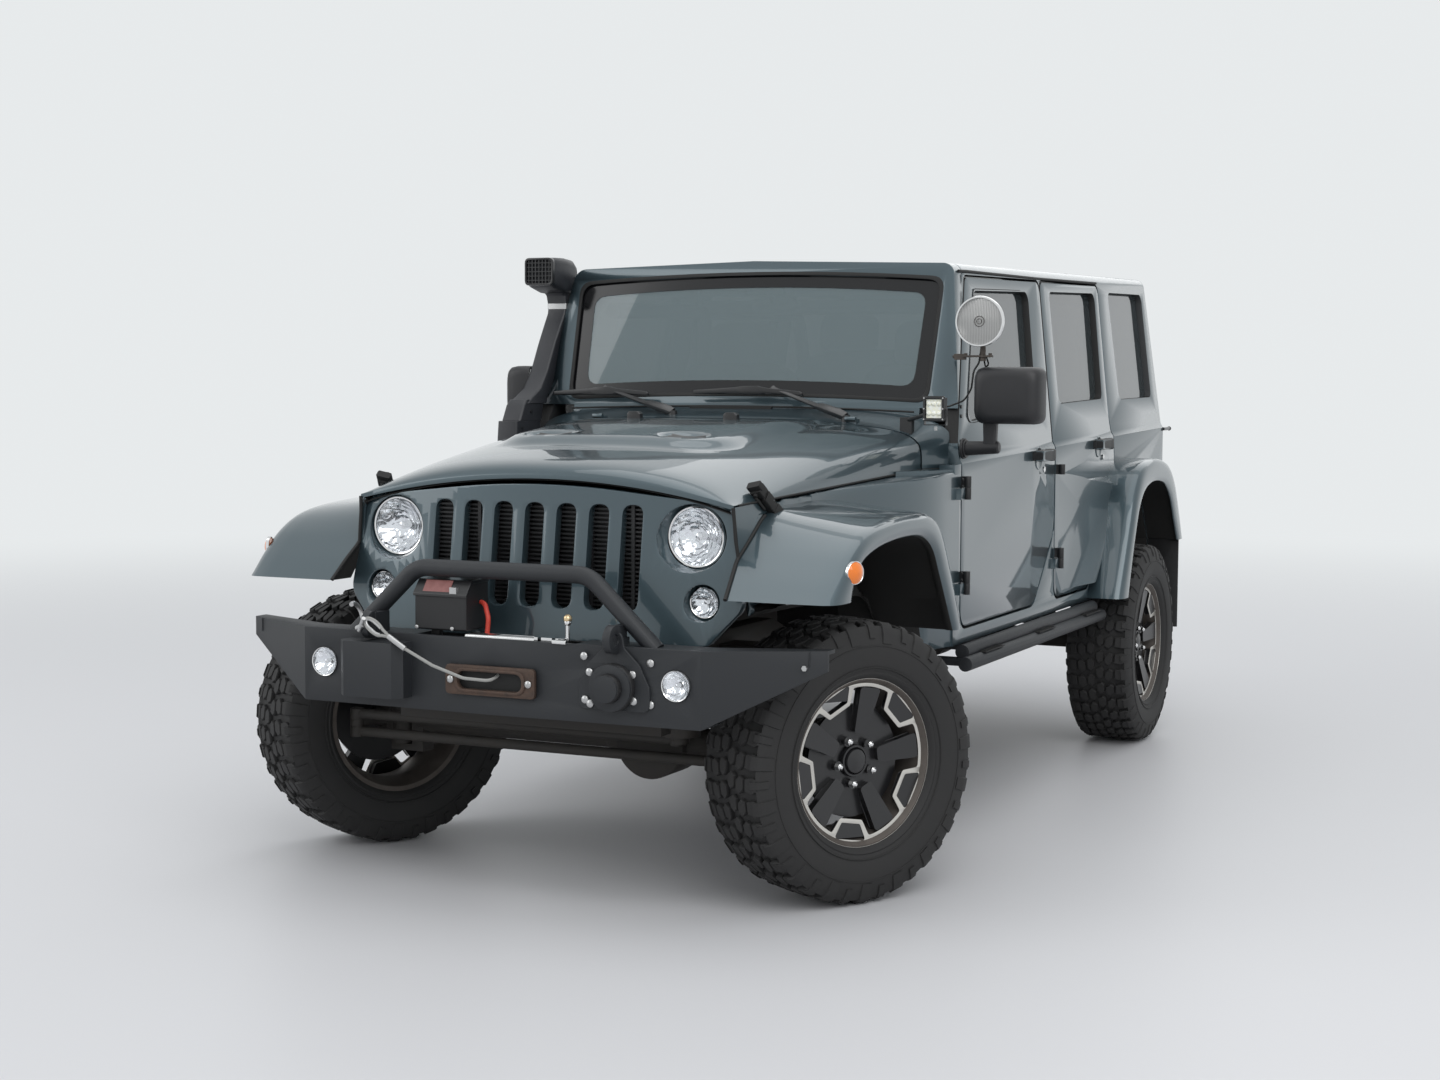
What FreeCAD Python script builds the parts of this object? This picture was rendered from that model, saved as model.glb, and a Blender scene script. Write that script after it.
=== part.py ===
import FreeCAD, Part
import math
import os

# A lifted four-door off-roader. Lengths are millimetres. While it is modelled, X points to the
# vehicle's left, Y runs back from the front axle and Z rises from the ground. Every node is then
# moved forward by origin_setback, which puts the origin under the middle of the whole vehicle.

SIZES = {
    # Stance
    "origin_lead": 177, "wheelbase": 2946, "track": 1620, "kingpin_inset": 124, "steer_rest": 28.9,
    "overrun": 20, "slip": 0.3, "running_gap": 6, "seat_gap": 0.5,
    # Tyres
    "tyre_radius": 395, "tyre_width": 262, "tread_half": 108, "shoulder_out": 12, "lug_height": 12,
    "shoulder_drop": 20, "sidewall_bulge_radius": 318, "bead_radius": 218, "bead_half": 100,
    "lug_count": 29,
    # Rims
    "rim_flange_radius": 234, "rim_half": 104, "rim_drop": 26, "rim_wall": 9, "rim_face_inset": 18,
    "hub_face": 44, "hub_pad_radius": 76, "hub_pad_depth": 22, "spoke_depth": 26, "spoke_count": 5,
    "spoke_phase": 82, "pocket_depth": 20, "pocket_root": 40, "pocket_tip": 67, "pocket_end": 203,
    "light_root": 67, "light_tip": 108, "light_start": 171, "light_end": 205, "nose_radius": 48,
    "cap_radius": 33, "cap_rise": 14,
    # Front axle and knuckles
    "axle_tube_radius": 38, "differential_radius": 108, "differential_x": 205,
    "differential_depth": 150, "differential_neck": 68, "differential_reach": 165,
    "pinion_gap": 1.5, "yoke_reach": 26, "yoke_thick": 20, "yoke_rise": 76, "yoke_length": 62,
    "knuckle_radius": 40, "kingpin_radius": 13, "pin_slip": 0.4, "pin_head": 8, "disc_radius": 160,
    "disc_thick": 24, "disc_x": 96, "hub_radius": 62, "caliper_height": 150, "caliper_depth": 60,
    "arm_length": 160, "arm_width": 36, "arm_thick": 22, "tie_rod_radius": 16,
    "tie_eye_radius": 22, "pitman_x": 330, "pitman_shaft_radius": 24, "steering_box_size": 110,
    # Frame
    "rail_outer": 418, "rail_width": 62, "rail_height": 112, "rail_low": 474, "rail_kick": 142,
    "rail_front": -560, "rail_rear": 694, "horn_drop": 48, "kick_front_start": 330,
    "kick_front_end": 700, "kick_rear_start": -616, "kick_rear_end": -346, "kick_rear_fall": 384,
    "cross_tube_radius": 30, "cross_low_y": -395, "cross_low_z": 540, "cross_gearbox_y": 1290,
    "cross_mid_y": 2160, "cross_tail_y": 474,
    # Springs and links
    "spring_x": 486, "spring_radius": 58, "spring_wire": 8, "spring_turns": 6, "link_radius": 20,
    "link_front_x": 330, "link_reach": 620, "link_axle_drop": 30, "link_frame_z": 440,
    # Engine, gearbox and tanks
    "engine_width": 560, "engine_length": 720, "engine_low": 640, "engine_top": 1040,
    "engine_front": -40, "bell_radius": 120, "bell_length": 210, "gearbox_radius": 60,
    "gearbox_end": 1500, "gearbox_z": 562, "transfer_front": 1130, "transfer_rear": 1260,
    "transfer_side": 216, "shaft_radius": 26, "front_shaft_x": 186, "tank_low": 405,
    "tank_front": 1380, "tank_rear": 2120, "tank_right": -350, "tank_left": -80,
    "exhaust_radius": 25, "exhaust_x": 262, "exhaust_z": 612, "exhaust_front": 660,
    "exhaust_rise_y": -506, "exhaust_over_y": -346, "exhaust_over_z": 690, "muffler_radius": 84,
    "muffler_half": 215, "muffler_y": 244, "muffler_z": 676,
    # Cabin shell
    "skin_x": 800, "sill_z": 602, "belt_front": 1178, "belt_rear": 1241, "shoulder_x": 789,
    "shoulder_rise": 20, "roof_x": 700, "roof_corner": 44, "roof_front_z": 1822,
    "roof_rear_z": 1874, "roof_crown": 24, "crown_radius": 9000, "shell_front": 880,
    "shell_rear": 684, "wall": 52, "floor_z": 640, "floor_thick": 30, "cargo_floor_z": 770,
    "skirt_z": 700, "cargo_floor_front": -526, "firewall_y": 905, "firewall_thick": 30,
    # Doors
    "front_door_front": 953, "rear_door_front": 2006, "door_low": 655, "door_corner": 58,
    "front_door_low_rear": 1752, "front_door_lean_z": 905, "front_door_rear": 1994,
    "front_door_top_front": 1232, "front_door_top_rear": 2070, "door_top_front_z": 1783,
    "door_top_rear_z": 1800, "rear_door_low_rear": -494, "rear_door_lean_z": 1075,
    "rear_door_rear": -114, "rear_door_waist": -146, "rear_door_waist_z": 1290,
    "rear_door_top_front": 2082, "rear_door_top_rear": -74, "rear_door_top_z": 1816,
    "door_top_radius": 36, "lean_radius": 110, "door_waist_z": 1232, "window_radius": 34,
    "glass_thick": 5, "glass_depth": 24, "glass_slip": 0.3, "front_window_low_front": 1074,
    "front_window_low_front_z": 1309, "front_window_top_front": 1311,
    "front_window_top_front_z": 1743, "front_window_top_rear": 1922,
    "front_window_top_rear_z": 1760, "front_window_low_rear": 1850,
    "front_window_low_rear_z": 1352, "rear_window_low_front": 2140,
    "rear_window_low_front_z": 1357, "rear_window_top_front": 2185,
    "rear_window_top_front_z": 1770, "rear_window_top_rear": -131, "rear_window_top_rear_z": 1786,
    "rear_window_low_rear": -208, "rear_window_low_rear_z": 1371, "quarter_low_front": 52,
    "quarter_low_front_z": 1366, "quarter_top_front": 72, "quarter_top_front_z": 1796,
    "quarter_top_rear": 614, "quarter_top_rear_z": 1806, "quarter_low_rear": 574,
    "quarter_low_rear_z": 1372, "hinge_x": 823, "hinge_front_y": 944, "hinge_rear_y": 2012,
    "hinge_low_z": 800, "hinge_high_z": 1104, "hinge_height": 74, "hinge_radius": 11,
    "hinge_leaf": 46, "hinge_leaf_thick": 9, "handle_length": 150, "handle_height": 34,
    "handle_depth": 38, "front_handle_y": 1800, "front_handle_z": 1180, "rear_handle_y": -350,
    "rear_handle_z": 1198, "door_gap": 9,
    # Windscreen
    "screen_low_y": 1010, "screen_low_z": 1378, "screen_top_y": 1138, "screen_top_z": 1823,
    "screen_depth": 74, "screen_low_x": 656, "screen_glass_top_z": 1776, "screen_top_x": 668,
    "screen_crown": 28, "screen_low_crown": 20, "screen_radius": 46, "screen_crown_radius": 6000,
    # Bonnet and cowl
    "bonnet_nose_y": -352, "bonnet_rear": 842, "bonnet_side_front_x": 598,
    "bonnet_side_rear_x": 700, "bonnet_side_front_z": 1108, "bonnet_side_rear_z": 1164,
    "bonnet_shoulder_in": 38, "bonnet_shoulder_front_z": 1140, "bonnet_shoulder_rear_z": 1250,
    "bonnet_nose_z": 1186, "bonnet_brow_z": 1222, "bonnet_brow_y": -210, "bonnet_mid_z": 1276,
    "bonnet_mid_y": 300, "bonnet_rear_z": 1316, "bonnet_skin": 16, "bonnet_crown_radius": 3000,
    "dome_half_front": 250, "dome_half_rear": 330, "dome_step": 26, "cowl_gap": 9,
    "cowl_rear": 975, "cowl_drop": 4, "bonnet_hinge_z": 1320, "bonnet_hinge_y": 846,
    "bonnet_hinge_x": 440, "bonnet_leaf": 36, "bonnet_barrel": 8,
    # Fenders and flares
    "fender_wall": 16, "fender_low": 800, "fender_rear": 640, "fender_gap": 5, "flare_outer": 938,
    "flare_edge": 16, "flare_inner": 618, "front_flare_nose": -462, "front_flare_nose_z": 870,
    "front_flare_top_front": -226, "front_flare_top_z": 1036, "front_flare_top_rear": 404,
    "front_flare_heel": 596, "front_flare_heel_z": 702, "front_arch_front": -330,
    "front_arch_z": 962, "front_arch_nose": -262, "front_arch_rear": 236, "front_arch_heel": 516,
    "flare_radius": 70, "arch_radius": 90, "flare_inner_rise": 46, "rear_flare_inner": 770,
    "rear_flare_front": -484, "rear_flare_low": 612, "rear_flare_top_front": -182,
    "rear_flare_top_z": 1122, "rear_flare_top_rear": 354, "rear_flare_top_rear_z": 1072,
    "rear_flare_tail": 524, "rear_flare_tail_z": 780, "rear_arch_front": -378,
    "rear_arch_top_front": -154, "rear_arch_z": 1010, "rear_arch_top_rear": 264,
    "rear_arch_tail": 438, "arch_inset": 4, "door_bulge": 36, "bulge_lead": 190,
    "marker_radius": 20, "marker_z": 915, "marker_rise": 8,
    # Grille and lamps
    "grille_lean": 7.8, "grille_curve": 3500, "grille_face_y": -398, "grille_face_z": 960,
    "grille_depth": 46, "grille_top_x": 590, "grille_top_z": 1104, "grille_crown_z": 1166,
    "grille_hip_x": 628, "grille_hip_z": 832, "grille_low_x": 535, "grille_low_z": 728,
    "grille_corner": 62, "grille_crown_radius": 2600, "slot_pitch": 100.5, "slot_width": 60,
    "slot_top": 1102, "slot_low": 815, "slot_count": 7, "slot_radius": 24, "headlamp_x": 481,
    "headlamp_z": 1025, "headlamp_radius": 91, "headlamp_depth": 62, "park_x": 515, "park_z": 844,
    "park_radius": 44, "park_depth": 40, "lens_rise": 14, "radiator_thick": 40,
    "radiator_half": 350, "radiator_low": 760, "radiator_high": 1120,
    # Front bumper, hoop and winch
    "bumper_face": -615, "bumper_bend_y": -603, "bumper_bend_x": 621, "bumper_tip_x": 911,
    "bumper_tip_y": -443, "bumper_top": 744, "bumper_low": 537, "bumper_depth": 100,
    "bumper_tip_low": 690, "tray_half": 250, "tray_floor": 622, "mouth_half": 118,
    "mouth_high": 664, "mouth_low": 596, "hoop_radius": 24, "hoop_foot_x": 474, "hoop_top_x": 270,
    "hoop_top_z": 925, "hoop_y": -562, "hoop_bend": 90, "fog_x": 551, "fog_z": 650,
    "fog_radius": 43, "fog_depth": 30, "tab_x": 378, "tab_thick": 22, "tab_radius": 38,
    "tab_bore": 15, "tab_z": 766, "tab_reach": 34, "tab_root": 60, "rope_radius": 5,
    "socket_x": 374, "socket_z": 638, "socket_radius": 62, "socket_step_radius": 36,
    "socket_reach": 30, "socket_step": 26, "block_left": -259, "block_right": -464,
    "block_low": 569, "block_high": 723, "block_reach": 62, "block_chamfer": 24, "winch_half": 236,
    "winch_radius": 44, "drum_half": 104, "drum_radius": 34, "winch_y": -545, "winch_z": 692,
    "pack_left": -96, "pack_right": -262, "pack_front": -590, "pack_rear": -470, "pack_low": 762,
    "pack_high": 892, "pack_foot": 60, "fairlead_half": 140, "fairlead_low": 588,
    "fairlead_high": 672, "fairlead_thick": 14, "bumper_wall": 10, "tip_span": 700,
    # Rear bumper, hitch, steps and flaps
    "rear_bumper_front": 714, "rear_bumper_depth": 110, "rear_bumper_low": 560,
    "rear_bumper_top": 688, "rear_bumper_half": 700, "rear_bumper_radius": 30, "hitch_bore": 51,
    "hitch_wall": 8, "hitch_length": 180, "hitch_z": 520, "step_x": 846, "step_radius": 23,
    "step_front": 870, "step_rear": -456, "step_low_z": 548, "step_high_x": 822,
    "step_high_z": 582, "step_high_rear": -496, "step_bracket": 40, "flap_thick": 8,
    "flap_low": 410, "flap_inner": 690, "flap_inset": 8, "flap_y": 454,
    # Tailgate and spare wheel
    "gate_half": 600, "gate_low": 735, "gate_top": 1230, "gate_thick": 52, "gate_radius": 40,
    "gate_hinge_x": -640, "gate_hinge_y": 704, "gate_hinge_high": 1090, "gate_hinge_low": 820,
    "gate_leaf": 24, "spare_y": 926, "spare_z": 1140, "carrier_width": 150, "carrier_thick": 60,
    "rear_window_half": 560, "rear_glass_low": 1300, "rear_glass_top": 1770,
    "rear_glass_radius": 50, "tail_lamp_inner": 668, "tail_lamp_outer": 786, "tail_lamp_low": 960,
    "tail_lamp_high": 1165, "tail_lamp_depth": 62, "tail_lamp_radius": 18,
    # Snorkel, mirrors and lamps on the body
    "snorkel_x": -772, "snorkel_width": 76, "snorkel_depth": 70, "snorkel_base_y": 760,
    "snorkel_base_z": 1262, "snorkel_knee_y": 930, "snorkel_knee_z": 1400, "snorkel_neck_y": 1040,
    "snorkel_neck_z": 1668, "snorkel_top_z": 1756, "snorkel_head_width": 118,
    "snorkel_head_length": 190, "snorkel_head_front": 905, "snorkel_head_top": 1866,
    "snorkel_head_low": 1752, "snorkel_radius": 20, "snorkel_foot": 114, "mirror_inner": 846,
    "mirror_outer": 1066, "mirror_low": 1308, "mirror_high": 1488, "mirror_front": 890,
    "mirror_rear": 985, "mirror_radius": 34, "mirror_stem": 15, "mirror_pivot_z": 1228,
    "mirror_fold": 82, "mirror_arm_x": 890, "mirror_base_radius": 34, "spot_radius": 80,
    "spot_x": 872, "spot_y": 900, "spot_z": 1628, "spot_depth": 96, "spot_bracket_z": 1526,
    "cube_half": 32, "cube_x": 765, "cube_y": 770, "cube_z": 1357, "cube_depth": 50,
    "stay_radius": 7,
    # Cabin furniture
    "seat_half": 250, "seat_x": 370, "seat_y": 1760, "seat_z": 890, "seat_depth": 520,
    "seat_thick": 150, "seat_back_height": 620, "seat_back_thick": 130, "seat_radius": 50,
    "headrest_height": 180, "headrest_gap": 30, "bench_y": -266, "bench_half": 560,
    "cargo_wheelhouse_x": 590, "dash_front": 960, "dash_rear": 1180, "dash_low": 960,
    "dash_high": 1262, "dash_back": 1062, "dash_shelf": 1160, "dash_radius": 60,
    "wheel_hoop_radius": 185, "wheel_hoop_tube": 15, "steering_x": 370, "steering_y": 1265,
    "steering_z": 1150, "steering_lean": 62, "column_radius": 26, "bar_radius": 28, "bar_x": 622,
    "bar_z": 1716, "bar_front": 1270, "bar_mid": 2030, "bar_rear": 14, "bar_foot": 234,
    # Wipers
    "wiper_length": 420, "wiper_pivot_x": 330, "wiper_radius": 7, "wiper_arm": 380,
}

# These sizes count from the rear axle, so what lies behind the cabin follows the wheelbase.
BEHIND = (
    "rail_rear", "kick_rear_start", "kick_rear_end", "kick_rear_fall", "cross_tail_y",
    "exhaust_rise_y", "exhaust_over_y", "muffler_y", "shell_rear", "cargo_floor_front",
    "rear_door_low_rear", "rear_door_rear", "rear_door_waist", "rear_door_top_rear",
    "quarter_low_front", "quarter_top_front", "quarter_top_rear", "quarter_low_rear",
    "rear_window_top_rear", "rear_window_low_rear", "rear_handle_y", "rear_flare_front",
    "rear_flare_top_front", "rear_flare_top_rear", "rear_flare_tail", "rear_arch_front",
    "rear_arch_top_front", "rear_arch_top_rear", "rear_arch_tail", "rear_bumper_front",
    "step_rear", "step_high_rear", "flap_y", "gate_hinge_y", "spare_y", "bench_y", "bar_rear",
    "bar_foot",)

# These sizes follow others.
FOLLOWING = {
    "origin_setback": lambda: d.wheelbase / 2 + d.origin_lead,
    "kingpin_half": lambda: d.track / 2 - d.kingpin_inset,
    "flap_outer": lambda: d.flare_outer - d.flap_inset,
}

doc = FreeCAD.newDocument("OffRoader")
spec = doc.addObject("Spreadsheet::Sheet", "Spec")
for row, (word, number) in enumerate(SIZES.items(), 1):
    spec.set("A%d" % row, word.replace("_", " "))
    spec.set("B%d" % row, str(number))
    spec.setAlias("B%d" % row, word)
doc.recompute()


class Size:
    """A number with the expression on the sheet's cells that gives it."""

    def __init__(self, value, text):
        self.value = value
        self.text = text

    def __float__(self):
        return float(self.value)

    def __add__(self, other):
        return Size(self.value + float(other), "(%s + %s)" % (self.text, text_of(other)))

    def __radd__(self, other):
        return self + other

    def __sub__(self, other):
        return Size(self.value - float(other), "(%s - %s)" % (self.text, text_of(other)))

    def __rsub__(self, other):
        return Size(float(other) - self.value, "(%s - %s)" % (text_of(other), self.text))

    def __mul__(self, other):
        return Size(self.value * float(other), "(%s * %s)" % (self.text, text_of(other)))

    def __rmul__(self, other):
        return self * other

    def __truediv__(self, other):
        return Size(self.value / float(other), "(%s / %s)" % (self.text, text_of(other)))

    def __neg__(self):
        return Size(-self.value, "(0 - %s)" % self.text)

    def __lt__(self, other):
        return self.value < float(other)

    def __gt__(self, other):
        return self.value > float(other)


def text_of(number):
    return number.text if isinstance(number, Size) else repr(float(number))


class Sheet:
    """Reads a cell of the sheet by its alias, counted from the front axle where it is a place."""

    def __getattr__(self, word):
        if word in FOLLOWING:
            return FOLLOWING[word]()
        size = Size(float(spec.get(word)), "Spec." + word)
        return size + self.wheelbase if word in BEHIND else size


d = Sheet()
Vec = FreeCAD.Vector
AXES = {"x": Vec(1, 0, 0), "y": Vec(0, 1, 0), "z": Vec(0, 0, 1)}
nodes = []


def bind(item, prop, size):
    if isinstance(size, Size):
        item.setExpression(prop, size.text)
    else:
        setattr(item, prop, size)


def seat(item, x, y, z):
    """Puts an object's base at a place worked out from the sheet."""
    item.Placement.Base = Vec(x, y, z)
    for letter, size in zip("xyz", (x, y, z)):
        if isinstance(size, Size):
            item.setExpression("Placement.Base." + letter, size.text)


def box(x0, x1, y0, y1, z0, z1):
    item = doc.addObject("Part::Box", "Block")
    bind(item, "Length", x1 - x0)
    bind(item, "Width", y1 - y0)
    bind(item, "Height", z1 - z0)
    seat(item, x0, y0, z0)
    return item


def rod(axis, x, y, z, radius, length):
    """A cylinder along x, y or z from its start."""
    item = doc.addObject("Part::Cylinder", "Rod")
    bind(item, "Radius", radius)
    bind(item, "Height", length)
    item.Placement.Rotation = FreeCAD.Rotation(Vec(0, 0, 1), AXES[axis])
    seat(item, x, y, z)
    return item


def cone(axis, x, y, z, radius, end_radius, length):
    item = doc.addObject("Part::Cone", "Taper")
    bind(item, "Radius1", radius)
    bind(item, "Radius2", end_radius)
    bind(item, "Height", length)
    item.Placement.Rotation = FreeCAD.Rotation(Vec(0, 0, 1), AXES[axis])
    seat(item, x, y, z)
    return item


def ball(x, y, z, radius):
    item = doc.addObject("Part::Sphere", "Ball")
    bind(item, "Radius", radius)
    seat(item, x, y, z)
    return item


def feature(label, shape):
    item = doc.addObject("Part::Feature", label)
    item.Shape = shape
    return item


def bar(start, end, radius):
    """A round bar between two points."""
    run = Vec(*end) - Vec(*start)
    return feature("Bar", Part.makeCylinder(radius, run.Length, Vec(*start), run))


def rounded(points):
    """A closed outline through points (a, b, radius), each corner an arc of its radius."""
    corners = []
    count = len(points)
    for i in range(count):
        here = Vec(points[i][0], points[i][1], 0)
        back = Vec(points[i - 1][0], points[i - 1][1], 0) - here
        ahead = Vec(points[(i + 1) % count][0], points[(i + 1) % count][1], 0) - here
        radius = float(points[i][2]) if len(points[i]) > 2 else 0
        if radius == 0:
            corners.append((here, None, here))
            continue
        half_angle = back.getAngle(ahead) / 2
        trim = radius / math.tan(half_angle)
        middle = (back.normalize() + ahead.normalize()).normalize()
        centre = here + middle * (radius / math.sin(half_angle))
        corners.append((here + back * trim, centre - middle * radius, here + ahead * trim))
    edges = []
    for i in range(count):
        start, middle, end = corners[i]
        if middle is not None:
            edges.append(Part.Arc(start, middle, end).toShape())
        following = corners[(i + 1) % count][0]
        if (following - end).Length > float(d.seat_gap) / float(d.overrun):
            edges.append(Part.LineSegment(end, following).toShape())
    return Part.Wire(edges)


TURNS = {
    "z": FreeCAD.Rotation(),
    "y": FreeCAD.Rotation(Vec(1, 0, 0), Vec(0, 0, 1), Vec(0, -1, 0), "ZXY"),
    "x": FreeCAD.Rotation(Vec(0, 1, 0), Vec(0, 0, 1), Vec(1, 0, 0), "ZXY"),
}


def outline(axis, at, points):
    """An outline across an axis: (y, z) across x, (x, z) across y, (x, y) across z."""
    wire = rounded(points)
    wire.Placement = FreeCAD.Placement(AXES[axis] * float(at), TURNS[axis])
    return wire


def prism(axis, low, high, points):
    """An outline pulled along an axis from low to high."""
    profile = feature("Profile", Part.Face(outline(axis, low, points)))
    item = doc.addObject("Part::Extrusion", "Prism")
    item.Base = profile
    item.DirMode = "Custom"
    item.Dir = AXES[axis]
    item.Solid = True
    bind(item, "LengthFwd", high - low)
    return item


def loft(sections, ruled=True):
    """A solid through outlines given as (axis, at, points)."""
    wires = [outline(*section) for section in sections]
    return feature("Loft", Part.makeLoft(wires, True, ruled))


def pipe(points, radius, bend):
    """A round tube along straight runs with one bend radius at the inner points."""
    path = [Vec(*point) for point in points]
    edges = []
    start = path[0]
    for i in range(1, len(path) - 1):
        back = path[i - 1] - path[i]
        ahead = path[i + 1] - path[i]
        half_angle = back.getAngle(ahead) / 2
        trim = float(bend) / math.tan(half_angle)
        middle = (back.normalize() + ahead.normalize()).normalize()
        inner = path[i] + middle * (float(bend) / math.sin(half_angle) - float(bend))
        edges.append(Part.LineSegment(start, path[i] + back * trim).toShape())
        edges.append(Part.Arc(path[i] + back * trim, inner, path[i] + ahead * trim).toShape())
        start = path[i] + ahead * trim
    edges.append(Part.LineSegment(start, path[-1]).toShape())
    ring = Part.Wire(Part.makeCircle(radius, path[0], path[1] - path[0]))
    return feature("Tube", Part.Wire(edges).makePipeShell([ring], True, False))


def gather(kind, items):
    """Joins or groups objects: Part::MultiFuse or Part::Compound."""
    item = doc.addObject(kind, kind.split("::")[1])
    if kind == "Part::Compound":
        item.Links = items
    else:
        item.Shapes = items
    return item


def fuse(*items):
    return items[0] if len(items) == 1 else gather("Part::MultiFuse", list(items))


def cut(base, *tools):
    item = doc.addObject("Part::Cut", "Cut")
    item.Base = base
    item.Tool = tools[0] if len(tools) == 1 else gather("Part::MultiFuse", list(tools))
    return item


def common(base, tool):
    item = doc.addObject("Part::Common", "Common")
    item.Base = base
    item.Tool = tool
    return item


def mirror(source):
    """The same piece on the vehicle's other side."""
    item = doc.addObject("Part::Mirroring", "Mirror")
    item.Source = source
    item.Normal = Vec(1, 0, 0)
    return item


def both(item):
    return [item, mirror(item)]


def node(label, *items):
    """One named piece of the vehicle, moved so that the origin lies under its middle."""
    item = gather("Part::Compound", list(items))
    item.Label = label
    item.setExpression("Placement.Base.y", (-d.origin_setback).text)
    nodes.append(item)
    return item


# Wheels, modelled about the X axis with the outer face towards +X


def revolved(label, points):
    """A turned piece: its outline of (x, radius) corners, bound to the sheet, about X."""
    body = doc.addObject("PartDesign::Body", label)
    sketch = body.newObject("Sketcher::SketchObject", "Outline")
    plane = [item for item in body.Origin.OriginFeatures if item.Role == "XY_Plane"][0]
    sketch.AttachmentSupport = (plane, [""])
    sketch.MapMode = "FlatFace"
    count = len(points)
    for i in range(count):
        start = Vec(points[i][0], points[i][1], 0)
        end = Vec(points[(i + 1) % count][0], points[(i + 1) % count][1], 0)
        sketch.addGeometry(Part.LineSegment(start, end), False)
    for i in range(count):
        sketch.addConstraint(Sketcher.Constraint("Coincident", i, 2, (i + 1) % count, 1))
        for kind, size in zip(("DistanceX", "DistanceY"), points[i]):
            held = sketch.addConstraint(Sketcher.Constraint(kind, -1, 1, i, 1, float(size)))
            sketch.setExpression("Constraints[%d]" % held, text_of(size))
    turn = body.newObject("PartDesign::Revolution", "Turned")
    turn.Profile = sketch
    turn.ReferenceAxis = (sketch, ["H_Axis"])
    turn.Angle = 360
    body.Tip = turn
    return body


def tyre_piece():
    """The tyre: rings of corners, sunk by turns at the tread so that its lugs stand out."""
    half = [
        (d.bead_half, d.bead_radius, 0),
        (d.bead_half, d.rim_flange_radius, 0),
        (d.tyre_width / 2, d.sidewall_bulge_radius, 0),
        (d.tread_half + d.shoulder_out, d.tyre_radius - d.shoulder_drop, d.lug_height),
        (d.tread_half, d.tyre_radius, d.lug_height)]
    stations = [(x, r, sink, 0) for x, r, sink in half]
    stations += [(-x, r, sink, 1) for x, r, sink in reversed(half)]
    count = 2 * int(SIZES["lug_count"])
    flat = math.cos(math.pi / count)
    rings = []
    for x, radius, sink, shift in stations:
        ring = []
        for i in range(count):
            turn = 2 * math.pi * i / count
            out = (float(radius) - (float(sink) if (i + shift) % 2 else 0)) / flat
            ring.append(Vec(float(x), out * math.cos(turn), out * math.sin(turn)))
        rings.append(ring)
    flats = []
    for ring, after in zip(rings, rings[1:] + rings[:1]):
        for i in range(count):
            j = (i + 1) % count
            for corners in ((ring[i], ring[j], after[j]), (ring[i], after[j], after[i])):
                flats.append(Part.Face(Part.makePolygon(list(corners) + [corners[0]])))
    rubber = Part.Solid(Part.Shell(flats))
    if rubber.Volume < 0:
        rubber.reverse()
    return feature("TyreSkinned", rubber)


def rim_piece():
    half = d.rim_half
    seat_x = d.bead_half + d.slip
    barrel = revolved("RimBarrel", [
        (half, d.rim_flange_radius), (seat_x, d.rim_flange_radius),
        (seat_x, d.bead_radius - d.slip), (half / 2, d.bead_radius - d.rim_drop),
        (-half / 2, d.bead_radius - d.rim_drop), (-seat_x, d.bead_radius - d.slip),
        (-seat_x, d.rim_flange_radius), (-half, d.rim_flange_radius),
        (-half, d.bead_radius - d.rim_wall),
        (-half / 2, d.bead_radius - d.rim_drop - d.rim_wall),
        (half / 2, d.bead_radius - d.rim_drop - d.rim_wall),
        (half, d.bead_radius - d.rim_wall)])
    hub = rod("x", d.hub_face, 0, 0, d.hub_pad_radius, d.hub_pad_depth)
    outer = half - d.rim_face_inset
    reach = d.bead_radius - d.rim_wall
    plate = rod("x", outer - d.spoke_depth, 0, 0, reach, d.spoke_depth)
    holes = []
    step = 360 / SIZES["spoke_count"]
    for i in range(int(SIZES["spoke_count"])):
        pocket = prism("x", outer - d.pocket_depth, outer + d.overrun, [
            (d.pocket_root / 2, d.hub_pad_radius), (d.pocket_tip / 2, d.pocket_end),
            (-d.pocket_tip / 2, d.pocket_end), (-d.pocket_root / 2, d.hub_pad_radius)])
        window = prism("x", outer - d.spoke_depth - d.overrun, outer + d.overrun, [
            (d.light_root / 2, d.light_start), (d.light_tip / 2, d.light_end),
            (-d.light_tip / 2, d.light_end), (-d.light_root / 2, d.light_start)])
        for hole, angle in ((pocket, step * i), (window, step * i + step / 2)):
            turn = FreeCAD.Rotation(Vec(1, 0, 0), angle - SIZES["spoke_phase"])
            hole.Placement = FreeCAD.Placement(Vec(), turn)
            holes.append(hole)
    nose = cone("x", d.hub_face + d.hub_pad_depth - d.slip, 0, 0, d.hub_pad_radius,
                d.nose_radius, outer - d.hub_face - d.hub_pad_depth)
    cap = rod("x", outer - d.cap_rise, 0, 0, d.cap_radius, 2 * d.cap_rise)
    return fuse(barrel, hub, nose, cap, cut(plate, *holes))


def disc_piece():
    """The brake disc and hub nose, from the knuckle to the rim's mounting face."""
    offset = d.track / 2 - d.kingpin_half
    start = d.disc_x - offset - d.disc_thick / 2
    disc = rod("x", start, 0, 0, d.disc_radius, d.disc_thick)
    nose = rod("x", start, 0, 0, d.hub_radius, d.hub_face - d.slip - start)
    return fuse(disc, nose)


tyre = tyre_piece()
rim = rim_piece()
disc = disc_piece()


def wheel(suffix, x, y, z, turn, with_disc=True):
    """Places a tyre and a rim; a steered wheel is turned about its kingpin."""
    place = FreeCAD.Placement(Vec(x, float(y) - float(d.origin_setback), z), turn)
    for label, items in (("tyre_", [tyre]), ("rim_", [rim, disc] if with_disc else [rim])):
        item = gather("Part::Compound", items)
        item.Label = label + suffix
        item.Placement = place
        nodes.append(item)


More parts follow.
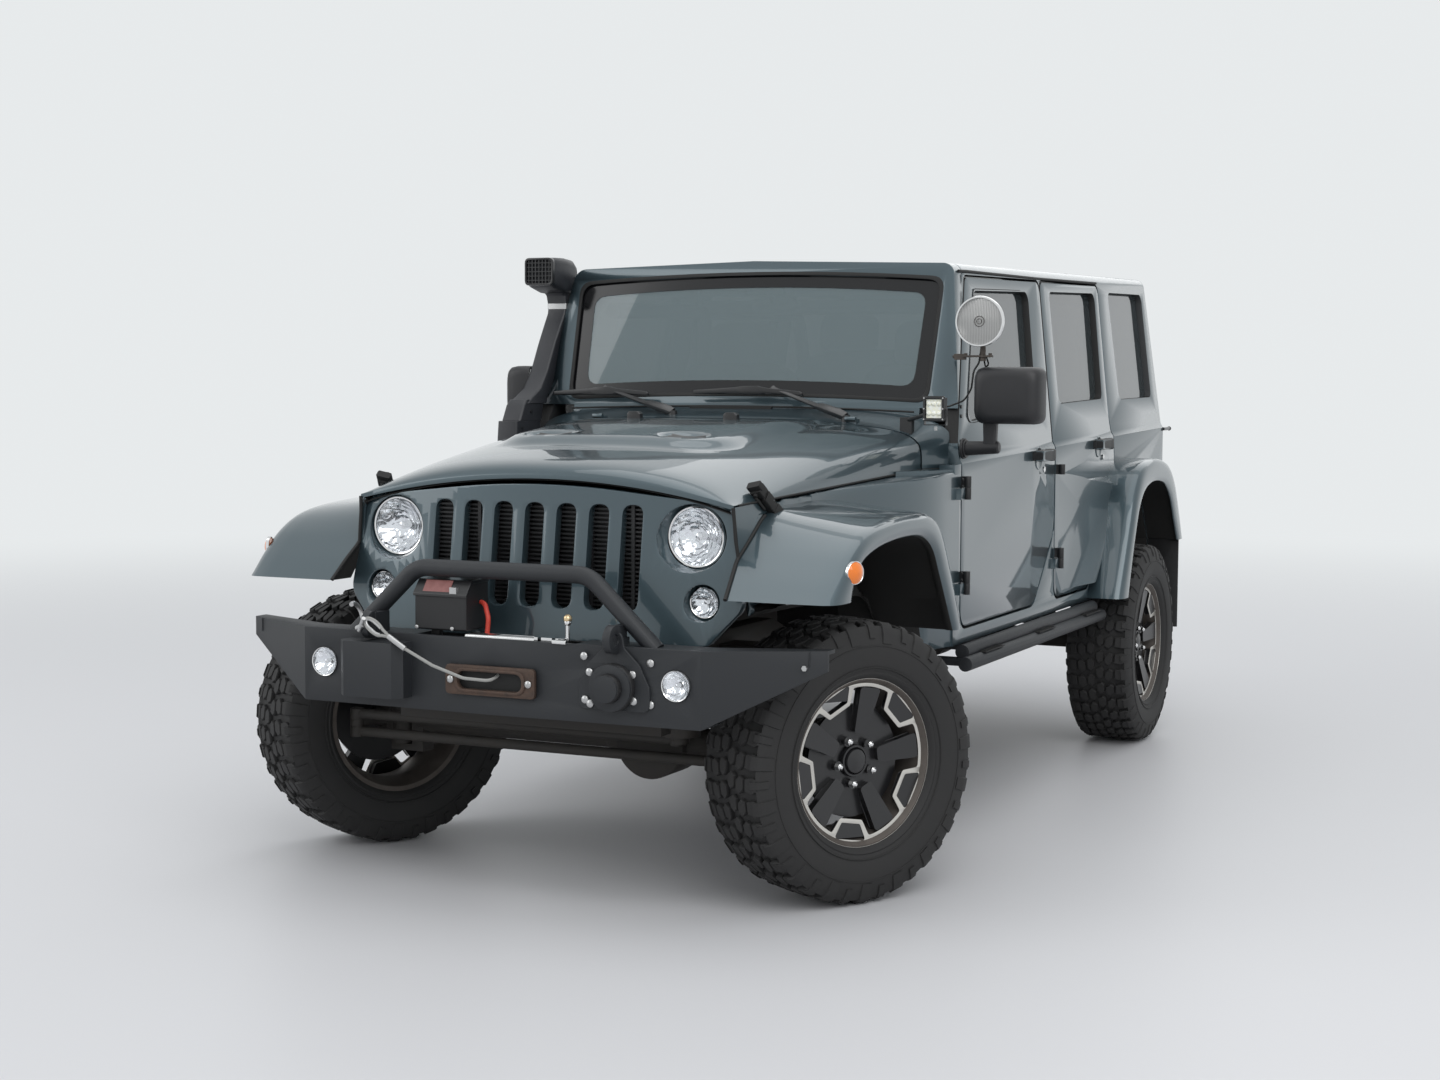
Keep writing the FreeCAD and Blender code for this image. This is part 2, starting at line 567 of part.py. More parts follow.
def steered(x):
    """Where a point that lies x outboard of the left kingpin goes at rest."""
    angle = math.radians(SIZES["steer_rest"])
    return float(x) * math.cos(angle), -float(x) * math.sin(angle)


turned = FreeCAD.Rotation(Vec(0, 0, 1), -SIZES["steer_rest"])
about = FreeCAD.Rotation(Vec(0, 0, 1), 180)
reach_x, reach_y = steered(d.track / 2 - d.kingpin_half)
wheel("front_left", d.kingpin_half + reach_x, reach_y, d.tyre_radius, turned)
wheel("front_right", -(d.kingpin_half + reach_x), -reach_y, d.tyre_radius, turned * about)
wheel("rear_left", d.track / 2, d.wheelbase, d.tyre_radius, FreeCAD.Rotation())
wheel("rear_right", -d.track / 2, d.wheelbase, d.tyre_radius, about)
wheel("spare", 0, d.spare_y, d.spare_z, FreeCAD.Rotation(Vec(0, 0, 1), 90), False)

# Axles, knuckles and steering


def yoke(sign):
    """The forked end of the front axle that holds a kingpin."""
    base = d.kingpin_half - d.knuckle_radius - d.pin_head
    low = d.tyre_radius - d.yoke_rise - d.yoke_thick
    web = box(base - d.yoke_thick * 2, base, -d.yoke_length / 2, d.yoke_length / 2, low,
              d.tyre_radius + d.yoke_rise + d.yoke_thick)
    plates = []
    for z in (low, d.tyre_radius + d.yoke_rise):
        plates.append(box(base - d.pin_head, d.kingpin_half + d.yoke_reach, -d.yoke_length / 2,
                          d.yoke_length / 2, z, z + d.yoke_thick))
    pin = rod("z", d.kingpin_half, 0, low - d.overrun, d.kingpin_radius + d.pin_slip,
              2 * (d.yoke_rise + d.yoke_thick + d.overrun))
    fork = cut(fuse(web, *plates), pin)
    return fork if sign > 0 else mirror(fork)


def axle(tube_half, side, nose_way):
    """An axle tube with its differential housing and the pinion nose towards the drive shaft."""
    z = d.tyre_radius
    tube = rod("x", -tube_half, 0, z, d.axle_tube_radius, 2 * tube_half)
    half = d.differential_depth / 2
    housing = rod("y", side, -half, z, d.differential_radius, d.differential_depth)
    reach = d.differential_reach
    slim = d.axle_tube_radius + d.slip
    shoulders = [cone("x", side - reach, 0, z, slim, d.differential_neck, reach),
                 cone("x", side, 0, z, d.differential_neck, slim, reach)]
    nose_length = half + d.shaft_radius - 2 * d.pinion_gap
    nose = rod("y", side, 0 * z if nose_way > 0 else -nose_length, z, d.shaft_radius, nose_length)
    return fuse(tube, housing, nose, *shoulders)


def spring_seat(sign):
    return box(d.spring_x - d.spring_radius if sign > 0 else -d.spring_x - d.spring_radius,
               d.spring_x + d.spring_radius if sign > 0 else -d.spring_x + d.spring_radius,
               -d.spring_radius, d.spring_radius, d.tyre_radius + d.axle_tube_radius / 2,
               d.tyre_radius + d.axle_tube_radius + d.hinge_leaf_thick)


half_tube = d.kingpin_half - d.knuckle_radius - d.pin_head - d.yoke_thick
front = fuse(axle(half_tube, d.differential_x, 1), yoke(1), yoke(-1), spring_seat(1),
             spring_seat(-1))
rear_half = d.kingpin_half + d.disc_x - d.disc_thick / 2 - d.slip
rear = fuse(axle(rear_half, 0 * d.differential_x, -1), spring_seat(1), spring_seat(-1))
rear.setExpression("Placement.Base.y", d.wheelbase.text)
node("axles", front, rear)


def knuckle():
    """The left knuckle, straight ahead, about its kingpin at x = 0 and y = 0."""
    z = d.tyre_radius
    core = rod("z", 0, 0, z - d.yoke_rise + d.pin_slip, d.knuckle_radius,
               2 * (d.yoke_rise - d.pin_slip))
    pin = rod("z", 0, 0, z - d.yoke_rise - d.yoke_thick, d.kingpin_radius,
              2 * (d.yoke_rise + d.yoke_thick))
    face = d.disc_x - d.disc_thick / 2
    spindle = rod("x", 0, 0, z, d.hub_radius, face - d.slip)
    foot_y = d.disc_radius - d.caliper_depth + d.running_gap
    caliper = box(face - d.caliper_depth / 2, face + d.disc_thick + d.caliper_depth / 2, foot_y,
                  d.disc_radius + d.running_gap, z - d.caliper_height / 3,
                  z + d.caliper_height / 3)
    slot = rod("x", face - d.running_gap, 0, z, d.disc_radius + d.running_gap,
               d.disc_thick + 2 * d.running_gap)
    bridge = box(d.slip, face - d.running_gap, 0, foot_y + d.running_gap * 2, z - d.arm_width / 2,
                 z + d.arm_width / 2)
    arm = box(-d.arm_width / 2, d.arm_width / 2, -d.arm_length, 0, z - d.arm_thick / 2,
              z + d.arm_thick / 2)
    eye = rod("z", 0, -d.arm_length, z - d.arm_thick / 2, d.tie_eye_radius, d.arm_thick)
    return fuse(core, pin, spindle, cut(caliper, slot), bridge, arm, eye)


def knuckle_mate():
    """The right knuckle: the left one mirrored, so that its arm also points ahead."""
    return mirror(knuckle())


for label, piece, x in (("knuckle_left", knuckle(), d.kingpin_half),
                        ("knuckle_right", knuckle_mate(), -d.kingpin_half)):
    item = gather("Part::Compound", [piece])
    item.Label = label
    item.Placement = FreeCAD.Placement(Vec(x, -float(d.origin_setback), 0), turned)
    nodes.append(item)

arm_x = -float(d.arm_length) * math.sin(math.radians(SIZES["steer_rest"]))
arm_y = -float(d.arm_length) * math.cos(math.radians(SIZES["steer_rest"]))
low_eye = d.tyre_radius - d.arm_thick / 2 - d.slip - 2 * d.tie_rod_radius
high_eye = d.tyre_radius + d.arm_thick / 2 + d.slip
rods = []
for z, left in ((low_eye, d.kingpin_half), (high_eye, d.pitman_x - arm_x)):
    level = z + d.tie_rod_radius
    ends = [-float(d.kingpin_half) + arm_x, float(left) + arm_x]
    eyes = [rod("z", x, arm_y, z, d.tie_eye_radius, 2 * d.tie_rod_radius) for x in ends]
    link = bar((ends[0], arm_y, level), (ends[1], arm_y, level), d.tie_rod_radius - d.seat_gap)
    rods.append(fuse(link, *eyes))
node("tie_rod", *rods)
pitman_y = 2 * arm_y
pitman_low = high_eye + 2 * d.tie_rod_radius + d.slip
pitman_arm = fuse(
    bar((float(d.pitman_x), arm_y, float(pitman_low + d.arm_thick / 2)),
        (float(d.pitman_x) - arm_x, pitman_y, float(pitman_low + d.arm_thick / 2)),
        d.arm_thick / 2 - d.seat_gap),
    rod("z", d.pitman_x, arm_y, pitman_low, d.tie_eye_radius, d.arm_thick),
    rod("z", d.pitman_x - arm_x, pitman_y, pitman_low, d.pitman_shaft_radius, d.arm_thick))
node("pitman_arm", pitman_arm)

# Frame, springs, driveline and tanks


def rails():
    low = d.rail_low
    kicked = d.rail_low + d.rail_kick
    horn = kicked - d.horn_drop
    under = [
        (d.rail_front, horn), (d.cross_low_y + d.horn_drop, horn), (-d.link_front_x / 2, kicked),
        (d.kick_front_start, kicked), (d.kick_front_end, low), (d.kick_rear_start, low),
        (d.kick_rear_end, kicked), (d.kick_rear_fall, kicked), (d.rail_rear, horn)]
    over = [(y, z + d.rail_height) for y, z in reversed(under)]
    return both(prism("x", d.rail_outer - d.rail_width, d.rail_outer, under + over))


inner_x = d.rail_outer - d.rail_width
tubes = []
for y, z in ((d.cross_gearbox_y, d.gearbox_z - d.gearbox_radius - d.slip - d.cross_tube_radius),
             (d.cross_mid_y, d.rail_low + d.rail_height - d.cross_tube_radius),
             (d.cross_tail_y, d.rail_low + d.rail_kick + (d.rail_height - d.horn_drop) / 2)):
    tubes.append(rod("x", -inner_x, y, z, d.cross_tube_radius, 2 * inner_x))
beam_top = d.rail_low + d.rail_kick - d.horn_drop
beam = box(-inner_x, inner_x, d.cross_low_y - d.cross_tube_radius,
           d.cross_low_y + d.cross_tube_radius, d.cross_low_z - d.cross_tube_radius * 2,
           d.cross_low_z)
hangers = both(box(inner_x - d.hinge_leaf_thick, d.rail_outer, d.cross_low_y - d.cross_tube_radius,
                   d.cross_low_y + d.cross_tube_radius, d.cross_low_z - d.cross_tube_radius * 2,
                   beam_top + d.hinge_leaf_thick))
tower_low = d.rail_low + d.rail_kick + d.rail_height / 2
towers = []
for y in (0 * d.wheelbase, d.wheelbase):
    towers += both(box(inner_x, d.spring_x + d.spring_radius, y - d.spring_radius,
                       y + d.spring_radius, tower_low, tower_low + d.yoke_thick))
box_z = pitman_low + d.arm_thick + d.slip
steer_box = rod("z", d.pitman_x - arm_x, pitman_y, box_z, d.steering_box_size / 2,
                beam_top + d.yoke_thick - box_z)
receiver = box(-d.hitch_bore / 2 - d.hitch_wall, d.hitch_bore / 2 + d.hitch_wall,
               d.cross_tail_y, d.rear_bumper_front + d.rear_bumper_depth,
               d.hitch_z - d.hitch_bore / 2 - d.hitch_wall,
               d.hitch_z + d.hitch_bore / 2 + d.hitch_wall)
mouth = box(-d.hitch_bore / 2, d.hitch_bore / 2,
            d.rear_bumper_front + d.rear_bumper_depth - d.hitch_length,
            d.rear_bumper_front + d.rear_bumper_depth + d.overrun,
            d.hitch_z - d.hitch_bore / 2, d.hitch_z + d.hitch_bore / 2)
neck = box(-d.hitch_bore / 2, d.hitch_bore / 2, d.cross_tail_y - d.cross_tube_radius / 2,
           d.cross_tail_y + d.cross_tube_radius / 2, d.hitch_z,
           d.rail_low + d.rail_kick - d.horn_drop / 2 + d.rail_height / 2)
node("chassis_frame", fuse(*rails(), *tubes, beam, *hangers, *towers, steer_box,
                           cut(receiver, mouth), neck))


def coil(y):
    """A coil spring as rings about its bump-stop column."""
    low = d.tyre_radius + d.axle_tube_radius + d.hinge_leaf_thick + d.slip
    high = tower_low - d.slip
    pitch = (high - low - 2 * d.spring_wire) / (d.spring_turns - 1)
    pieces = [rod("z", d.spring_x, y, low, d.spring_radius - d.spring_wire * 2, high - low)]
    for i in range(int(SIZES["spring_turns"])):
        ring = doc.addObject("Part::Torus", "Coil")
        bind(ring, "Radius1", d.spring_radius - d.spring_wire * 2)
        bind(ring, "Radius2", d.spring_wire)
        seat(ring, d.spring_x, y, low + d.spring_wire + pitch * i)
        pieces.append(ring)
    return fuse(*pieces)


def links(y, way):
    """A lower link from the axle to a bracket under the rail."""
    x = d.link_front_x
    start = (x, y + way * (d.axle_tube_radius + d.link_radius), d.tyre_radius - d.link_axle_drop)
    end = (x, y + way * d.link_reach, d.link_frame_z)
    return fuse(bar(start, end, d.link_radius),
                box(inner_x - d.link_radius, inner_x - d.slip,
                    end[1] - d.link_radius, end[1] + d.link_radius, d.link_frame_z,
                    d.rail_low + d.rail_height / 2))


suspension = []
for y, way in ((0 * d.wheelbase, 1), (d.wheelbase, -1)):
    suspension += both(coil(y))
    suspension += both(links(y, way))
node("suspension", *suspension)

engine_rear = d.engine_front + d.engine_length
node("engine_block", box(-d.engine_width / 2, d.engine_width / 2, d.engine_front, engine_rear,
                         d.engine_low, d.engine_top))
bell = cone("y", 0, d.engine_front + d.engine_length, d.gearbox_z, d.bell_radius,
            d.gearbox_radius, d.bell_length)
tail = rod("y", 0, engine_rear + d.bell_length - d.seat_gap, d.gearbox_z, d.gearbox_radius,
           d.gearbox_end - engine_rear - d.bell_length + d.seat_gap)
transfer = box(0, d.transfer_side, d.transfer_front, d.transfer_rear,
               d.gearbox_z - d.gearbox_radius + d.running_gap, d.gearbox_z + d.gearbox_radius / 2)
pinion = d.differential_depth / 2 + d.shaft_radius
rear_shaft = bar((0, d.gearbox_end + d.slip, d.gearbox_z - d.shaft_radius),
                 (0, d.wheelbase - pinion, d.tyre_radius + d.shaft_radius / 2), d.shaft_radius)
front_shaft = bar((d.front_shaft_x, d.transfer_front + d.shaft_radius / 2,
                   d.gearbox_z - d.shaft_radius),
                  (d.differential_x, pinion + d.overrun, d.tyre_radius), d.shaft_radius)
node("drivetrain", fuse(bell, tail, transfer, rear_shaft, front_shaft))
node("fuel_tank", box(d.tank_right, d.tank_left, d.tank_front, d.tank_rear, d.tank_low,
                      d.floor_z - d.slip))
pipe_run = pipe([(d.exhaust_x, d.exhaust_front, d.exhaust_z),
                 (d.exhaust_x, d.exhaust_rise_y, d.exhaust_z),
                 (d.exhaust_x, d.exhaust_over_y, d.exhaust_over_z),
                 (d.exhaust_x, d.muffler_y, d.exhaust_over_z)], d.exhaust_radius,
                4 * d.exhaust_radius)
muffler = rod("x", -d.muffler_half, d.muffler_y, d.muffler_z, d.muffler_radius,
              d.muffler_half + d.exhaust_x + d.exhaust_radius)
node("exhaust", fuse(pipe_run, muffler))

# Cabin shell: one hollow form that the doors, tub, hard top and windscreen frame are cut from


def cabin_section(at, belt, roof, inset, open_top=False):
    """The cabin's outline across Y, drawn in by inset all round."""
    lean = (d.shoulder_x - d.roof_x) / (roof - belt - d.shoulder_rise)
    side = [(d.skin_x - inset, d.sill_z - d.overrun), (d.skin_x - inset, belt),
            (d.shoulder_x - inset, belt + d.shoulder_rise)]
    if open_top:
        rise = d.wall * 2
        top = [(d.roof_x - inset - lean * rise, roof + rise)]
        crown = []
    else:
        top = [(d.roof_x - inset + lean * inset, roof - inset, d.roof_corner - inset / 2)]
        crown = [(0 * d.roof_x, roof + d.roof_crown - inset, d.crown_radius)]
    half = side + top
    flip = [(-point[0],) + tuple(point[1:]) for point in reversed(half)]
    return ("y", at, half + crown + flip)


def cabin(inset, start, end, open_top=False):
    return loft([cabin_section(start, d.belt_front, d.roof_front_z, inset, open_top),
                 cabin_section(end, d.belt_rear, d.roof_rear_z, inset, open_top)])


def side_skin(outer_inset, inner_inset):
    """Both cabin sides between two insets, with no roof."""
    return cut(cabin(outer_inset, d.shell_front, d.shell_rear, True),
               cabin(inner_inset, d.shell_front, d.shell_rear, True))


def front_door_outline(grow):
    """The front door's edge from the side, (y, z), pushed out by grow."""
    return [
        (d.front_door_front - grow, d.door_low - grow, d.door_corner),
        (d.front_door_low_rear + grow / 2, d.door_low - grow, d.lean_radius),
        (d.front_door_rear + grow, d.front_door_lean_z - grow, d.lean_radius),
        (d.front_door_rear + grow, d.door_waist_z),
        (d.front_door_top_rear + grow, d.door_top_rear_z + grow, d.door_top_radius),
        (d.front_door_top_front - grow, d.door_top_front_z + grow, d.door_top_radius),
        (d.front_door_front - grow, d.door_waist_z + grow / 2, d.door_corner)]


def rear_door_outline(grow):
    return [
        (d.rear_door_front - grow, d.door_low - grow, d.door_corner),
        (d.rear_door_low_rear + grow, d.door_low - grow, d.door_corner),
        (d.rear_door_rear + grow, d.rear_door_lean_z, d.lean_radius),
        (d.rear_door_waist + grow, d.rear_door_waist_z, d.lean_radius),
        (d.rear_door_top_rear + grow, d.rear_door_top_z + grow, d.door_top_radius),
        (d.rear_door_top_front - grow, d.door_top_rear_z + grow, d.door_top_radius),
        (d.rear_door_front - grow, d.door_waist_z)]


WINDOWS = {
    "front": ("front_window", d.skin_x - 3 * d.wall),
    "rear": ("rear_window", d.skin_x - 3 * d.wall),
    "quarter": ("quarter", d.skin_x - 4 * d.wall)}


def window_outline(word, shrink):
    """A side window's outline, (y, z), drawn in by shrink."""
    stem = WINDOWS[word][0]
    places = []
    for corner, way_y, way_z in (("low_front", 1, 1), ("low_rear", -1, 1), ("top_rear", -1, -1),
                                 ("top_front", 1, -1)):
        y = getattr(d, stem + "_" + corner)
        z = getattr(d, stem + "_" + corner + "_z")
        places.append((y + way_y * shrink, z + way_z * shrink, d.window_radius))
    return places


door_reach = d.roof_x - d.wall - 2 * d.running_gap
cabin_left = d.skin_x + d.overrun
door_outlines = {"front": front_door_outline, "rear": rear_door_outline}
openings = {word: prism("x", door_reach, cabin_left, shape(d.door_gap))
            for word, shape in door_outlines.items()}
window_holes = {word: prism("x", WINDOWS[word][1], cabin_left, window_outline(word, 0 * d.slip))
                for word in WINDOWS}


def hinge(y, z, door_side):
    """Half of an external hinge: its leaf on the skin and its part of the barrel."""
    low = z if door_side else z - d.hinge_height / 2
    barrel = rod("z", d.hinge_x, y, low + (d.seat_gap if door_side else 0 * low),
                 d.hinge_radius, d.hinge_height / 2 - d.seat_gap)
    ends = (y, y + d.hinge_leaf) if door_side else (y - d.hinge_leaf, y)
    leaf = box(d.skin_x, d.hinge_x - d.hinge_radius / 2, ends[0], ends[1], low + d.seat_gap,
               low + d.hinge_height / 2 - d.seat_gap)
    return fuse(barrel, leaf)


def handle(y, z):
    """A paddle handle that stands off the door skin."""
    grip = box(d.skin_x + d.handle_depth / 2, d.skin_x + d.handle_depth,
               y - d.handle_length / 2, y + d.handle_length / 2, z - d.handle_height / 2,
               z + d.handle_height / 2)
    posts = [box(d.skin_x - d.seat_gap, d.skin_x + d.handle_depth, y + way * d.handle_length / 2
                 - d.handle_height / 2 - way * d.handle_height / 2,
                 y + way * d.handle_length / 2 + d.handle_height / 2 - way * d.handle_height / 2,
                 z - d.handle_height / 2, z + d.handle_height / 2) for way in (-1, 1)]
    return fuse(grip, *posts)


def bulge():
    """The painted swelling of the rear door that meets the flare."""
    edge_low = d.rear_door_low_rear
    edge_high = d.rear_door_rear
    foot = d.door_low + d.overrun
    head = d.rear_door_lean_z
    lead = d.bulge_lead * 2
    base = [(edge_low - lead, foot), (edge_low, foot), (edge_high, head),
            (edge_high - lead * 1.2, head)]
    crest = [(edge_low - d.bulge_lead / 5, foot), (edge_low, foot), (edge_high, head - d.overrun * 2),
             (edge_high - d.bulge_lead / 3, head - d.overrun * 2)]
    return loft([("x", d.skin_x - d.running_gap, base), ("x", d.skin_x + d.door_bulge, crest)])


panel = side_skin(0 * d.wall, d.wall - d.running_gap)
pane = side_skin(d.glass_depth, d.glass_depth + d.glass_thick)
door_parts = {}
for word, hinge_y, handle_y, handle_z in (
        ("front", d.hinge_front_y, d.front_handle_y, d.front_handle_z),
        ("rear", d.hinge_rear_y, d.rear_handle_y, d.rear_handle_z)):
    edge = prism("x", door_reach - d.running_gap, cabin_left, door_outlines[word](0 * d.wall))
    sheet = cut(common(panel, edge), window_holes[word])
    extras = [hinge(hinge_y, z, True) for z in (d.hinge_low_z, d.hinge_high_z)]
    extras.append(handle(handle_y, handle_z))
    if word == "rear":
        wide = prism("x", d.skin_x - d.wall, d.skin_x + 2 * d.wall,
                     rear_door_outline(-d.overrun / 5))
        extras.append(common(bulge(), wide))
    door = fuse(sheet, *extras)
    glass = common(pane, prism("x", WINDOWS[word][1], cabin_left,
                               window_outline(word, d.glass_slip)))
    door_parts[word] = (door, glass)
for word, (door, glass) in door_parts.items():
    for suffix, pieces in (("left", (door, glass)), ("right", (mirror(door), mirror(glass)))):
        node("door_%s_%s" % (word, suffix), pieces[0])
        node("door_glass_%s_%s" % (word, suffix), pieces[1])

# Tub, windscreen frame and hard top

hollow = cut(cabin(0 * d.wall, d.shell_front, d.shell_rear),
             cabin(d.wall, d.shell_front - d.overrun, d.shell_rear - d.wall))
door_holes = []
for hole in openings.values():
    door_holes += both(hole)


def belt_at(y):
    share = (y - d.shell_front) / (d.shell_rear - d.shell_front)
    return d.belt_front + share * (d.belt_rear - d.belt_front)


def bonnet_edge_x(y):
    share = (y - d.bonnet_nose_y) / (d.bonnet_rear - d.bonnet_nose_y)
    return d.bonnet_side_front_x + share * (d.bonnet_side_rear_x - d.bonnet_side_front_x)


def bonnet_edge_z(y):
    share = (y - d.bonnet_nose_y) / (d.bonnet_rear - d.bonnet_nose_y)
    return d.bonnet_side_front_z + share * (d.bonnet_side_rear_z - d.bonnet_side_front_z)


def front_arch(grow):
    """The front wheel arch from the side, (y, z), pushed out by grow."""
    return [
        (d.front_arch_front - grow, d.front_flare_nose_z),
        (d.front_arch_nose - grow, d.front_arch_z + grow, d.arch_radius),
        (d.front_arch_rear + grow, d.front_arch_z + grow, d.arch_radius),
        (d.front_arch_heel + grow, d.front_flare_heel_z - d.overrun),
        (d.front_arch_heel + grow, d.sill_z - 2 * d.overrun),
        (d.front_arch_front - grow, d.sill_z - 2 * d.overrun)]


def rear_arch(grow):
    return [
        (d.rear_arch_front - grow, d.sill_z - 3 * d.overrun),
        (d.rear_arch_front - grow, d.rear_flare_low),
        (d.rear_arch_top_front - grow, d.rear_arch_z + grow, d.arch_radius),
        (d.rear_arch_top_rear + grow, d.rear_arch_z + grow, d.arch_radius),
        (d.rear_arch_tail + grow, d.rear_flare_tail_z),
        (d.rear_arch_tail + grow, d.sill_z - 3 * d.overrun)]


tub_side = prism("x", -cabin_left, cabin_left, [
    (d.shell_front - d.overrun, d.sill_z), (d.shell_rear + d.overrun, d.sill_z),
    (d.shell_rear + d.overrun, belt_at(d.shell_rear + d.overrun) - d.seat_gap),
    (d.shell_front - d.overrun, belt_at(d.shell_front - d.overrun) - d.seat_gap)])
inner_half = d.skin_x - d.wall
arch_holes = both(prism("x", d.cargo_wheelhouse_x, cabin_left, rear_arch(0 * d.wall)))
gate_hole = prism("y", d.shell_rear - d.wall - d.overrun, d.shell_rear + d.overrun, [
    (-d.gate_half - d.door_gap, d.gate_low - d.door_gap, d.gate_radius),
    (d.gate_half + d.door_gap, d.gate_low - d.door_gap, d.gate_radius),
    (d.gate_half + d.door_gap, d.belt_rear + d.overrun),
    (-d.gate_half - d.door_gap, d.belt_rear + d.overrun)])
rear_skirt = box(-inner_half, inner_half, d.shell_rear - d.wall - d.overrun,
                 d.shell_rear + d.overrun, d.sill_z - d.overrun, d.skirt_z)
tub_shell = cut(common(hollow, tub_side), *door_holes, *arch_holes, gate_hole, rear_skirt)
overlap = d.seat_gap
floor = box(-inner_half - overlap, inner_half + overlap, d.firewall_y, d.cargo_floor_front,
            d.floor_z, d.floor_z + d.floor_thick)
riser = box(-inner_half - overlap, inner_half + overlap, d.cargo_floor_front - d.floor_thick,
            d.cargo_floor_front, d.floor_z, d.cargo_floor_z + d.floor_thick)
cargo = box(-d.cargo_wheelhouse_x, d.cargo_wheelhouse_x, d.cargo_floor_front - d.floor_thick,
            d.shell_rear - d.wall - d.door_gap, d.cargo_floor_z, d.cargo_floor_z + d.floor_thick)
firewall = box(-inner_half - overlap, inner_half + overlap, d.firewall_y,
               d.firewall_y + d.firewall_thick, d.floor_z, d.belt_front - d.overrun)
house = []
for grow_out, grow_in in ((d.floor_thick, 0 * d.wall),):
    shape = cut(prism("x", d.cargo_wheelhouse_x - d.floor_thick, inner_half + overlap,
                      rear_arch(grow_out)),
                prism("x", d.cargo_wheelhouse_x, cabin_left, rear_arch(grow_in)))
    keep = box(0, cabin_left, d.cargo_floor_front - 2 * d.wall, d.shell_rear - d.wall + overlap,
               d.sill_z, d.belt_front)
    house += both(common(shape, keep))
post = box(inner_half - d.door_gap - d.wall, inner_half - d.door_gap,
           d.hinge_rear_y - d.wall, d.hinge_rear_y + d.wall, d.floor_z, d.belt_front)
cowl_plan = [
    (bonnet_edge_x(d.fender_rear) - d.fender_wall, d.fender_rear),
    (bonnet_edge_x(d.fender_rear), d.fender_rear),
    (d.skin_x - 2 * d.overrun, d.fender_rear + 2 * d.wall, d.flare_radius),
    (d.skin_x, d.shell_front + d.overrun),
    (d.skin_x - d.floor_thick, d.shell_front + d.overrun),
    (d.skin_x - 2 * d.overrun - d.floor_thick, d.fender_rear + 2 * d.wall + d.overrun)]
cowl_side = prism("z", d.sill_z, d.bonnet_side_rear_z, cowl_plan)
shelf = prism("z", d.bonnet_side_rear_z - d.floor_thick, d.bonnet_side_rear_z, [
    (bonnet_edge_x(d.fender_rear) - d.fender_wall, d.fender_rear),
    (bonnet_edge_x(d.fender_rear), d.fender_rear),
    (d.skin_x - 2 * d.overrun, d.fender_rear + 2 * d.wall, d.flare_radius),
    (d.skin_x, d.shell_front + d.overrun),
    (bonnet_edge_x(d.bonnet_rear) - d.fender_wall, d.firewall_y + d.overrun)])
mounts = []
for y in (d.firewall_y + d.wall, d.cross_gearbox_y, d.cross_mid_y):
    mounts += both(rod("z", inner_x + d.rail_width / 2, y, d.rail_low + d.rail_height + d.slip,
                       d.cross_tube_radius, d.floor_z - d.rail_low - d.rail_height))


def bonnet_section(y, side_x, side_z, shoulder_z, top_z, dome, inset=0):
    """The bonnet's outline across Y: sides, shoulders and the raised middle."""
    half = [(side_x - inset, side_z - 2 * inset),
            (side_x - inset, side_z),
            (side_x - d.bonnet_shoulder_in, shoulder_z - inset, d.bonnet_shoulder_in / 2),
            (dome + d.dome_step, top_z - d.dome_step - inset, d.dome_step),
            (dome - d.dome_step, top_z - d.dome_step / 3 - inset, d.dome_step * 2)]
    crown = [(0 * d.skin_x, top_z - inset, d.bonnet_crown_radius)]
    flip = [(-point[0],) + tuple(point[1:]) for point in reversed(half)]
    return ("y", y, half + crown + flip)


def bonnet_form(inset, front_reach=0, rear_reach=0):
    """The bonnet's outside, or its hollow when inset."""
    rear_z = d.bonnet_rear_z
    return loft([
        bonnet_section(d.bonnet_nose_y - front_reach, d.bonnet_side_front_x, d.bonnet_side_front_z,
                       d.bonnet_shoulder_front_z, d.bonnet_nose_z, d.dome_half_front, inset),
        bonnet_section(d.bonnet_brow_y, bonnet_edge_x(d.bonnet_brow_y),
                       bonnet_edge_z(d.bonnet_brow_y),
                       d.bonnet_shoulder_front_z + d.dome_step, d.bonnet_brow_z,
                       d.dome_half_front, inset),
        bonnet_section(d.bonnet_mid_y, bonnet_edge_x(d.bonnet_mid_y),
                       bonnet_edge_z(d.bonnet_mid_y),
                       (d.bonnet_shoulder_front_z + d.dome_step + d.bonnet_shoulder_rear_z) / 2,
                       d.bonnet_mid_z, (d.dome_half_front + d.dome_half_rear) / 2, inset),
        bonnet_section(d.bonnet_rear + rear_reach, d.bonnet_side_rear_x, d.bonnet_side_rear_z,
                       d.bonnet_shoulder_rear_z, rear_z, d.dome_half_rear, inset)])


cowl_front = d.bonnet_rear + d.cowl_gap
cowl_sections = []
for y in (cowl_front, d.cowl_rear):
    cowl_sections.append(bonnet_section(y, d.bonnet_side_rear_x, d.bonnet_side_rear_z,
                                        d.bonnet_shoulder_rear_z - d.cowl_drop,
                                        d.bonnet_rear_z - d.cowl_drop, d.dome_half_rear))
cowl_inner = box(-inner_half, inner_half, d.firewall_y + d.firewall_thick,
                 d.cowl_rear + d.overrun, d.sill_z, d.belt_front + d.overrun)
cowl = cut(loft(cowl_sections), cowl_inner)
bonnet_room = prism("z", bonnet_edge_z(d.fender_rear - d.overrun) - d.fender_gap, d.bonnet_rear_z, [
    (-bonnet_edge_x(d.fender_rear - d.overrun) - d.fender_gap, d.fender_rear - d.overrun),
    (bonnet_edge_x(d.fender_rear - d.overrun) + d.fender_gap, d.fender_rear - d.overrun),
    (d.bonnet_side_rear_x + d.fender_gap, cowl_front),
    (-d.bonnet_side_rear_x - d.fender_gap, cowl_front)])
cowl_flank = cut(fuse(*both(cowl_side), *both(shelf)), bonnet_room)
tub = fuse(tub_shell, floor, riser, cargo, firewall, *house, *both(post), cowl_flank, *mounts,
           cowl)
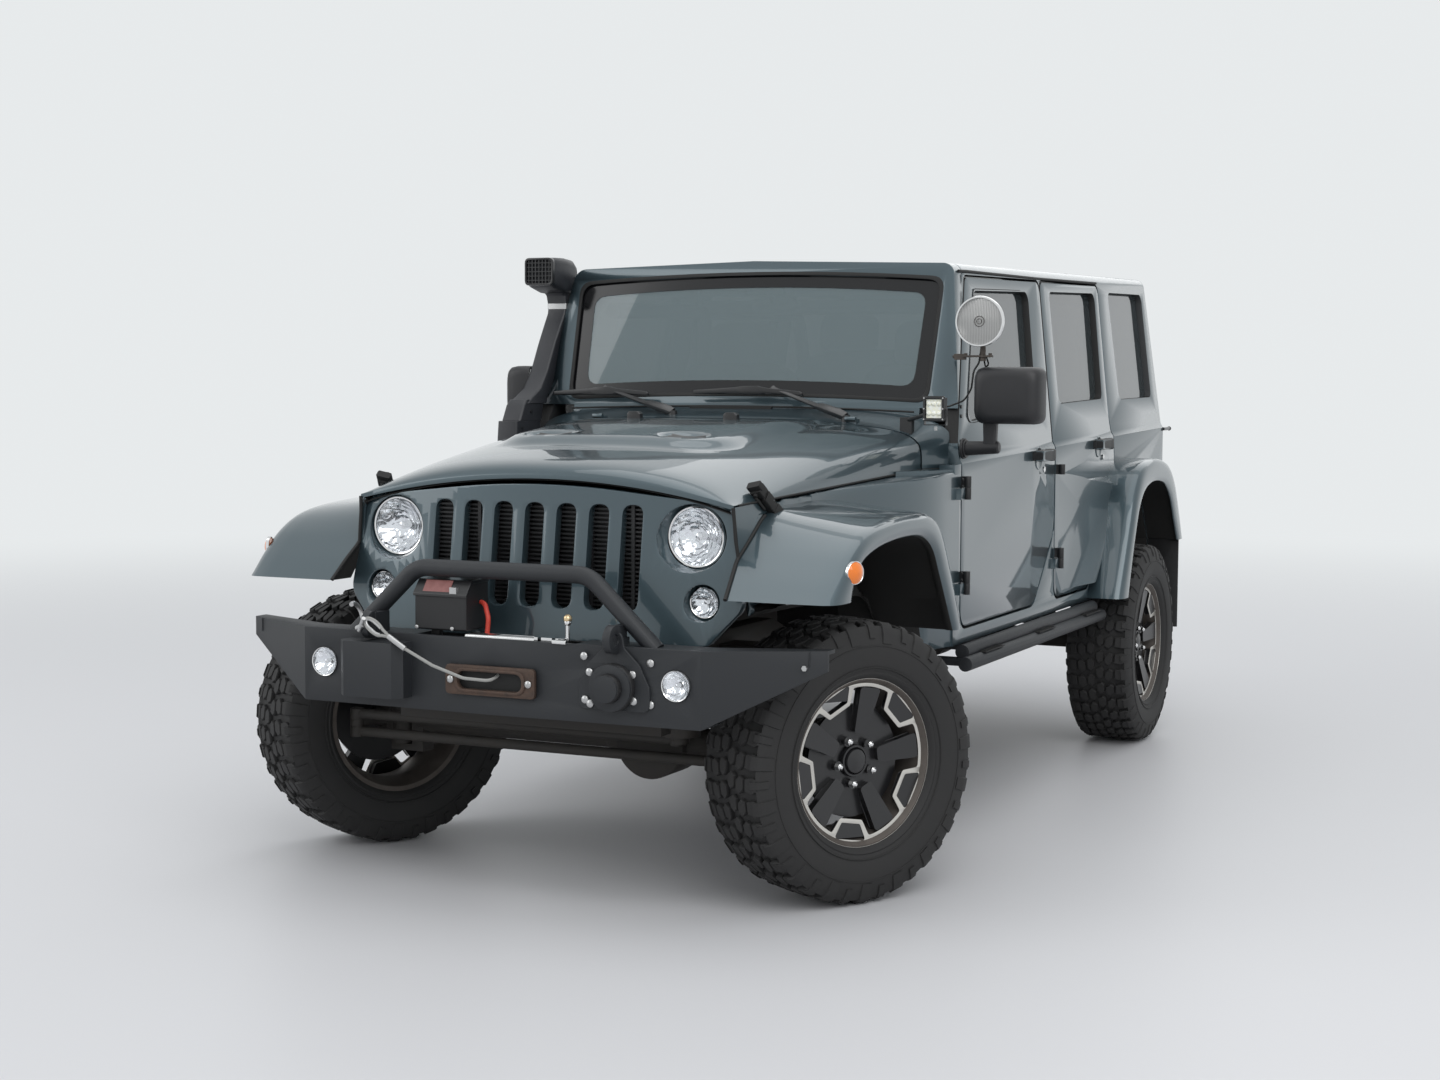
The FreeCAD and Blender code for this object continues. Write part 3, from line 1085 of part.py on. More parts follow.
hinge_seats = []
for y, z in ((d.hinge_front_y, d.hinge_low_z), (d.hinge_front_y, d.hinge_high_z),
             (d.hinge_rear_y, d.hinge_low_z)):
    hinge_seats += both(hinge(y, z, False))
for x in (d.wiper_pivot_x, -d.wiper_pivot_x / 2):
    hinge_seats.append(rod("z", x, d.cowl_rear - 3 * d.overrun, d.bonnet_mid_z, d.wiper_radius * 2,
                           d.bonnet_rear_z - d.bonnet_mid_z))


def bonnet_hinge(start, way):
    """Half of a bonnet hinge: way is 1 on the cowl and -1 on the bonnet."""
    reach = d.bonnet_leaf
    y = d.bonnet_hinge_y
    barrel = rod("x", start, y, d.bonnet_hinge_z, d.bonnet_barrel, reach)
    low = d.bonnet_shoulder_rear_z - d.cowl_drop
    if way > 0:
        leaf = box(start, start + reach, y + d.fender_gap, y + d.bonnet_leaf, low, d.bonnet_hinge_z)
        neck = box(start, start + reach, y, y + d.fender_gap * 2, d.bonnet_hinge_z
                   - d.bonnet_barrel / 2, d.bonnet_hinge_z + d.bonnet_barrel / 2)
    else:
        leaf = box(start, start + reach, y - d.bonnet_leaf, y - d.fender_gap, low, d.bonnet_hinge_z)
        neck = box(start, start + reach, y - d.fender_gap * 2, y, d.bonnet_hinge_z
                   - d.bonnet_barrel / 2, d.bonnet_hinge_z + d.bonnet_barrel / 2)
    return fuse(barrel, leaf, neck)


hinge_seats += both(bonnet_hinge(d.bonnet_hinge_x + d.seat_gap, 1))
node("body_tub", fuse(tub, *hinge_seats))

# Windscreen frame, its glass, the hard top and the rear glass


def screen_y(z):
    """The front face of the windscreen at a height."""
    share = (z - d.screen_low_z) / (d.screen_top_z - d.screen_low_z)
    return d.screen_low_y + share * (d.screen_top_y - d.screen_low_y)


def screen_slab(start, depth, low, high, half):
    """A leaning slab behind the windscreen's face."""
    return prism("x", -half, half, [
        (screen_y(low) + start, low), (screen_y(low) + start + depth, low),
        (screen_y(high) + start + depth, high), (screen_y(high) + start, high)])


def screen_outline(shrink):
    return [
        (d.screen_low_x - shrink, d.screen_low_z + shrink, d.screen_radius),
        (d.screen_top_x - shrink, d.screen_glass_top_z - shrink, d.screen_radius),
        (0 * shrink, d.screen_glass_top_z + d.screen_crown - shrink, d.screen_crown_radius),
        (-d.screen_top_x + shrink, d.screen_glass_top_z - shrink, d.screen_radius),
        (-d.screen_low_x + shrink, d.screen_low_z + shrink, d.screen_radius),
        (0 * shrink, d.screen_low_z + d.screen_low_crown + shrink, d.screen_crown_radius)]


high_z = d.roof_rear_z + 2 * d.overrun
screen_hole = prism("y", d.firewall_y, d.quarter_low_front, screen_outline(0 * d.slip))
whole = cabin(0 * d.wall, d.shell_front, d.shell_rear)
under_cowl = box(-d.skin_x, d.skin_x, d.shell_front - d.overrun, d.cowl_rear + d.slip,
                 d.sill_z, d.bonnet_rear_z + d.overrun)
frame_slab = screen_slab(0 * d.slip, d.screen_depth, d.belt_front + d.slip, high_z,
                         d.skin_x + d.overrun)
door_inside = []
for hole in openings.values():
    door_inside += both(hole)
frame = cut(common(whole, frame_slab), screen_hole, under_cowl, *door_inside)
node("windscreen_frame", frame)
glass_slab = screen_slab(d.glass_depth / 2, d.glass_thick, d.belt_front, high_z, d.skin_x)
node("windscreen_glass", common(glass_slab, prism("y", d.firewall_y, d.quarter_low_front,
                                                  screen_outline(d.glass_slip))))

top_rear = d.shell_rear + d.overrun
top_foot = screen_y(d.belt_front) + d.screen_depth + 2 * d.slip
top_cut = prism("x", -cabin_left, cabin_left, [
    (top_foot, belt_at(top_foot)), (screen_y(high_z) + d.screen_depth + 2 * d.slip, high_z),
    (top_rear, high_z), (top_rear, belt_at(top_rear))])
rear_glass_outline = [
    (d.rear_window_half, d.rear_glass_low, d.rear_glass_radius),
    (d.rear_window_half - d.overrun, d.rear_glass_top, d.rear_glass_radius),
    (-d.rear_window_half + d.overrun, d.rear_glass_top, d.rear_glass_radius),
    (-d.rear_window_half, d.rear_glass_low, d.rear_glass_radius)]
rear_hole = prism("y", d.shell_rear - d.wall - d.overrun, d.shell_rear + d.overrun,
                  rear_glass_outline)
hatch_low = box(-d.gate_half - d.door_gap, d.gate_half + d.door_gap,
                d.shell_rear - d.wall - d.overrun, d.shell_rear + d.overrun, d.sill_z,
                d.gate_top + d.door_gap * 2)
hard_top = cut(common(hollow, top_cut), *door_inside, *both(window_holes["quarter"]), rear_hole,
               hatch_low)
node("hard_top", hard_top)
quarter_pane = common(pane, prism("x", WINDOWS["quarter"][1], cabin_left,
                                  window_outline("quarter", d.glass_slip)))
rear_pane = prism("y", d.shell_rear - d.glass_depth - d.glass_thick, d.shell_rear - d.glass_depth,
                  [(x - math.copysign(d.glass_slip, float(x)), z, r)
                   for x, z, r in rear_glass_outline])
node("hard_top_glass", *both(quarter_pane), rear_pane)

# Bonnet, fenders, flares and grille


def grille_outline(grow):
    """The grille's edge from the front, (x, z), pushed out by grow."""
    half = [
        (d.grille_low_x + grow, d.grille_low_z - grow, d.grille_corner / 2),
        (d.grille_hip_x + grow, d.grille_hip_z, d.grille_corner),
        (d.grille_top_x + grow, d.grille_top_z + grow, d.grille_corner)]
    crown = [(0 * grow, d.grille_crown_z + grow, d.grille_crown_radius)]
    return half + crown + [(-point[0],) + tuple(point[1:]) for point in reversed(half)]


nose_clear = prism("y", d.bumper_face, d.bonnet_brow_y, grille_outline(d.fender_gap))
bonnet_shell = cut(bonnet_form(0 * d.wall), bonnet_form(d.bonnet_skin, -d.bonnet_skin,
                                                        d.overrun), nose_clear)
latch = []
for z, tall in ((d.bonnet_side_front_z, d.hinge_height),):
    x = bonnet_edge_x(d.front_flare_top_front)
    latch += both(box(x, x + d.handle_depth / 2, d.front_flare_top_front - d.handle_height / 2,
                      d.front_flare_top_front + d.handle_height / 2, z + d.fender_gap,
                      z + tall * 2 / 3))
leaves = both(bonnet_hinge(d.bonnet_hinge_x - d.bonnet_leaf, -1))
node("bonnet", fuse(bonnet_shell, *latch, *leaves))

fender_plan = [
    (bonnet_edge_x(d.bonnet_nose_y) - d.fender_wall, d.bonnet_nose_y),
    (bonnet_edge_x(d.bonnet_nose_y), d.bonnet_nose_y),
    (bonnet_edge_x(d.fender_rear), d.fender_rear - d.slip),
    (bonnet_edge_x(d.fender_rear) - d.fender_wall, d.fender_rear - d.slip)]
fender_side = [
    (d.bonnet_nose_y, d.fender_low), (d.fender_rear, d.fender_low),
    (d.fender_rear, bonnet_edge_z(d.fender_rear) - d.fender_gap),
    (d.bonnet_nose_y, bonnet_edge_z(d.bonnet_nose_y) - d.fender_gap)]
grille_rear = prism("y", d.bumper_face, d.bonnet_nose_y + d.grille_depth * 2,
                    grille_outline(d.slip))
fender = cut(common(prism("z", d.sill_z, d.belt_rear, fender_plan),
                    prism("x", d.grille_low_x, d.skin_x, fender_side)), grille_rear)
liner = box(inner_x + d.rail_width / 2, bonnet_edge_x(d.bonnet_mid_y) - d.fender_wall,
            d.front_arch_front, d.fender_rear - d.slip, d.fender_low + d.fender_wall,
            d.fender_low + 2 * d.fender_wall)
fender = fuse(fender, cut(liner, nose_clear))


def flare(top, arch, inner_x_at, rise):
    """A wheel-arch flare: top and arch are outlines of (y, z, radius) over the wheel."""
    arch_back = list(reversed(arch))
    full = top + arch_back
    raised = [(y, z + (rise if i in (1, 2) else 0), r) for i, (y, z, r) in enumerate(top)]
    lip = d.flare_edge
    middle_y = (top[1][0] + top[2][0]) / 2
    drawn = [(y + (lip if y < middle_y else -lip) * (0.5 if i in (1, 2) else 1),
              z - (lip if i in (1, 2) else 0), r) for i, (y, z, r) in enumerate(top)]
    return loft([("x", inner_x_at, raised + arch_back), ("x", d.flare_outer - lip, full),
                 ("x", d.flare_outer, drawn + arch_back)])


front_top = [
    (d.front_flare_nose, d.front_flare_nose_z, 0),
    (d.front_flare_top_front, d.front_flare_top_z, d.flare_radius),
    (d.front_flare_top_rear, d.front_flare_top_z - d.overrun / 2, d.flare_radius),
    (d.front_flare_heel, d.front_flare_heel_z, 0)]
front_under = [
    (d.front_arch_front, d.front_flare_nose_z, 0), (d.front_arch_nose, d.front_arch_z, d.arch_radius),
    (d.front_arch_rear, d.front_arch_z, d.arch_radius), (d.front_arch_heel, d.front_flare_heel_z, 0)]
rear_top = [
    (d.rear_flare_front, d.rear_flare_low, 0),
    (d.rear_flare_top_front, d.rear_flare_top_z, d.flare_radius),
    (d.rear_flare_top_rear, d.rear_flare_top_rear_z, d.flare_radius * 2),
    (d.rear_flare_tail, d.rear_flare_tail_z, 0)]
rear_under = [
    (d.rear_arch_front, d.rear_flare_low, 0),
    (d.rear_arch_top_front, d.rear_arch_z, d.arch_radius),
    (d.rear_arch_top_rear, d.rear_arch_z, d.arch_radius * 2),
    (d.rear_arch_tail, d.rear_flare_tail_z, 0)]
wall_side = prism("z", d.sill_z, d.belt_rear, [
    (0 * d.slip, 2 * d.front_flare_nose), (bonnet_edge_x(2 * d.front_flare_nose) + d.slip,
                                           2 * d.front_flare_nose),
    (bonnet_edge_x(d.fender_rear) + d.slip, d.fender_rear),
    (d.skin_x - 2 * d.overrun + d.slip, d.fender_rear + 2 * d.wall), (0 * d.slip, d.shell_front)])
front_flare = cut(flare(front_top, front_under, d.flare_inner, d.flare_inner_rise), wall_side,
                  grille_rear)
rear_flare = cut(flare(rear_top, rear_under, d.rear_flare_inner, d.overrun),
                 prism("x", d.rear_flare_inner - d.overrun, d.flare_outer + d.overrun,
                       rear_door_outline(d.door_gap)),
                 box(0, d.skin_x + d.slip, d.rear_door_front, d.shell_rear, d.floor_z / 2, d.belt_rear))
marker = rod("x", d.flare_outer + d.slip, d.front_arch_front + d.arch_inset, d.marker_z,
             d.marker_radius, d.marker_rise)
node("fenders", *both(fender), *both(front_flare), *both(rear_flare))
node("side_markers", *both(marker))


def tilt(item):
    """Leans a piece back at the top about the grille's reference line."""
    place = FreeCAD.Placement(
        Vec(0, d.grille_face_y, d.grille_face_z),
        FreeCAD.Rotation(Vec(1, 0, 0), -SIZES["grille_lean"])).multiply(
            FreeCAD.Placement(Vec(0, -d.grille_face_y, -d.grille_face_z), FreeCAD.Rotation()))
    return feature("Leaning", item_shape(item, place))


def item_shape(item, place):
    doc.recompute()
    shape = item.Shape.copy()
    shape.Placement = place.multiply(shape.Placement)
    return shape


def grille_slab(front, rear):
    """A slab bowed in plan, between two distances behind the grille's face."""
    centre_y = d.grille_face_y + d.grille_curve
    low = d.grille_low_z - d.grille_corner * 3
    tall = d.grille_crown_z - d.grille_low_z + d.grille_corner * 6
    return cut(rod("z", 0, centre_y, low, d.grille_curve - front, tall),
               rod("z", 0, centre_y, low - d.overrun, d.grille_curve - rear,
                   tall + 2 * d.overrun))


def slots(grow):
    pieces = []
    for i in range(int(SIZES["slot_count"])):
        x = (i - (SIZES["slot_count"] - 1) / 2) * d.slot_pitch
        half = d.slot_width / 2 + grow
        pieces.append(prism("y", d.bumper_face, d.bonnet_brow_y, [
            (x - half, d.slot_low - grow, d.slot_radius), (x + half, d.slot_low - grow, d.slot_radius),
            (x + half, d.slot_top + grow, d.slot_radius), (x - half, d.slot_top + grow, d.slot_radius)]))
    return pieces


front_half = box(-d.skin_x, d.skin_x, d.bumper_face, d.front_arch_rear, d.sill_z, d.belt_rear)
slab = tilt(common(grille_slab(0 * d.slip, d.grille_depth), front_half))
lamp_holes = []
for x, z, radius in ((d.headlamp_x, d.headlamp_z, d.headlamp_radius),
                     (d.park_x, d.park_z, d.park_radius)):
    lamp_holes += both(rod("y", x, d.bumper_face, z, radius + d.slip,
                           d.bonnet_brow_y - d.bumper_face))
grille_plate = common(slab, prism("y", d.bumper_face, d.bonnet_brow_y, grille_outline(0 * d.slip)))
node("grille", cut(grille_plate, *slots(0 * d.slip), *lamp_holes))


def face_y(x, z):
    """The grille's face at a place across the front."""
    lean = math.tan(math.radians(SIZES["grille_lean"]))
    return d.grille_face_y + (z - d.grille_face_z) * lean + x * x / (2 * float(d.grille_curve))


def lamp(x, face, z, radius, depth):
    """A round lamp with a domed front."""
    bow = (radius * radius - d.lens_rise * d.lens_rise) / (2 * d.lens_rise)
    dome = ball(x, face + bow, z, bow + d.lens_rise)
    return common(dome, rod("y", x, face - 2 * d.lens_rise, z, radius, depth + 2 * d.lens_rise))


lamps = []
for x, z, radius, depth in ((d.headlamp_x, d.headlamp_z, d.headlamp_radius, d.headlamp_depth),
                            (d.park_x, d.park_z, d.park_radius, d.park_depth)):
    lamps += both(lamp(x, face_y(x, z), z, radius, depth))
radiator = box(-d.radiator_half, d.radiator_half,
               d.bonnet_nose_y + d.grille_depth, d.bonnet_nose_y + d.grille_depth + d.radiator_thick,
               d.radiator_low, d.radiator_high - d.overrun)
stay = box(-inner_x + d.slip, inner_x - d.slip, d.bonnet_nose_y + d.grille_depth,
           d.bonnet_nose_y + d.grille_depth + d.radiator_thick, d.rail_low + d.rail_kick
           + d.rail_height - d.horn_drop, d.radiator_low)
node("radiator", fuse(radiator, stay))

# Tailgate with the spare wheel's carrier


def gate_hinge(z, gate_side):
    low = z if gate_side else z - d.hinge_height / 2
    barrel = rod("z", d.gate_hinge_x, d.gate_hinge_y, low + (d.seat_gap if gate_side else 0),
                 d.hinge_radius, d.hinge_height / 2 - d.seat_gap)
    reach = d.hinge_leaf + d.gate_leaf if gate_side else -d.gate_leaf
    ends = (d.gate_hinge_x, d.gate_hinge_x + reach)
    first, last = ends if gate_side else (ends[1], ends[0])
    leaf = box(first, last, d.shell_rear, d.gate_hinge_y - d.hinge_radius / 2,
               low + d.seat_gap, low + d.hinge_height / 2 - d.seat_gap)
    return fuse(barrel, leaf)


gate = prism("y", d.shell_rear - d.gate_thick, d.shell_rear, [
    (d.gate_half, d.gate_low, d.gate_radius), (d.gate_half, d.gate_top, d.gate_radius),
    (-d.gate_half, d.gate_top, d.gate_radius), (-d.gate_half, d.gate_low, d.gate_radius)])
gate_leaves = [gate_hinge(z, True) for z in (d.gate_hinge_low, d.gate_hinge_high)]
carrier = box(-d.carrier_width, d.carrier_width, d.shell_rear - d.seat_gap,
              d.shell_rear + d.carrier_thick, d.spare_z - d.carrier_width,
              d.gate_top - d.door_gap)
stud = rod("y", 0, d.shell_rear, d.spare_z, d.hub_radius,
           d.spare_y + d.hub_face - d.slip - d.shell_rear)
gate_grip = box(d.gate_half - d.handle_length, d.gate_half - d.handle_height,
                d.shell_rear - d.seat_gap, d.shell_rear + d.handle_height, d.gate_hinge_high
                - d.handle_height, d.gate_hinge_high)
node("tailgate", fuse(gate, *gate_leaves, carrier, stud, gate_grip))
tail_lamp = prism("y", d.shell_rear + d.slip, d.shell_rear + d.tail_lamp_depth, [
    (d.tail_lamp_inner, d.tail_lamp_low, d.tail_lamp_radius),
    (d.tail_lamp_outer, d.tail_lamp_low, d.tail_lamp_radius),
    (d.tail_lamp_outer, d.tail_lamp_high, d.tail_lamp_radius),
    (d.tail_lamp_inner, d.tail_lamp_high, d.tail_lamp_radius)])
node("tail_lamps", *both(tail_lamp))

# Front bumper with its hoop, tabs, socket and winch


def bumper_form(inset, low, high, rear_reach):
    """The bumper's plan pulled up, drawn back from its face by inset."""
    half = [(d.bumper_bend_x, d.bumper_bend_y + inset), (d.bumper_tip_x, d.bumper_tip_y + inset)]
    rear = [(d.bumper_tip_x, d.bumper_tip_y + d.bumper_depth / 2 + rear_reach),
            (d.bumper_bend_x, d.bumper_bend_y + d.bumper_depth + rear_reach)]
    left = half + rear
    right = [(-x, y) for x, y in reversed(left)]
    return prism("z", low, high, [(0 * inset, d.bumper_face + inset)] + left + right)


wing_cut = prism("y", 2 * d.bumper_face, d.bonnet_nose_y, [
    (d.bumper_bend_x, d.bumper_low - d.overrun), (d.bumper_tip_x + d.overrun,
                                                 d.bumper_low - d.overrun),
    (d.bumper_tip_x + d.overrun, d.bumper_tip_low), (d.bumper_tip_x, d.bumper_tip_low),
    (d.bumper_bend_x, d.bumper_low)])
hollow_beam = bumper_form(d.bumper_wall, d.bumper_low + d.bumper_wall,
                          d.bumper_top - d.bumper_wall, d.overrun)
tray_hole = box(-d.tray_half, d.tray_half, d.bumper_face + 2 * d.bumper_wall,
                d.bonnet_nose_y, d.tray_floor, d.bumper_top + d.overrun)
rope_mouth = box(-d.mouth_half, d.mouth_half, 2 * d.bumper_face, d.winch_y, d.mouth_low,
                 d.mouth_high)
shell = cut(bumper_form(0 * d.slip, d.bumper_low, d.bumper_top, 0 * d.slip), hollow_beam,
            tray_hole, rope_mouth, *both(wing_cut))
tray = box(-d.tray_half, d.tray_half, d.bumper_face + d.bumper_wall - d.slip,
           d.bumper_bend_y + d.bumper_depth - d.bumper_wall, d.tray_floor - d.bumper_wall,
           d.tray_floor)
tray_ends = both(box(d.tray_half - d.slip, d.tray_half + d.bumper_wall,
                     d.bumper_face + d.bumper_wall - d.slip,
                     d.bumper_bend_y + d.bumper_depth - d.bumper_wall,
                     d.bumper_low + d.bumper_wall - d.slip, d.bumper_top - d.bumper_wall + d.slip))
horns = both(box(inner_x, d.rail_outer, d.bumper_face + d.bumper_wall - d.slip,
                 d.rail_front - d.slip, d.bumper_low + d.bumper_wall - d.slip,
                 d.bumper_top - d.bumper_wall + d.slip))
hoop_low = d.bumper_top - d.bumper_wall
hoop = pipe([(d.hoop_foot_x, d.hoop_y, hoop_low), (d.hoop_top_x, d.hoop_y, d.hoop_top_z),
             (-d.hoop_top_x, d.hoop_y, d.hoop_top_z), (-d.hoop_foot_x, d.hoop_y, hoop_low)],
            d.hoop_radius, d.hoop_bend)
hoop_keep = box(-d.tip_span, d.tip_span, 2 * d.bumper_face, 0 * d.slip, hoop_low,
                d.hoop_top_z + d.hoop_bend)
tabs = []
for side in (1, -1):
    start = side * d.tab_x - d.tab_thick / 2
    eye_y = d.bumper_face - d.tab_reach / 2
    plate = fuse(rod("x", start, eye_y, d.tab_z, d.tab_radius, d.tab_thick),
                 box(start, start + d.tab_thick, eye_y, d.bumper_face + d.tab_root,
                     d.tab_z - d.tab_radius, d.tab_z))
    bore = rod("x", start - d.overrun, eye_y, d.tab_z, d.tab_bore, 2 * d.overrun + d.tab_thick)
    tabs.append(cut(plate, bore))
sockets = fuse(rod("y", d.socket_x, d.bumper_face - d.socket_reach, d.socket_z, d.socket_radius,
                   d.socket_reach + d.bumper_wall),
               rod("y", d.socket_x, d.bumper_face - d.socket_reach - d.socket_step, d.socket_z,
                   d.socket_step_radius, d.socket_step + d.bumper_wall))
block = prism("z", d.block_low, d.block_high, [
    (d.block_right, d.bumper_face + d.bumper_wall),
    (d.block_right, d.bumper_face - d.block_reach + d.block_chamfer),
    (d.block_right + d.block_chamfer, d.bumper_face - d.block_reach),
    (d.block_left - d.block_chamfer, d.bumper_face - d.block_reach),
    (d.block_left, d.bumper_face - d.block_reach + d.block_chamfer),
    (d.block_left, d.bumper_face + d.bumper_wall)])
fog_holes = both(rod("y", d.fog_x, 2 * d.bumper_face, d.fog_z, d.fog_radius + d.slip,
                     d.tab_root - d.bumper_face))
node("front_bumper", cut(fuse(shell, tray, *tray_ends, *horns, common(hoop, hoop_keep), *tabs,
                              sockets, block), *fog_holes))
fogs = both(lamp(d.fog_x, d.bumper_face - d.slip, d.fog_z, d.fog_radius, d.fog_depth))
node("clear_lamps", *lamps, *fogs)

winch_low = d.tray_floor + d.slip
motors = both(rod("x", d.drum_half - d.slip, d.winch_y, d.winch_z, d.winch_radius,
                  d.winch_half - d.drum_half))
feet = both(box(d.drum_half, d.winch_half, d.winch_y - d.winch_radius / 2,
                d.winch_y + d.winch_radius / 2, winch_low, d.winch_z))
drum = rod("x", -d.drum_half, d.winch_y, d.winch_z, d.drum_radius, 2 * d.drum_half)
pack = box(d.pack_right, d.pack_left, d.pack_front, d.pack_rear, d.pack_low, d.pack_high)
pack_foot = box(d.pack_right + d.pack_foot / 2, d.pack_right + d.pack_foot,
                d.winch_y - d.bumper_wall, d.winch_y + d.bumper_wall, d.winch_z,
                d.pack_low + d.bumper_wall)
fairlead_face = box(-d.fairlead_half, d.fairlead_half, d.bumper_face - d.fairlead_thick,
                    d.bumper_face - d.slip, d.fairlead_low, d.fairlead_high)
slit = box(-d.mouth_half + d.overrun, d.mouth_half - d.overrun,
           d.bumper_face - 2 * d.fairlead_thick, d.bumper_face + d.fairlead_thick,
           d.mouth_low + d.bumper_wall, d.mouth_high - d.bumper_wall)
node("winch", fuse(*motors, *feet, drum, pack_foot, pack), cut(fairlead_face, slit))
rope_y = d.bumper_face - d.overrun
rope = pipe([(0 * d.slip, d.winch_y - d.drum_radius - d.rope_radius, d.winch_z - d.overrun),
             (0 * d.slip, rope_y, (d.mouth_low + d.mouth_high) / 2),
             (-d.mouth_half, rope_y - d.block_reach, d.block_high - d.block_reach),
             (-d.tab_x - d.tab_thick, rope_y - d.block_reach, d.tab_z),
             (-d.tab_x - d.tab_thick * 2, rope_y, d.tab_z + d.tab_radius)], d.rope_radius,
            d.overrun)
node("winch_rope", rope)

# Rear bumper, side steps and mud flaps

rear_plan = [
    (-d.rear_bumper_half, d.rear_bumper_front), (d.rear_bumper_half, d.rear_bumper_front),
    (d.rear_bumper_half, d.rear_bumper_front + d.rear_bumper_depth, d.rear_bumper_radius),
    (-d.rear_bumper_half, d.rear_bumper_front + d.rear_bumper_depth, d.rear_bumper_radius)]
rear_beam = prism("z", d.rear_bumper_low, d.rear_bumper_top, rear_plan)
rear_feet = both(box(inner_x, d.rail_outer, d.rail_rear + d.slip, d.rear_bumper_front + d.overrun,
                     beam_top, d.rear_bumper_top))
node("rear_bumper", fuse(rear_beam, *rear_feet))
low_tube = rod("y", d.step_x, d.step_front, d.step_low_z, d.step_radius,
               d.step_rear - d.step_front)
high_tube = rod("y", d.step_high_x, d.step_front + 2 * d.overrun, d.step_high_z, d.step_radius,
                d.step_high_rear - d.step_front - 2 * d.overrun)
arms = [box(d.rail_outer + d.slip, d.step_x, y, y + d.step_bracket,
            d.step_low_z - d.overrun / 2, d.step_high_z - d.overrun)
        for y in (d.shell_front + d.overrun, d.cross_gearbox_y, d.cross_mid_y)]
node("side_steps", *both(fuse(low_tube, high_tube, *arms)))
rear_flap = cut(box(d.flap_inner, d.flap_outer, d.flap_y, d.flap_y + d.flap_thick, d.flap_low,
                    d.rear_flare_tail_z - d.slip),
                box(0, d.skin_x + d.slip, d.flap_y - d.overrun, d.flap_y + d.overrun,
                    d.sill_z - d.slip, d.belt_rear))
node("mud_flaps", *both(rear_flap))

# Snorkel, mirrors and lamps on the body


def snorkel_ring(y, z, width, depth, radius):
    x = d.snorkel_x
    return ("z", z, [(x - width / 2, y - depth / 2, radius), (x + width / 2, y - depth / 2, radius),
                     (x + width / 2, y + depth / 2, radius), (x - width / 2, y + depth / 2, radius)])


tube_width = d.snorkel_width
tube_depth = d.snorkel_depth
round_edge = d.snorkel_radius
snorkel_stem = loft([
    snorkel_ring(d.snorkel_base_y + d.snorkel_foot / 2, d.bonnet_side_rear_z + d.slip,
                 tube_width, d.snorkel_foot, round_edge),
    snorkel_ring(d.snorkel_base_y + d.snorkel_foot / 2, d.snorkel_base_z, tube_width,
                 d.snorkel_foot, round_edge),
    snorkel_ring(d.snorkel_knee_y - d.snorkel_depth / 2, d.snorkel_knee_z, tube_width,
                 tube_depth * 1.2, round_edge),
    snorkel_ring(d.snorkel_neck_y, d.snorkel_neck_z, tube_width, tube_depth, round_edge),
    snorkel_ring(d.snorkel_neck_y, d.snorkel_top_z, tube_width, tube_depth, round_edge)])
head_x = d.snorkel_head_width / 2
head_front = d.snorkel_head_front
head_back = d.snorkel_head_front + d.snorkel_head_length
snorkel_head = prism("x", d.snorkel_x - head_x, d.snorkel_x + head_x, [
    (head_front, d.snorkel_head_low + d.overrun, round_edge),
    (d.snorkel_neck_y, d.snorkel_head_low - d.overrun, round_edge),
    (head_back, d.snorkel_head_low, round_edge), (head_back, d.snorkel_head_top, round_edge),
    (head_front, d.snorkel_head_top, round_edge)])
node("snorkel", fuse(snorkel_stem, snorkel_head))
mirror_y = d.mirror_rear - 2 * d.mirror_stem


def mirror_head():
    """A door mirror's case with the stem and arm that carry it."""
    front = d.mirror_front
    case = prism("x", d.mirror_inner, d.mirror_outer, [
        (front, d.mirror_low, d.mirror_radius), (d.mirror_rear, d.mirror_low, d.mirror_radius / 2),
        (d.mirror_rear, d.mirror_high, d.mirror_radius / 2),
        (front, d.mirror_high, d.mirror_radius)])
    stem = rod("z", d.mirror_arm_x, mirror_y, d.mirror_pivot_z, d.mirror_stem,
               d.mirror_low + d.overrun - d.mirror_pivot_z)
    arm = rod("x", d.skin_x + d.slip, mirror_y, d.mirror_pivot_z + d.mirror_stem / 2,
              d.mirror_stem - 2 * d.seat_gap, d.mirror_arm_x - d.skin_x)
    return fuse(case, stem, arm)


def mirror_base(length):
    return rod("x", d.skin_x + d.slip, mirror_y, d.mirror_pivot_z, d.mirror_base_radius, length)


node("mirror_left", fuse(mirror_head(), mirror_base(d.mirror_stem)))
folded = mirror_head()
fold_turn = FreeCAD.Rotation(Vec(0, 0, 1), SIZES["mirror_fold"])
fold_centre = Vec(d.skin_x + 2 * d.mirror_stem, mirror_y, d.mirror_pivot_z)
folded.Placement = FreeCAD.Placement(Vec(), fold_turn, fold_centre)
node("mirror_right", mirror(fuse(folded, mirror_base(2 * d.mirror_stem))))

# Cabin furniture


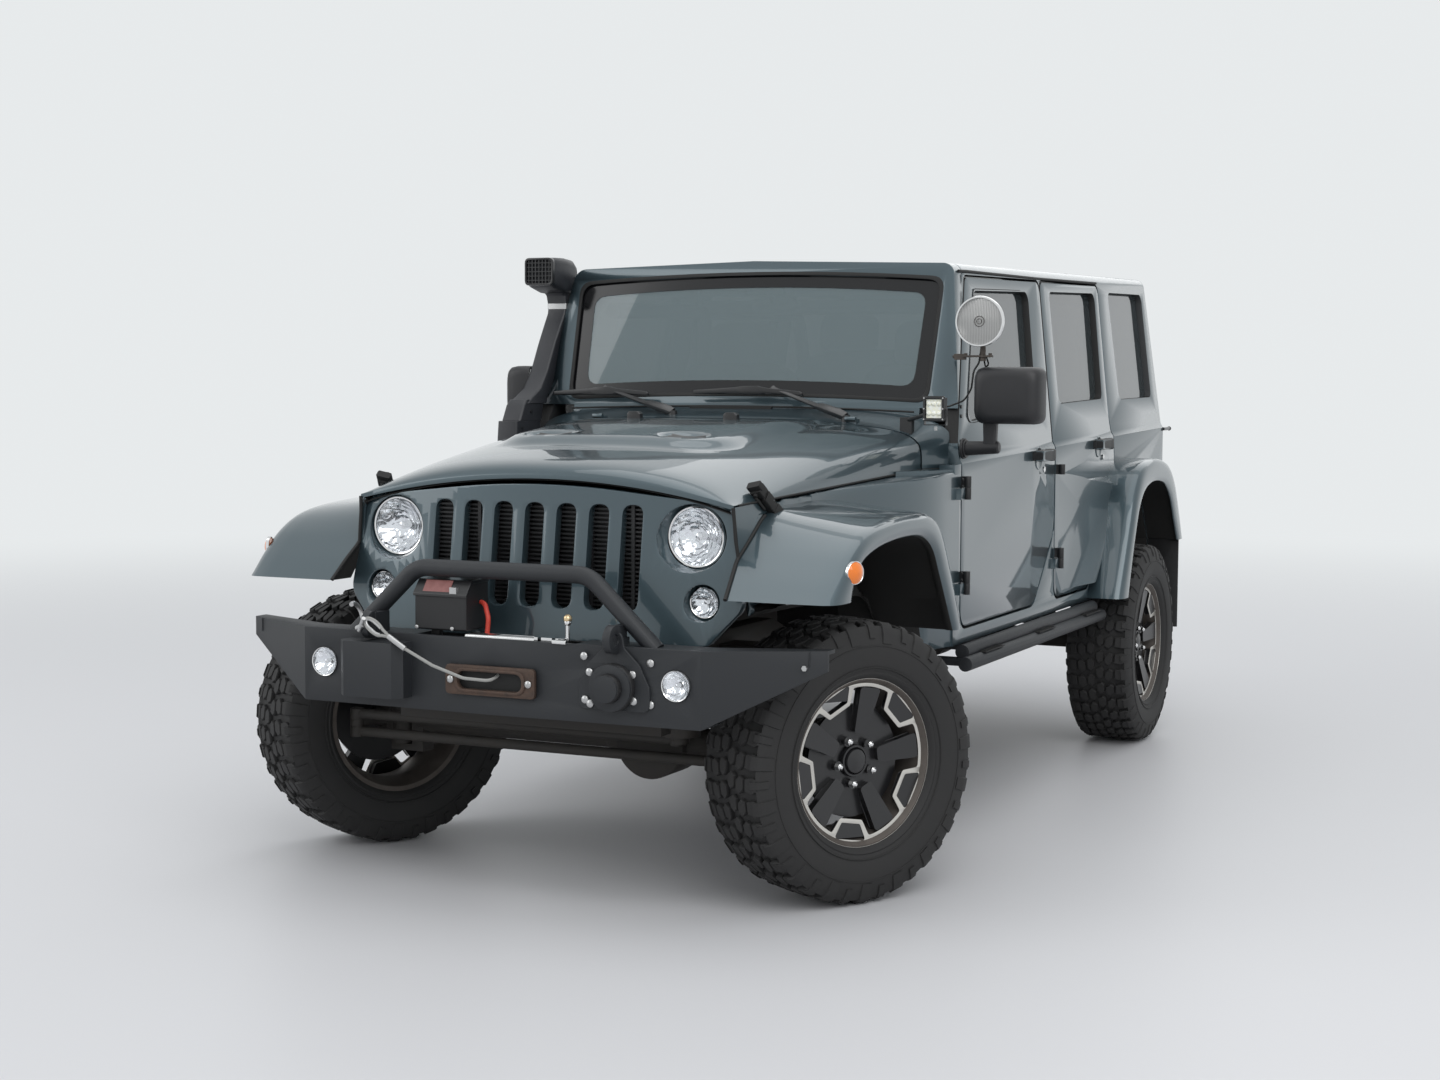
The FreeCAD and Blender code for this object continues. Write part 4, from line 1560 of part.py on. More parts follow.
def seat_piece(half, x, y, top, foot_rear):
    """A seat with its back and headrest, from its squab's rear edge and top."""
    low = top - d.seat_thick
    squab = prism("x", x - half, x + half, [
        (y - d.seat_depth, low, d.seat_radius), (y, low, d.seat_radius),
        (y, top - d.overrun, d.seat_radius), (y - d.seat_depth, top, d.seat_radius)])
    back = prism("x", x - half, x + half, [
        (y - d.seat_back_thick, low, d.seat_radius), (y, low, d.seat_radius),
        (y + d.seat_back_thick, top + d.seat_back_height, d.seat_radius),
        (y, top + d.seat_back_height, d.seat_radius)])
    head_low = top + d.seat_back_height - d.headrest_gap
    head_high = head_low + d.headrest_height
    rest = prism("x", x - half / 2, x + half / 2, [
        (y + d.overrun, head_low, d.seat_radius / 2),
        (y + d.seat_back_thick, head_low, d.seat_radius / 2),
        (y + d.seat_back_thick, head_high, d.seat_radius / 2),
        (y + d.overrun, head_high, d.seat_radius / 2)])
    foot = box(x - half + d.seat_radius, x + half - d.seat_radius, y - d.seat_depth + d.seat_radius,
               foot_rear, d.floor_z + d.floor_thick + d.slip, low + d.overrun)
    return fuse(squab, back, rest, foot)


bench_top = d.cargo_floor_z + d.floor_thick + d.slip + d.seat_thick
node("seats", *both(seat_piece(d.seat_half, d.seat_x, d.seat_y, d.seat_z, d.seat_y)),
     seat_piece(d.bench_half - d.overrun, 0 * d.seat_x, d.bench_y, bench_top,
                d.cargo_floor_front - d.floor_thick - d.slip))
dash = prism("x", -inner_half + d.wall, inner_half - d.wall, [
    (d.dash_front, d.dash_shelf), (d.dash_front, d.dash_low),
    (d.dash_rear - d.dash_radius, d.dash_low, d.dash_radius / 2),
    (d.dash_rear, d.dash_high - d.dash_radius, d.dash_radius / 2),
    (d.dash_rear - d.dash_radius / 2, d.dash_high, d.dash_radius / 4),
    (d.dash_back, d.dash_high), (d.dash_back, d.dash_shelf)])
lean = FreeCAD.Rotation(Vec(1, 0, 0), -SIZES["steering_lean"])
hoop_ring = doc.addObject("Part::Torus", "Ring")
bind(hoop_ring, "Radius1", d.wheel_hoop_radius)
bind(hoop_ring, "Radius2", d.wheel_hoop_tube)
hub = rod("z", 0, 0, 0, d.column_radius * 2, d.column_radius)
spoke = box(-d.wheel_hoop_radius, d.wheel_hoop_radius, -d.column_radius / 2, d.column_radius / 2,
            0 * d.slip, d.column_radius / 2)
column = rod("z", 0, 0, -d.wheel_hoop_radius, d.column_radius, d.wheel_hoop_radius)
steering = fuse(hoop_ring, hub, spoke, column)
steering.Placement = FreeCAD.Placement(Vec(d.steering_x, d.steering_y, d.steering_z), lean)
node("dashboard", fuse(dash, steering))
side_bars = []
for x in (d.bar_x,):
    foot_z = d.rear_arch_z + d.floor_thick + d.slip
    bar_piece = pipe([(x, d.bar_front, d.bar_z - d.bar_radius), (x, d.bar_rear, d.bar_z),
                      (x, d.bar_foot, foot_z + 2 * d.overrun), (x, d.bar_foot, foot_z)],
                     d.bar_radius, d.hoop_bend)
    hoop_post = rod("z", x, d.bar_mid, d.floor_z + d.floor_thick + d.slip, d.bar_radius,
                    d.bar_z - d.floor_z - d.floor_thick)
    side_bars += both(fuse(bar_piece, hoop_post))
cross_bar = rod("x", -d.bar_x, d.bar_mid, d.bar_z, d.bar_radius, 2 * d.bar_x)
node("roll_bar", fuse(*side_bars, cross_bar))

# Lamps with their stays, and wipers

spot = lamp(d.spot_x, d.spot_y, d.spot_z, d.spot_radius, d.spot_depth / 2)
spot_bowl = cone("y", d.spot_x, d.spot_y + d.spot_depth / 2 - d.slip, d.spot_z, d.spot_radius,
                 d.spot_radius / 3, d.spot_depth / 2)
pillar_x = d.skin_x - 3 * d.overrun
spot_stay = pipe([(d.spot_x, d.spot_y + d.spot_depth / 2, d.spot_z - d.spot_radius / 2),
                  (d.spot_x, d.spot_y + d.spot_depth / 2, d.spot_bracket_z),
                  (pillar_x, screen_y(d.spot_bracket_z - 2 * d.stay_radius) - d.seat_gap,
                   d.spot_bracket_z)],
                 d.stay_radius, d.overrun / 2)
cube = box(d.cube_x - d.cube_half, d.cube_x + d.cube_half, d.cube_y,
           d.cube_y + d.cube_depth, d.cube_z - d.cube_half, d.cube_z + d.cube_half)
cube_stay = bar((d.cube_x, d.cube_y + d.cube_depth / 2, d.bonnet_side_rear_z + d.slip),
                (d.cube_x, d.cube_y + d.cube_depth / 2, d.cube_z), d.stay_radius)
node("auxiliary_lamps", fuse(spot, spot_bowl, spot_stay), fuse(cube, cube_stay))
wipers = []
for x in (d.wiper_pivot_x, -d.wiper_pivot_x / 2):
    foot_z = d.bonnet_rear_z + d.overrun
    pivot = rod("z", x, d.cowl_rear - 3 * d.overrun, d.bonnet_rear_z + d.slip, d.wiper_radius * 2,
                2 * d.overrun)
    blade_z = d.screen_low_z + d.overrun
    blade_y = screen_y(blade_z) - d.wiper_radius * 3
    arm = bar((x, d.cowl_rear - 3 * d.overrun, foot_z), (x - d.wiper_arm / 2, blade_y, blade_z),
              d.wiper_radius)
    blade = bar((x - d.wiper_arm, blade_y, blade_z - d.overrun / 2),
                (x + d.wiper_length / 4, blade_y, blade_z + d.overrun / 2), d.wiper_radius)
    wipers.append(fuse(pivot, arm, blade))
node("wipers", *wipers)


doc.recompute()
os.makedirs("parts", exist_ok=True)
for item in doc.Objects:
    if "Invalid" in item.State or "Error" in item.State:
        raise RuntimeError("%s did not build" % item.Name)
for item in nodes:
    if item.Shape.isNull() or not item.Shape.isValid():
        raise RuntimeError("%s has no valid shape" % item.Label)
for item in nodes:
    item.Shape.exportStep("parts/%s.step" % item.Label)
    print(item.Label, len(item.Shape.Solids), round(item.Shape.Volume / 1e9, 4))
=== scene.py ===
"""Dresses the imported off-roader: its stage, finishes and the pieces that give it its looks."""

from math import copysign, cos, hypot, pi, radians, sin, tan, tau

import bmesh
import bpy
from mathutils import Matrix, Vector


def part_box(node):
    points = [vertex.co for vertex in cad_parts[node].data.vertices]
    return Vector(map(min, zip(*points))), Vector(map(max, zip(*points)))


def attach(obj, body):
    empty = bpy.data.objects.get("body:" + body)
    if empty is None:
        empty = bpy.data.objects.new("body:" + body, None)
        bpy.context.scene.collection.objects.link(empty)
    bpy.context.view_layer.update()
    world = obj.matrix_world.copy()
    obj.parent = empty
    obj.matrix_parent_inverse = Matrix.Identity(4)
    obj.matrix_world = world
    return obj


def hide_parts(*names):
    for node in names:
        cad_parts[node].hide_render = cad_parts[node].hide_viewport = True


bl_info = {
    "name": "Lifted Off-Roader",
    "version": (1, 0, 0),
    "blender": (4, 5, 0),
    "location": "3D View > Sidebar > Off-Roader",
    "description": "Builds the looks of a lifted four-door off-roader around its frame",
    "category": "Object",
}

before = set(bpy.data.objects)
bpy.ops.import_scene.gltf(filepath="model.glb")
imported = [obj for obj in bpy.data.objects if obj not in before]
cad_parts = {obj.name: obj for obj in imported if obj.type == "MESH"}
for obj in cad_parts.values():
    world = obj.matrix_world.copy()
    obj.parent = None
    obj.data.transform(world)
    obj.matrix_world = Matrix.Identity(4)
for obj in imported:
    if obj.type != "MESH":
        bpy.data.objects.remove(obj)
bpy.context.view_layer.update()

WHEELBASE = 2.946
# Distances along the vehicle in the notes below count from the front axle, which lies here.
AXLE_Y = (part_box("tyre_rear_left")[0].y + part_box("tyre_rear_left")[1].y) / 2 - WHEELBASE
SIDES = {"left": 1, "right": -1}


def at(x, y, z):
    """A place given from the front axle, in the frame's own coordinates."""
    return Vector((x, y + AXLE_Y, z))


# Shader expressions


class Wire:
    """A shader socket that can be used in sums."""

    def __init__(self, finish, socket):
        self.finish = finish
        self.socket = socket

    def __add__(self, other):
        return self.finish.maths("ADD", self, other)

    def __radd__(self, other):
        return self.finish.maths("ADD", other, self)

    def __mul__(self, other):
        return self.finish.maths("MULTIPLY", self, other)

    def __rmul__(self, other):
        return self.finish.maths("MULTIPLY", other, self)


class Finish:
    """A material or a world that is put together from expressions."""

    def __init__(self, owner, end="ShaderNodeOutputMaterial"):
        self.material = owner
        owner.use_nodes = True
        self.tree = owner.node_tree
        self.tree.nodes.clear()
        self.output = self.tree.nodes.new(end)

    def node(self, kind, settings=None, sockets=None, output=0):
        """Adds a node: its settings first, then the values or wires of its sockets."""
        made = self.tree.nodes.new(kind)
        for word, value in (settings or {}).items():
            if word == "stops":
                ramp = made.color_ramp
                while len(ramp.elements) < len(value):
                    ramp.elements.new(1.0)
                for element, (place, colour) in zip(ramp.elements, value):
                    element.position = place
                    element.color = colour
            else:
                setattr(made, word, value)
        for key, value in (sockets or {}).items():
            if isinstance(value, Wire):
                self.tree.links.new(value.socket, made.inputs[key])
            else:
                made.inputs[key].default_value = value
        return Wire(self, made.outputs[output])

    def maths(self, operation, first, second):
        return self.node("ShaderNodeMath", {"operation": operation}, {0: first, 1: second})

    def place(self):
        return self.node("ShaderNodeTexCoord", output=3)

    def facets(self, scale):
        return self.node("ShaderNodeTexVoronoi", None, {"Vector": self.place(), "Scale": scale})

    def noise(self, scale, detail=3.0, roughness=0.5, stretch=None):
        """Noise over the piece's own place, from 0 to 1."""
        where = self.place()
        if stretch:
            where = self.node("ShaderNodeVectorMath", {"operation": "MULTIPLY"},
                              {0: where, 1: stretch})
        return self.node("ShaderNodeTexNoise", None, {
            "Vector": where, "Scale": scale, "Detail": detail, "Roughness": roughness})

    def tint(self, mask, low, high):
        """A colour between two, by a mask."""
        return self.node("ShaderNodeMix", {"data_type": "RGBA"}, {
            0: mask, 6: (*low, 1.0), 7: (*high, 1.0)}, output=2)

    def bump(self, height, distance, strength=1.0):
        return self.node("ShaderNodeBump", None, {
            "Height": height, "Distance": distance, "Strength": strength})

    def surface(self, **sockets):
        """Ends the material with a Principled shader whose sockets are given by name."""
        values = {}
        for word, value in sockets.items():
            key = word.replace("_", " ")
            values[key] = (*value, 1.0) if isinstance(value, tuple) and len(value) == 3 else value
        return self.end(self.node("ShaderNodeBsdfPrincipled", None, values))

    def end(self, shader):
        self.tree.links.new(shader.socket, self.output.inputs["Surface"])
        return self.material


WALL = (0.8, 0.825, 0.835)

# Finishes that are even all over.
PLAIN = {
    "gloss_black": dict(Base_Color=(0.006, 0.006, 0.007), Roughness=0.12),
    "satin_black": dict(Base_Color=(0.01, 0.01, 0.011), Roughness=0.3, Coat_Weight=0.3,
                        Coat_Roughness=0.2),
    "seal_rubber": dict(Base_Color=(0.008, 0.008, 0.008), Roughness=0.7),
    "chrome": dict(Base_Color=(0.78, 0.78, 0.78), Metallic=1.0, Roughness=0.08),
    "zinc": dict(Base_Color=(0.5, 0.5, 0.5), Metallic=0.9, Roughness=0.35),
    "brass": dict(Base_Color=(0.72, 0.56, 0.34), Metallic=0.9, Roughness=0.3),
    "orange_red": dict(Base_Color=(0.55, 0.05, 0.03), Roughness=0.5),
    # The windscreen glass's pale teal colour is partly its own slight tint and partly painted
    # reflection: a haze that stands in for the sky reflected in it.
    "clear_glass": dict(Base_Color=(0.15, 0.2, 0.212), Roughness=0.02, Alpha=0.6,
                        Coat_Weight=1.0, Coat_Roughness=0.0),
    "tinted_glass": dict(Base_Color=(0.04, 0.052, 0.056), Roughness=0.02, Alpha=0.8,
                         Coat_Weight=1.0, Coat_Roughness=0.0),
    "lens_glass": dict(Base_Color=(0.97, 0.98, 1.0), Roughness=0.02, IOR=1.35,
                       Transmission_Weight=1.0),
    "amber_lens": dict(Base_Color=(0.85, 0.2, 0.01), Roughness=0.15, Coat_Weight=0.6),
    "red_lens": dict(Base_Color=(0.34, 0.006, 0.006), Roughness=0.12, Coat_Weight=0.8),
    "white_lens": dict(Base_Color=(0.75, 0.75, 0.75), Roughness=0.15, Coat_Weight=0.6)}

# Finishes with a fine grain: its scale, depth and strength, then colour and roughness.
GRAINED = {
    "black_plastic": (1400.0, 0.0003, 0.5, (0.012, 0.012, 0.013), 0.5),
    "seat_cloth": (700.0, 0.0008, 0.6, (0.016, 0.016, 0.017), 0.9),
    "cabin_trim": (800.0, 0.0004, 0.5, (0.03, 0.032, 0.034), 0.7),
    "snorkel_plastic": (1100.0, 0.0004, 0.5, (0.02, 0.021, 0.025), 0.42),
    "mirror_plastic": (900.0, 0.0005, 0.5, (0.014, 0.014, 0.016), 0.46)}

# Finishes with patches of dust: their noise, clean and dusty colour, metal, roughness and
# how much the dust adds to it.
DUSTY = {
    "chassis_black": ((14.0, 5.0, 0.65), (0.01, 0.01, 0.01), (0.04, 0.034, 0.028), 0.0, 0.55, 0.25),
    "cast_metal": ((30.0, 5.0, 0.65), (0.035, 0.032, 0.03), (0.12, 0.1, 0.085), 0.3, 0.6, 0.2),
    "liner": ((10.0, 4.0, 0.6), (0.006, 0.006, 0.006), (0.016, 0.015, 0.014), 0.0, 0.75, 0.15),
    "rusty_plate": ((45.0, 5.0, 0.7), (0.02, 0.019, 0.019), (0.14, 0.085, 0.06), 0.4, 0.45, 0.3),
    "rim_barrel": ((20.0, 4.0, 0.6), (0.06, 0.052, 0.046), (0.15, 0.13, 0.115), 0.4, 0.5, 0.2)}


def grained(f, scale, depth, strength, colour, roughness):
    return f.surface(Base_Color=colour, Roughness=roughness,
                     Normal=f.bump(f.noise(scale, 2.0), depth, strength))


def dusty(f, cloud, clean, dust_colour, metal, roughness, spread):
    dust = f.noise(*cloud)
    return f.surface(Base_Color=f.tint(dust, clean, dust_colour), Metallic=metal,
                     Roughness=roughness + dust * spread)


def paint(f):
    deep = tuple(bpy.context.scene.roader_colours.paint)
    light = tuple(min(1.0, channel * 1.16) for channel in deep)
    dark = tuple(channel * 0.86 for channel in deep)
    return f.surface(Base_Color=f.tint(f.noise(2600.0, 1.0), dark, light), Metallic=0.55,
                     Roughness=0.34, Coat_Weight=1.0, Coat_Roughness=0.03)


def powder_coat(f):
    return f.surface(Base_Color=tuple(bpy.context.scene.roader_colours.bumper), Roughness=0.52,
                     Specular_IOR_Level=0.45, Normal=f.bump(f.noise(900.0, 2.0), 0.0006, 0.6))


def tyre_rubber(f):
    dust = f.noise(9.0, 5.0, 0.6)
    return f.surface(Base_Color=f.tint(dust, (0.011, 0.011, 0.012), (0.024, 0.023, 0.022)),
                     Roughness=0.62 + dust * 0.2, Normal=f.bump(f.noise(240.0, 3.0), 0.0004, 0.5))


def machined(f):
    return f.surface(Base_Color=(0.62, 0.6, 0.56), Metallic=0.85,
                     Roughness=0.28 + f.noise(180.0, 2.0) * 0.1)


def reflector(f):
    return f.surface(Base_Color=(0.86, 0.87, 0.88), Metallic=1.0, Roughness=0.13,
                     Normal=f.bump(f.facets(46.0), 0.004, 0.8))


def rope_fibre(f):
    strands = f.noise(500.0, 2.0, stretch=(1.0, 1.0, 3.0))
    return f.surface(Base_Color=f.tint(strands, (0.22, 0.22, 0.21), (0.42, 0.42, 0.4)),
                     Roughness=0.8, Normal=f.bump(strands, 0.001, 0.8))


def ribbed_glass(f):
    rib_relief_and_sheen = f.node("ShaderNodeTexWave", {"wave_type": "BANDS", "bands_direction": "X"},
                  {"Vector": f.place(), "Scale": 60.0, "Distortion": 0.0}, output=1)
    # The lighter and darker bands along the ribs are painted highlights and shade of the fluted
    # lens; the same bands also give its real relief as a bump.
    return f.surface(Base_Color=f.tint(rib_relief_and_sheen, (0.24, 0.24, 0.235), (0.4, 0.4, 0.39)), Roughness=0.16,
                     Coat_Weight=1.0, Metallic=0.3, Normal=f.bump(rib_relief_and_sheen, 0.0012, 0.7))


def diode(f):
    return f.surface(Base_Color=f.tint(f.facets(160.0), (0.86, 0.84, 0.62), (0.9, 0.92, 0.9)),
                     Roughness=0.2, Coat_Weight=0.5)


def dull_red(f):
    return f.surface(Base_Color=f.tint(f.noise(60.0, 4.0), (0.16, 0.05, 0.045), (0.3, 0.13, 0.12)),
                     Roughness=0.4)


def seen_rays(f):
    """One for what the eye, a mirror or a glass sees, and nothing for the light on things."""
    camera, glossy, through_glass = (
        f.node("ShaderNodeLightPath", output="Is %s Ray" % kind)
        for kind in ("Camera", "Glossy", "Transmission"))
    return f.maths("MAXIMUM", f.maths("MAXIMUM", camera, glossy), through_glass)


def backdrop(f):
    """The studio's wall: even light, and a pale colour where it is seen."""
    soft = f.node("ShaderNodeBackground", None, {"Color": (0.9, 0.93, 0.97, 1), "Strength": 0.72})
    wall = f.node("ShaderNodeBackground", None, {"Color": (*WALL, 1), "Strength": 1.0})
    return f.end(f.node("ShaderNodeMixShader", None, {0: seen_rays(f), 1: soft, 2: wall}))


def studio_floor(f):
    """A pale floor that fades into the wall far away from the object."""
    near = f.node("ShaderNodeBsdfPrincipled", None, {
        "Base Color": (*bpy.context.scene.roader_colours.floor, 1.0), "Roughness": 0.45,
        "Specular IOR Level": 0.3})
    wall = f.node("ShaderNodeEmission", None, {"Color": (*WALL, 1), "Strength": 1.0})
    away = f.node("ShaderNodeVectorMath", {"operation": "LENGTH"}, {0: f.place()}, output=1)
    fade = f.node("ShaderNodeMapRange", {"interpolation_type": "SMOOTHSTEP"}, {
        0: away, 1: 3.0, 2: 13.0, 3: 0.0, 4: 1.0})
    return f.end(f.node("ShaderNodeMixShader", None, {0: fade * seen_rays(f), 1: near, 2: wall}))


MAKERS = {maker.__name__: maker for maker in (
    paint, powder_coat, tyre_rubber, machined, reflector, rope_fibre, ribbed_glass, diode,
    dull_red, studio_floor)}
FINISHES = {}


def finish(name):
    """The material of a name, made when it is first asked for."""
    if name not in FINISHES:
        f = Finish(bpy.data.materials.new(name.replace("_", " ").title()))
        if name in PLAIN:
            FINISHES[name] = f.surface(**PLAIN[name])
        elif name in GRAINED:
            FINISHES[name] = grained(f, *GRAINED[name])
        elif name in DUSTY:
            FINISHES[name] = dusty(f, *DUSTY[name])
        else:
            FINISHES[name] = MAKERS[name](f)
    return FINISHES[name]


# The frame's slot for a finish, where it isn't named as its finish is; a piece looks it up
# when its call gives no other, but does nothing more with it.
SLOTS = {word: slot for slot, words in (
    ("plastic_black", "black_plastic cabin_trim dull_red gloss_black mirror_plastic orange_red "
                      "satin_black snorkel_plastic"),
    ("chrome_trim", "brass cast_metal chrome zinc"),
    ("lamp_lens", "diode lens_glass reflector ribbed_glass white_lens"),
    ("rim_black", "machined rim_barrel"), ("bumper_black", "powder_coat rusty_plate"),
    ("rubber_black", "seal_rubber"), ("rope", "rope_fibre"), ("cloth", "seat_cloth"),
    ("tyre", "tyre_rubber")) for word in words.split()}


# Shapes


class Shape:
    """Gathers simple solids into one mesh and turns them into a piece."""

    def __init__(self, mesh=None):
        self.mesh = bmesh.new() if mesh is None else mesh

    def hull(self, rings, closed=True):
        """Skins a row of rings that have equal counts of points."""
        grid = [[self.mesh.verts.new(point) for point in ring] for ring in rings]
        count = len(grid[0])
        for ring, after in zip(grid, grid[1:]):
            for i in range(count):
                j = (i + 1) % count
                self.mesh.faces.new((ring[i], ring[j], after[j], after[i]))
        if closed:
            self.mesh.faces.new(list(reversed(grid[0])))
            self.mesh.faces.new(grid[-1])
        return self

    def box(self, low, high):
        low, high = Vector(low), Vector(high)
        rings = []
        for z in (low.z, high.z):
            rings.append([(low.x, low.y, z), (high.x, low.y, z), (high.x, high.y, z),
                          (low.x, high.y, z)])
        return self.hull(rings)

    def bar(self, start, end, radius, end_radius=None, sides=20):
        """A round bar or cone between two points."""
        start, end = Vector(start), Vector(end)
        turn = (end - start).to_track_quat("Z", "Y").to_matrix()
        rings = []
        for place, size in ((start, radius), (end, radius if end_radius is None else end_radius)):
            rings.append([place + turn @ Vector((size * cos(a), size * sin(a), 0))
                          for a in (tau * i / sides for i in range(sides))])
        return self.hull(rings)

    def lathe(self, profile, place, sides=64, closed=False):
        """Turns an outline of (along, radius) about the X axis of a placement matrix."""
        rings = []
        for i in range(sides):
            angle = tau * i / sides
            rings.append([place @ Vector((along, -radius * sin(angle),
                                          radius * cos(angle))) for along, radius in profile])
        grid = [[self.mesh.verts.new(point) for point in ring] for ring in rings]
        last = len(profile) if closed else len(profile) - 1
        for i in range(sides):
            ring, after = grid[i], grid[(i + 1) % sides]
            for k in range(last):
                n = (k + 1) % len(profile)
                self.mesh.faces.new((ring[k], ring[n], after[n], after[k]))
        return self

    def sweep(self, path, radius, sides=16):
        """A round tube along points."""
        path = [Vector(point) for point in path]
        rings = []
        up = None
        for i, point in enumerate(path):
            before = path[max(i - 1, 0)]
            after = path[min(i + 1, len(path) - 1)]
            run = (after - before).normalized()
            if up is None:
                up = run.orthogonal().normalized()
            up = (up - run * up.dot(run)).normalized()
            side = run.cross(up)
            rings.append([point + up * (radius * cos(a)) + side * (radius * sin(a))
                          for a in (tau * k / sides for k in range(sides))])
        return self.hull(rings)

    def ball(self, centre, radius, squeeze=(1, 1, 1)):
        where = Matrix.Translation(Vector(centre)) @ Matrix.Diagonal((*squeeze, 1))
        bmesh.ops.create_uvsphere(self.mesh, u_segments=24, v_segments=14, radius=radius,
                                  matrix=where)
        return self

    def piece(self, name, finish_name, body="chassis", slot=None, bevel=0.0, smooth=35.0,
              replaces=()):
        """Ends the mesh as an object that rides on a body."""
        name = name.replace(" ", "_")
        slot = slot or SLOTS.get(finish_name, finish_name)
        bmesh.ops.recalc_face_normals(self.mesh, faces=self.mesh.faces)
        data = bpy.data.meshes.new(name)
        self.mesh.to_mesh(data)
        self.mesh.free()
        made = bpy.data.objects.new(name, data)
        bpy.context.scene.collection.objects.link(made)
        if bevel:
            soften(made, bevel, 2)
        smooth_by_angle(data, smooth)
        data.materials.append(finish(finish_name))
        if body:
            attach(made, body)
        if replaces:
            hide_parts(*replaces)
        return made


def smooth_by_angle(data, degrees):
    """Smooths a mesh but for the edges sharper than an angle."""
    work = bmesh.new()
    work.from_mesh(data)
    limit = radians(degrees)
    for face in work.faces:
        face.smooth = True
    for edge in work.edges:
        edge.smooth = len(edge.link_faces) == 2 and edge.calc_face_angle(0.0) < limit
    work.to_mesh(data)
    work.free()


def soften(thing, width, segments=2, angle=30.0):
    """Rounds the sharp edges of an object."""
    rounding = thing.modifiers.new("Rounded edges", "BEVEL")
    rounding.width = width
    rounding.segments = segments
    rounding.limit_method = "ANGLE"
    rounding.angle_limit = radians(angle)
    rounding.harden_normals = True
    return rounding


def fillet(points, radius, steps=5, closed=True):
    """An outline or path with each corner turned into an arc."""
    points = [Vector(point) for point in points]
    count = len(points)
    made = []
    for i, here in enumerate(points):
        if not closed and i in (0, count - 1):
            made.append(here)
            continue
        back = points[i - 1] - here
        ahead = points[(i + 1) % count] - here
        half = back.angle(ahead) / 2
        trim = min(radius / tan(half), back.length * 0.48, ahead.length * 0.48)
        start = here + back.normalized() * trim
        end = here + ahead.normalized() * trim
        for k in range(steps + 1):
            t = k / steps
            made.append(start.lerp(here, t).lerp(here.lerp(end, t), t))
    return made


def route(places, radius, steps):
    """A line through places given from the front axle, with rounded bends."""
    return fillet([at(*place) for place in places], radius, steps, closed=False)


def dress(node, finish_name, bevel=0.0, smooth=35.0):
    """Gives a CAD node its finish and softened edges."""
    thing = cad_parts[node]
    thing.data.materials.clear()
    thing.data.materials.append(finish(finish_name))
    for polygon in thing.data.polygons:
        polygon.use_smooth = True
    weld = thing.modifiers.new("Weld", "WELD")
    weld.merge_threshold = 0.00002
    if bevel:
        plain = thing.modifiers.new("Plain faces", "DECIMATE")
        plain.decimate_type = "DISSOLVE"
        plain.angle_limit = radians(1.5)
        plain.delimit = {"MATERIAL"}
        soften(thing, bevel, 2, 25.0)
    else:
        split = thing.modifiers.new("Edges", "EDGE_SPLIT")
        split.split_angle = radians(smooth)
    return thing


def plate(outlines, low, high, bevel=0.0):
    """A flat plate with holes, as a bmesh: outlines of (a, b), thick along X from low to high."""
    curve = bpy.data.curves.new("Plate outline", "CURVE")
    curve.dimensions = "2D"
    curve.fill_mode = "BOTH"
    curve.extrude = (high - low) / 2 - bevel
    curve.bevel_depth = bevel
    curve.offset = -bevel
    curve.bevel_resolution = 1
    for outline in outlines:
        spline = curve.splines.new("POLY")
        spline.points.add(len(outline) - 1)
        for point, (a, b) in zip(spline.points, outline):
            point.co = (a, b, 0.0, 1.0)
        spline.use_cyclic_u = True
    holder = bpy.data.objects.new("Plate outline", curve)
    bpy.context.scene.collection.objects.link(holder)
    bpy.context.view_layer.update()
    flat = bpy.data.meshes.new_from_object(
        holder.evaluated_get(bpy.context.evaluated_depsgraph_get()))
    made = bmesh.new()
    made.from_mesh(flat)
    bpy.data.objects.remove(holder)
    bpy.data.curves.remove(curve)
    bpy.data.meshes.remove(flat)
    bmesh.ops.remove_doubles(made, verts=made.verts, dist=0.00001)
    middle = (low + high) / 2
    for vertex in made.verts:
        a, b, z = vertex.co
        vertex.co = (middle + z, a, b)
    return made


def join(shape, other, place=Matrix()):
    """Adds another bmesh to a shape at a place."""
    data = bpy.data.meshes.new("Part")
    other.to_mesh(data)
    other.free()
    data.transform(place)
    shape.mesh.from_mesh(data)
    bpy.data.meshes.remove(data)


def ring_of(radius, sides=72, centre=(0.0, 0.0)):
    """A round outline."""
    return [(centre[0] + radius * cos(tau * i / sides),
             centre[1] + radius * sin(tau * i / sides)) for i in range(sides)]


def turned(outline, angle):
    """An outline turned about its origin."""
    c, s = cos(angle), sin(angle)
    return [(a * c - b * s, a * s + b * c) for a, b in (tuple(point)[:2] for point in outline)]


# Wheels

# How far the front wheels are turned to the right at rest.
STEERED = radians(-28.9)
WHEELS = ("front_left", "front_right", "rear_left", "rear_right", "spare")


def wheel_place(wheel):
    """Where a wheel stands: X of the matrix points out of its face."""
    low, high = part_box("tyre_" + wheel)
    centre = (low + high) / 2
    if wheel == "spare":
        turn = radians(90)
    else:
        side = SIDES[wheel.split("_")[1]]
        steer = STEERED if wheel.startswith("front") else 0.0
        turn = steer + (0.0 if side > 0 else pi)
    return Matrix.Translation(centre) @ Matrix.Rotation(turn, 4, "Z")


def crown(along):
    """The tread's own radius at a distance from the tyre's middle."""
    return 0.3945 - 0.01 * (abs(along) / 0.115) ** 3


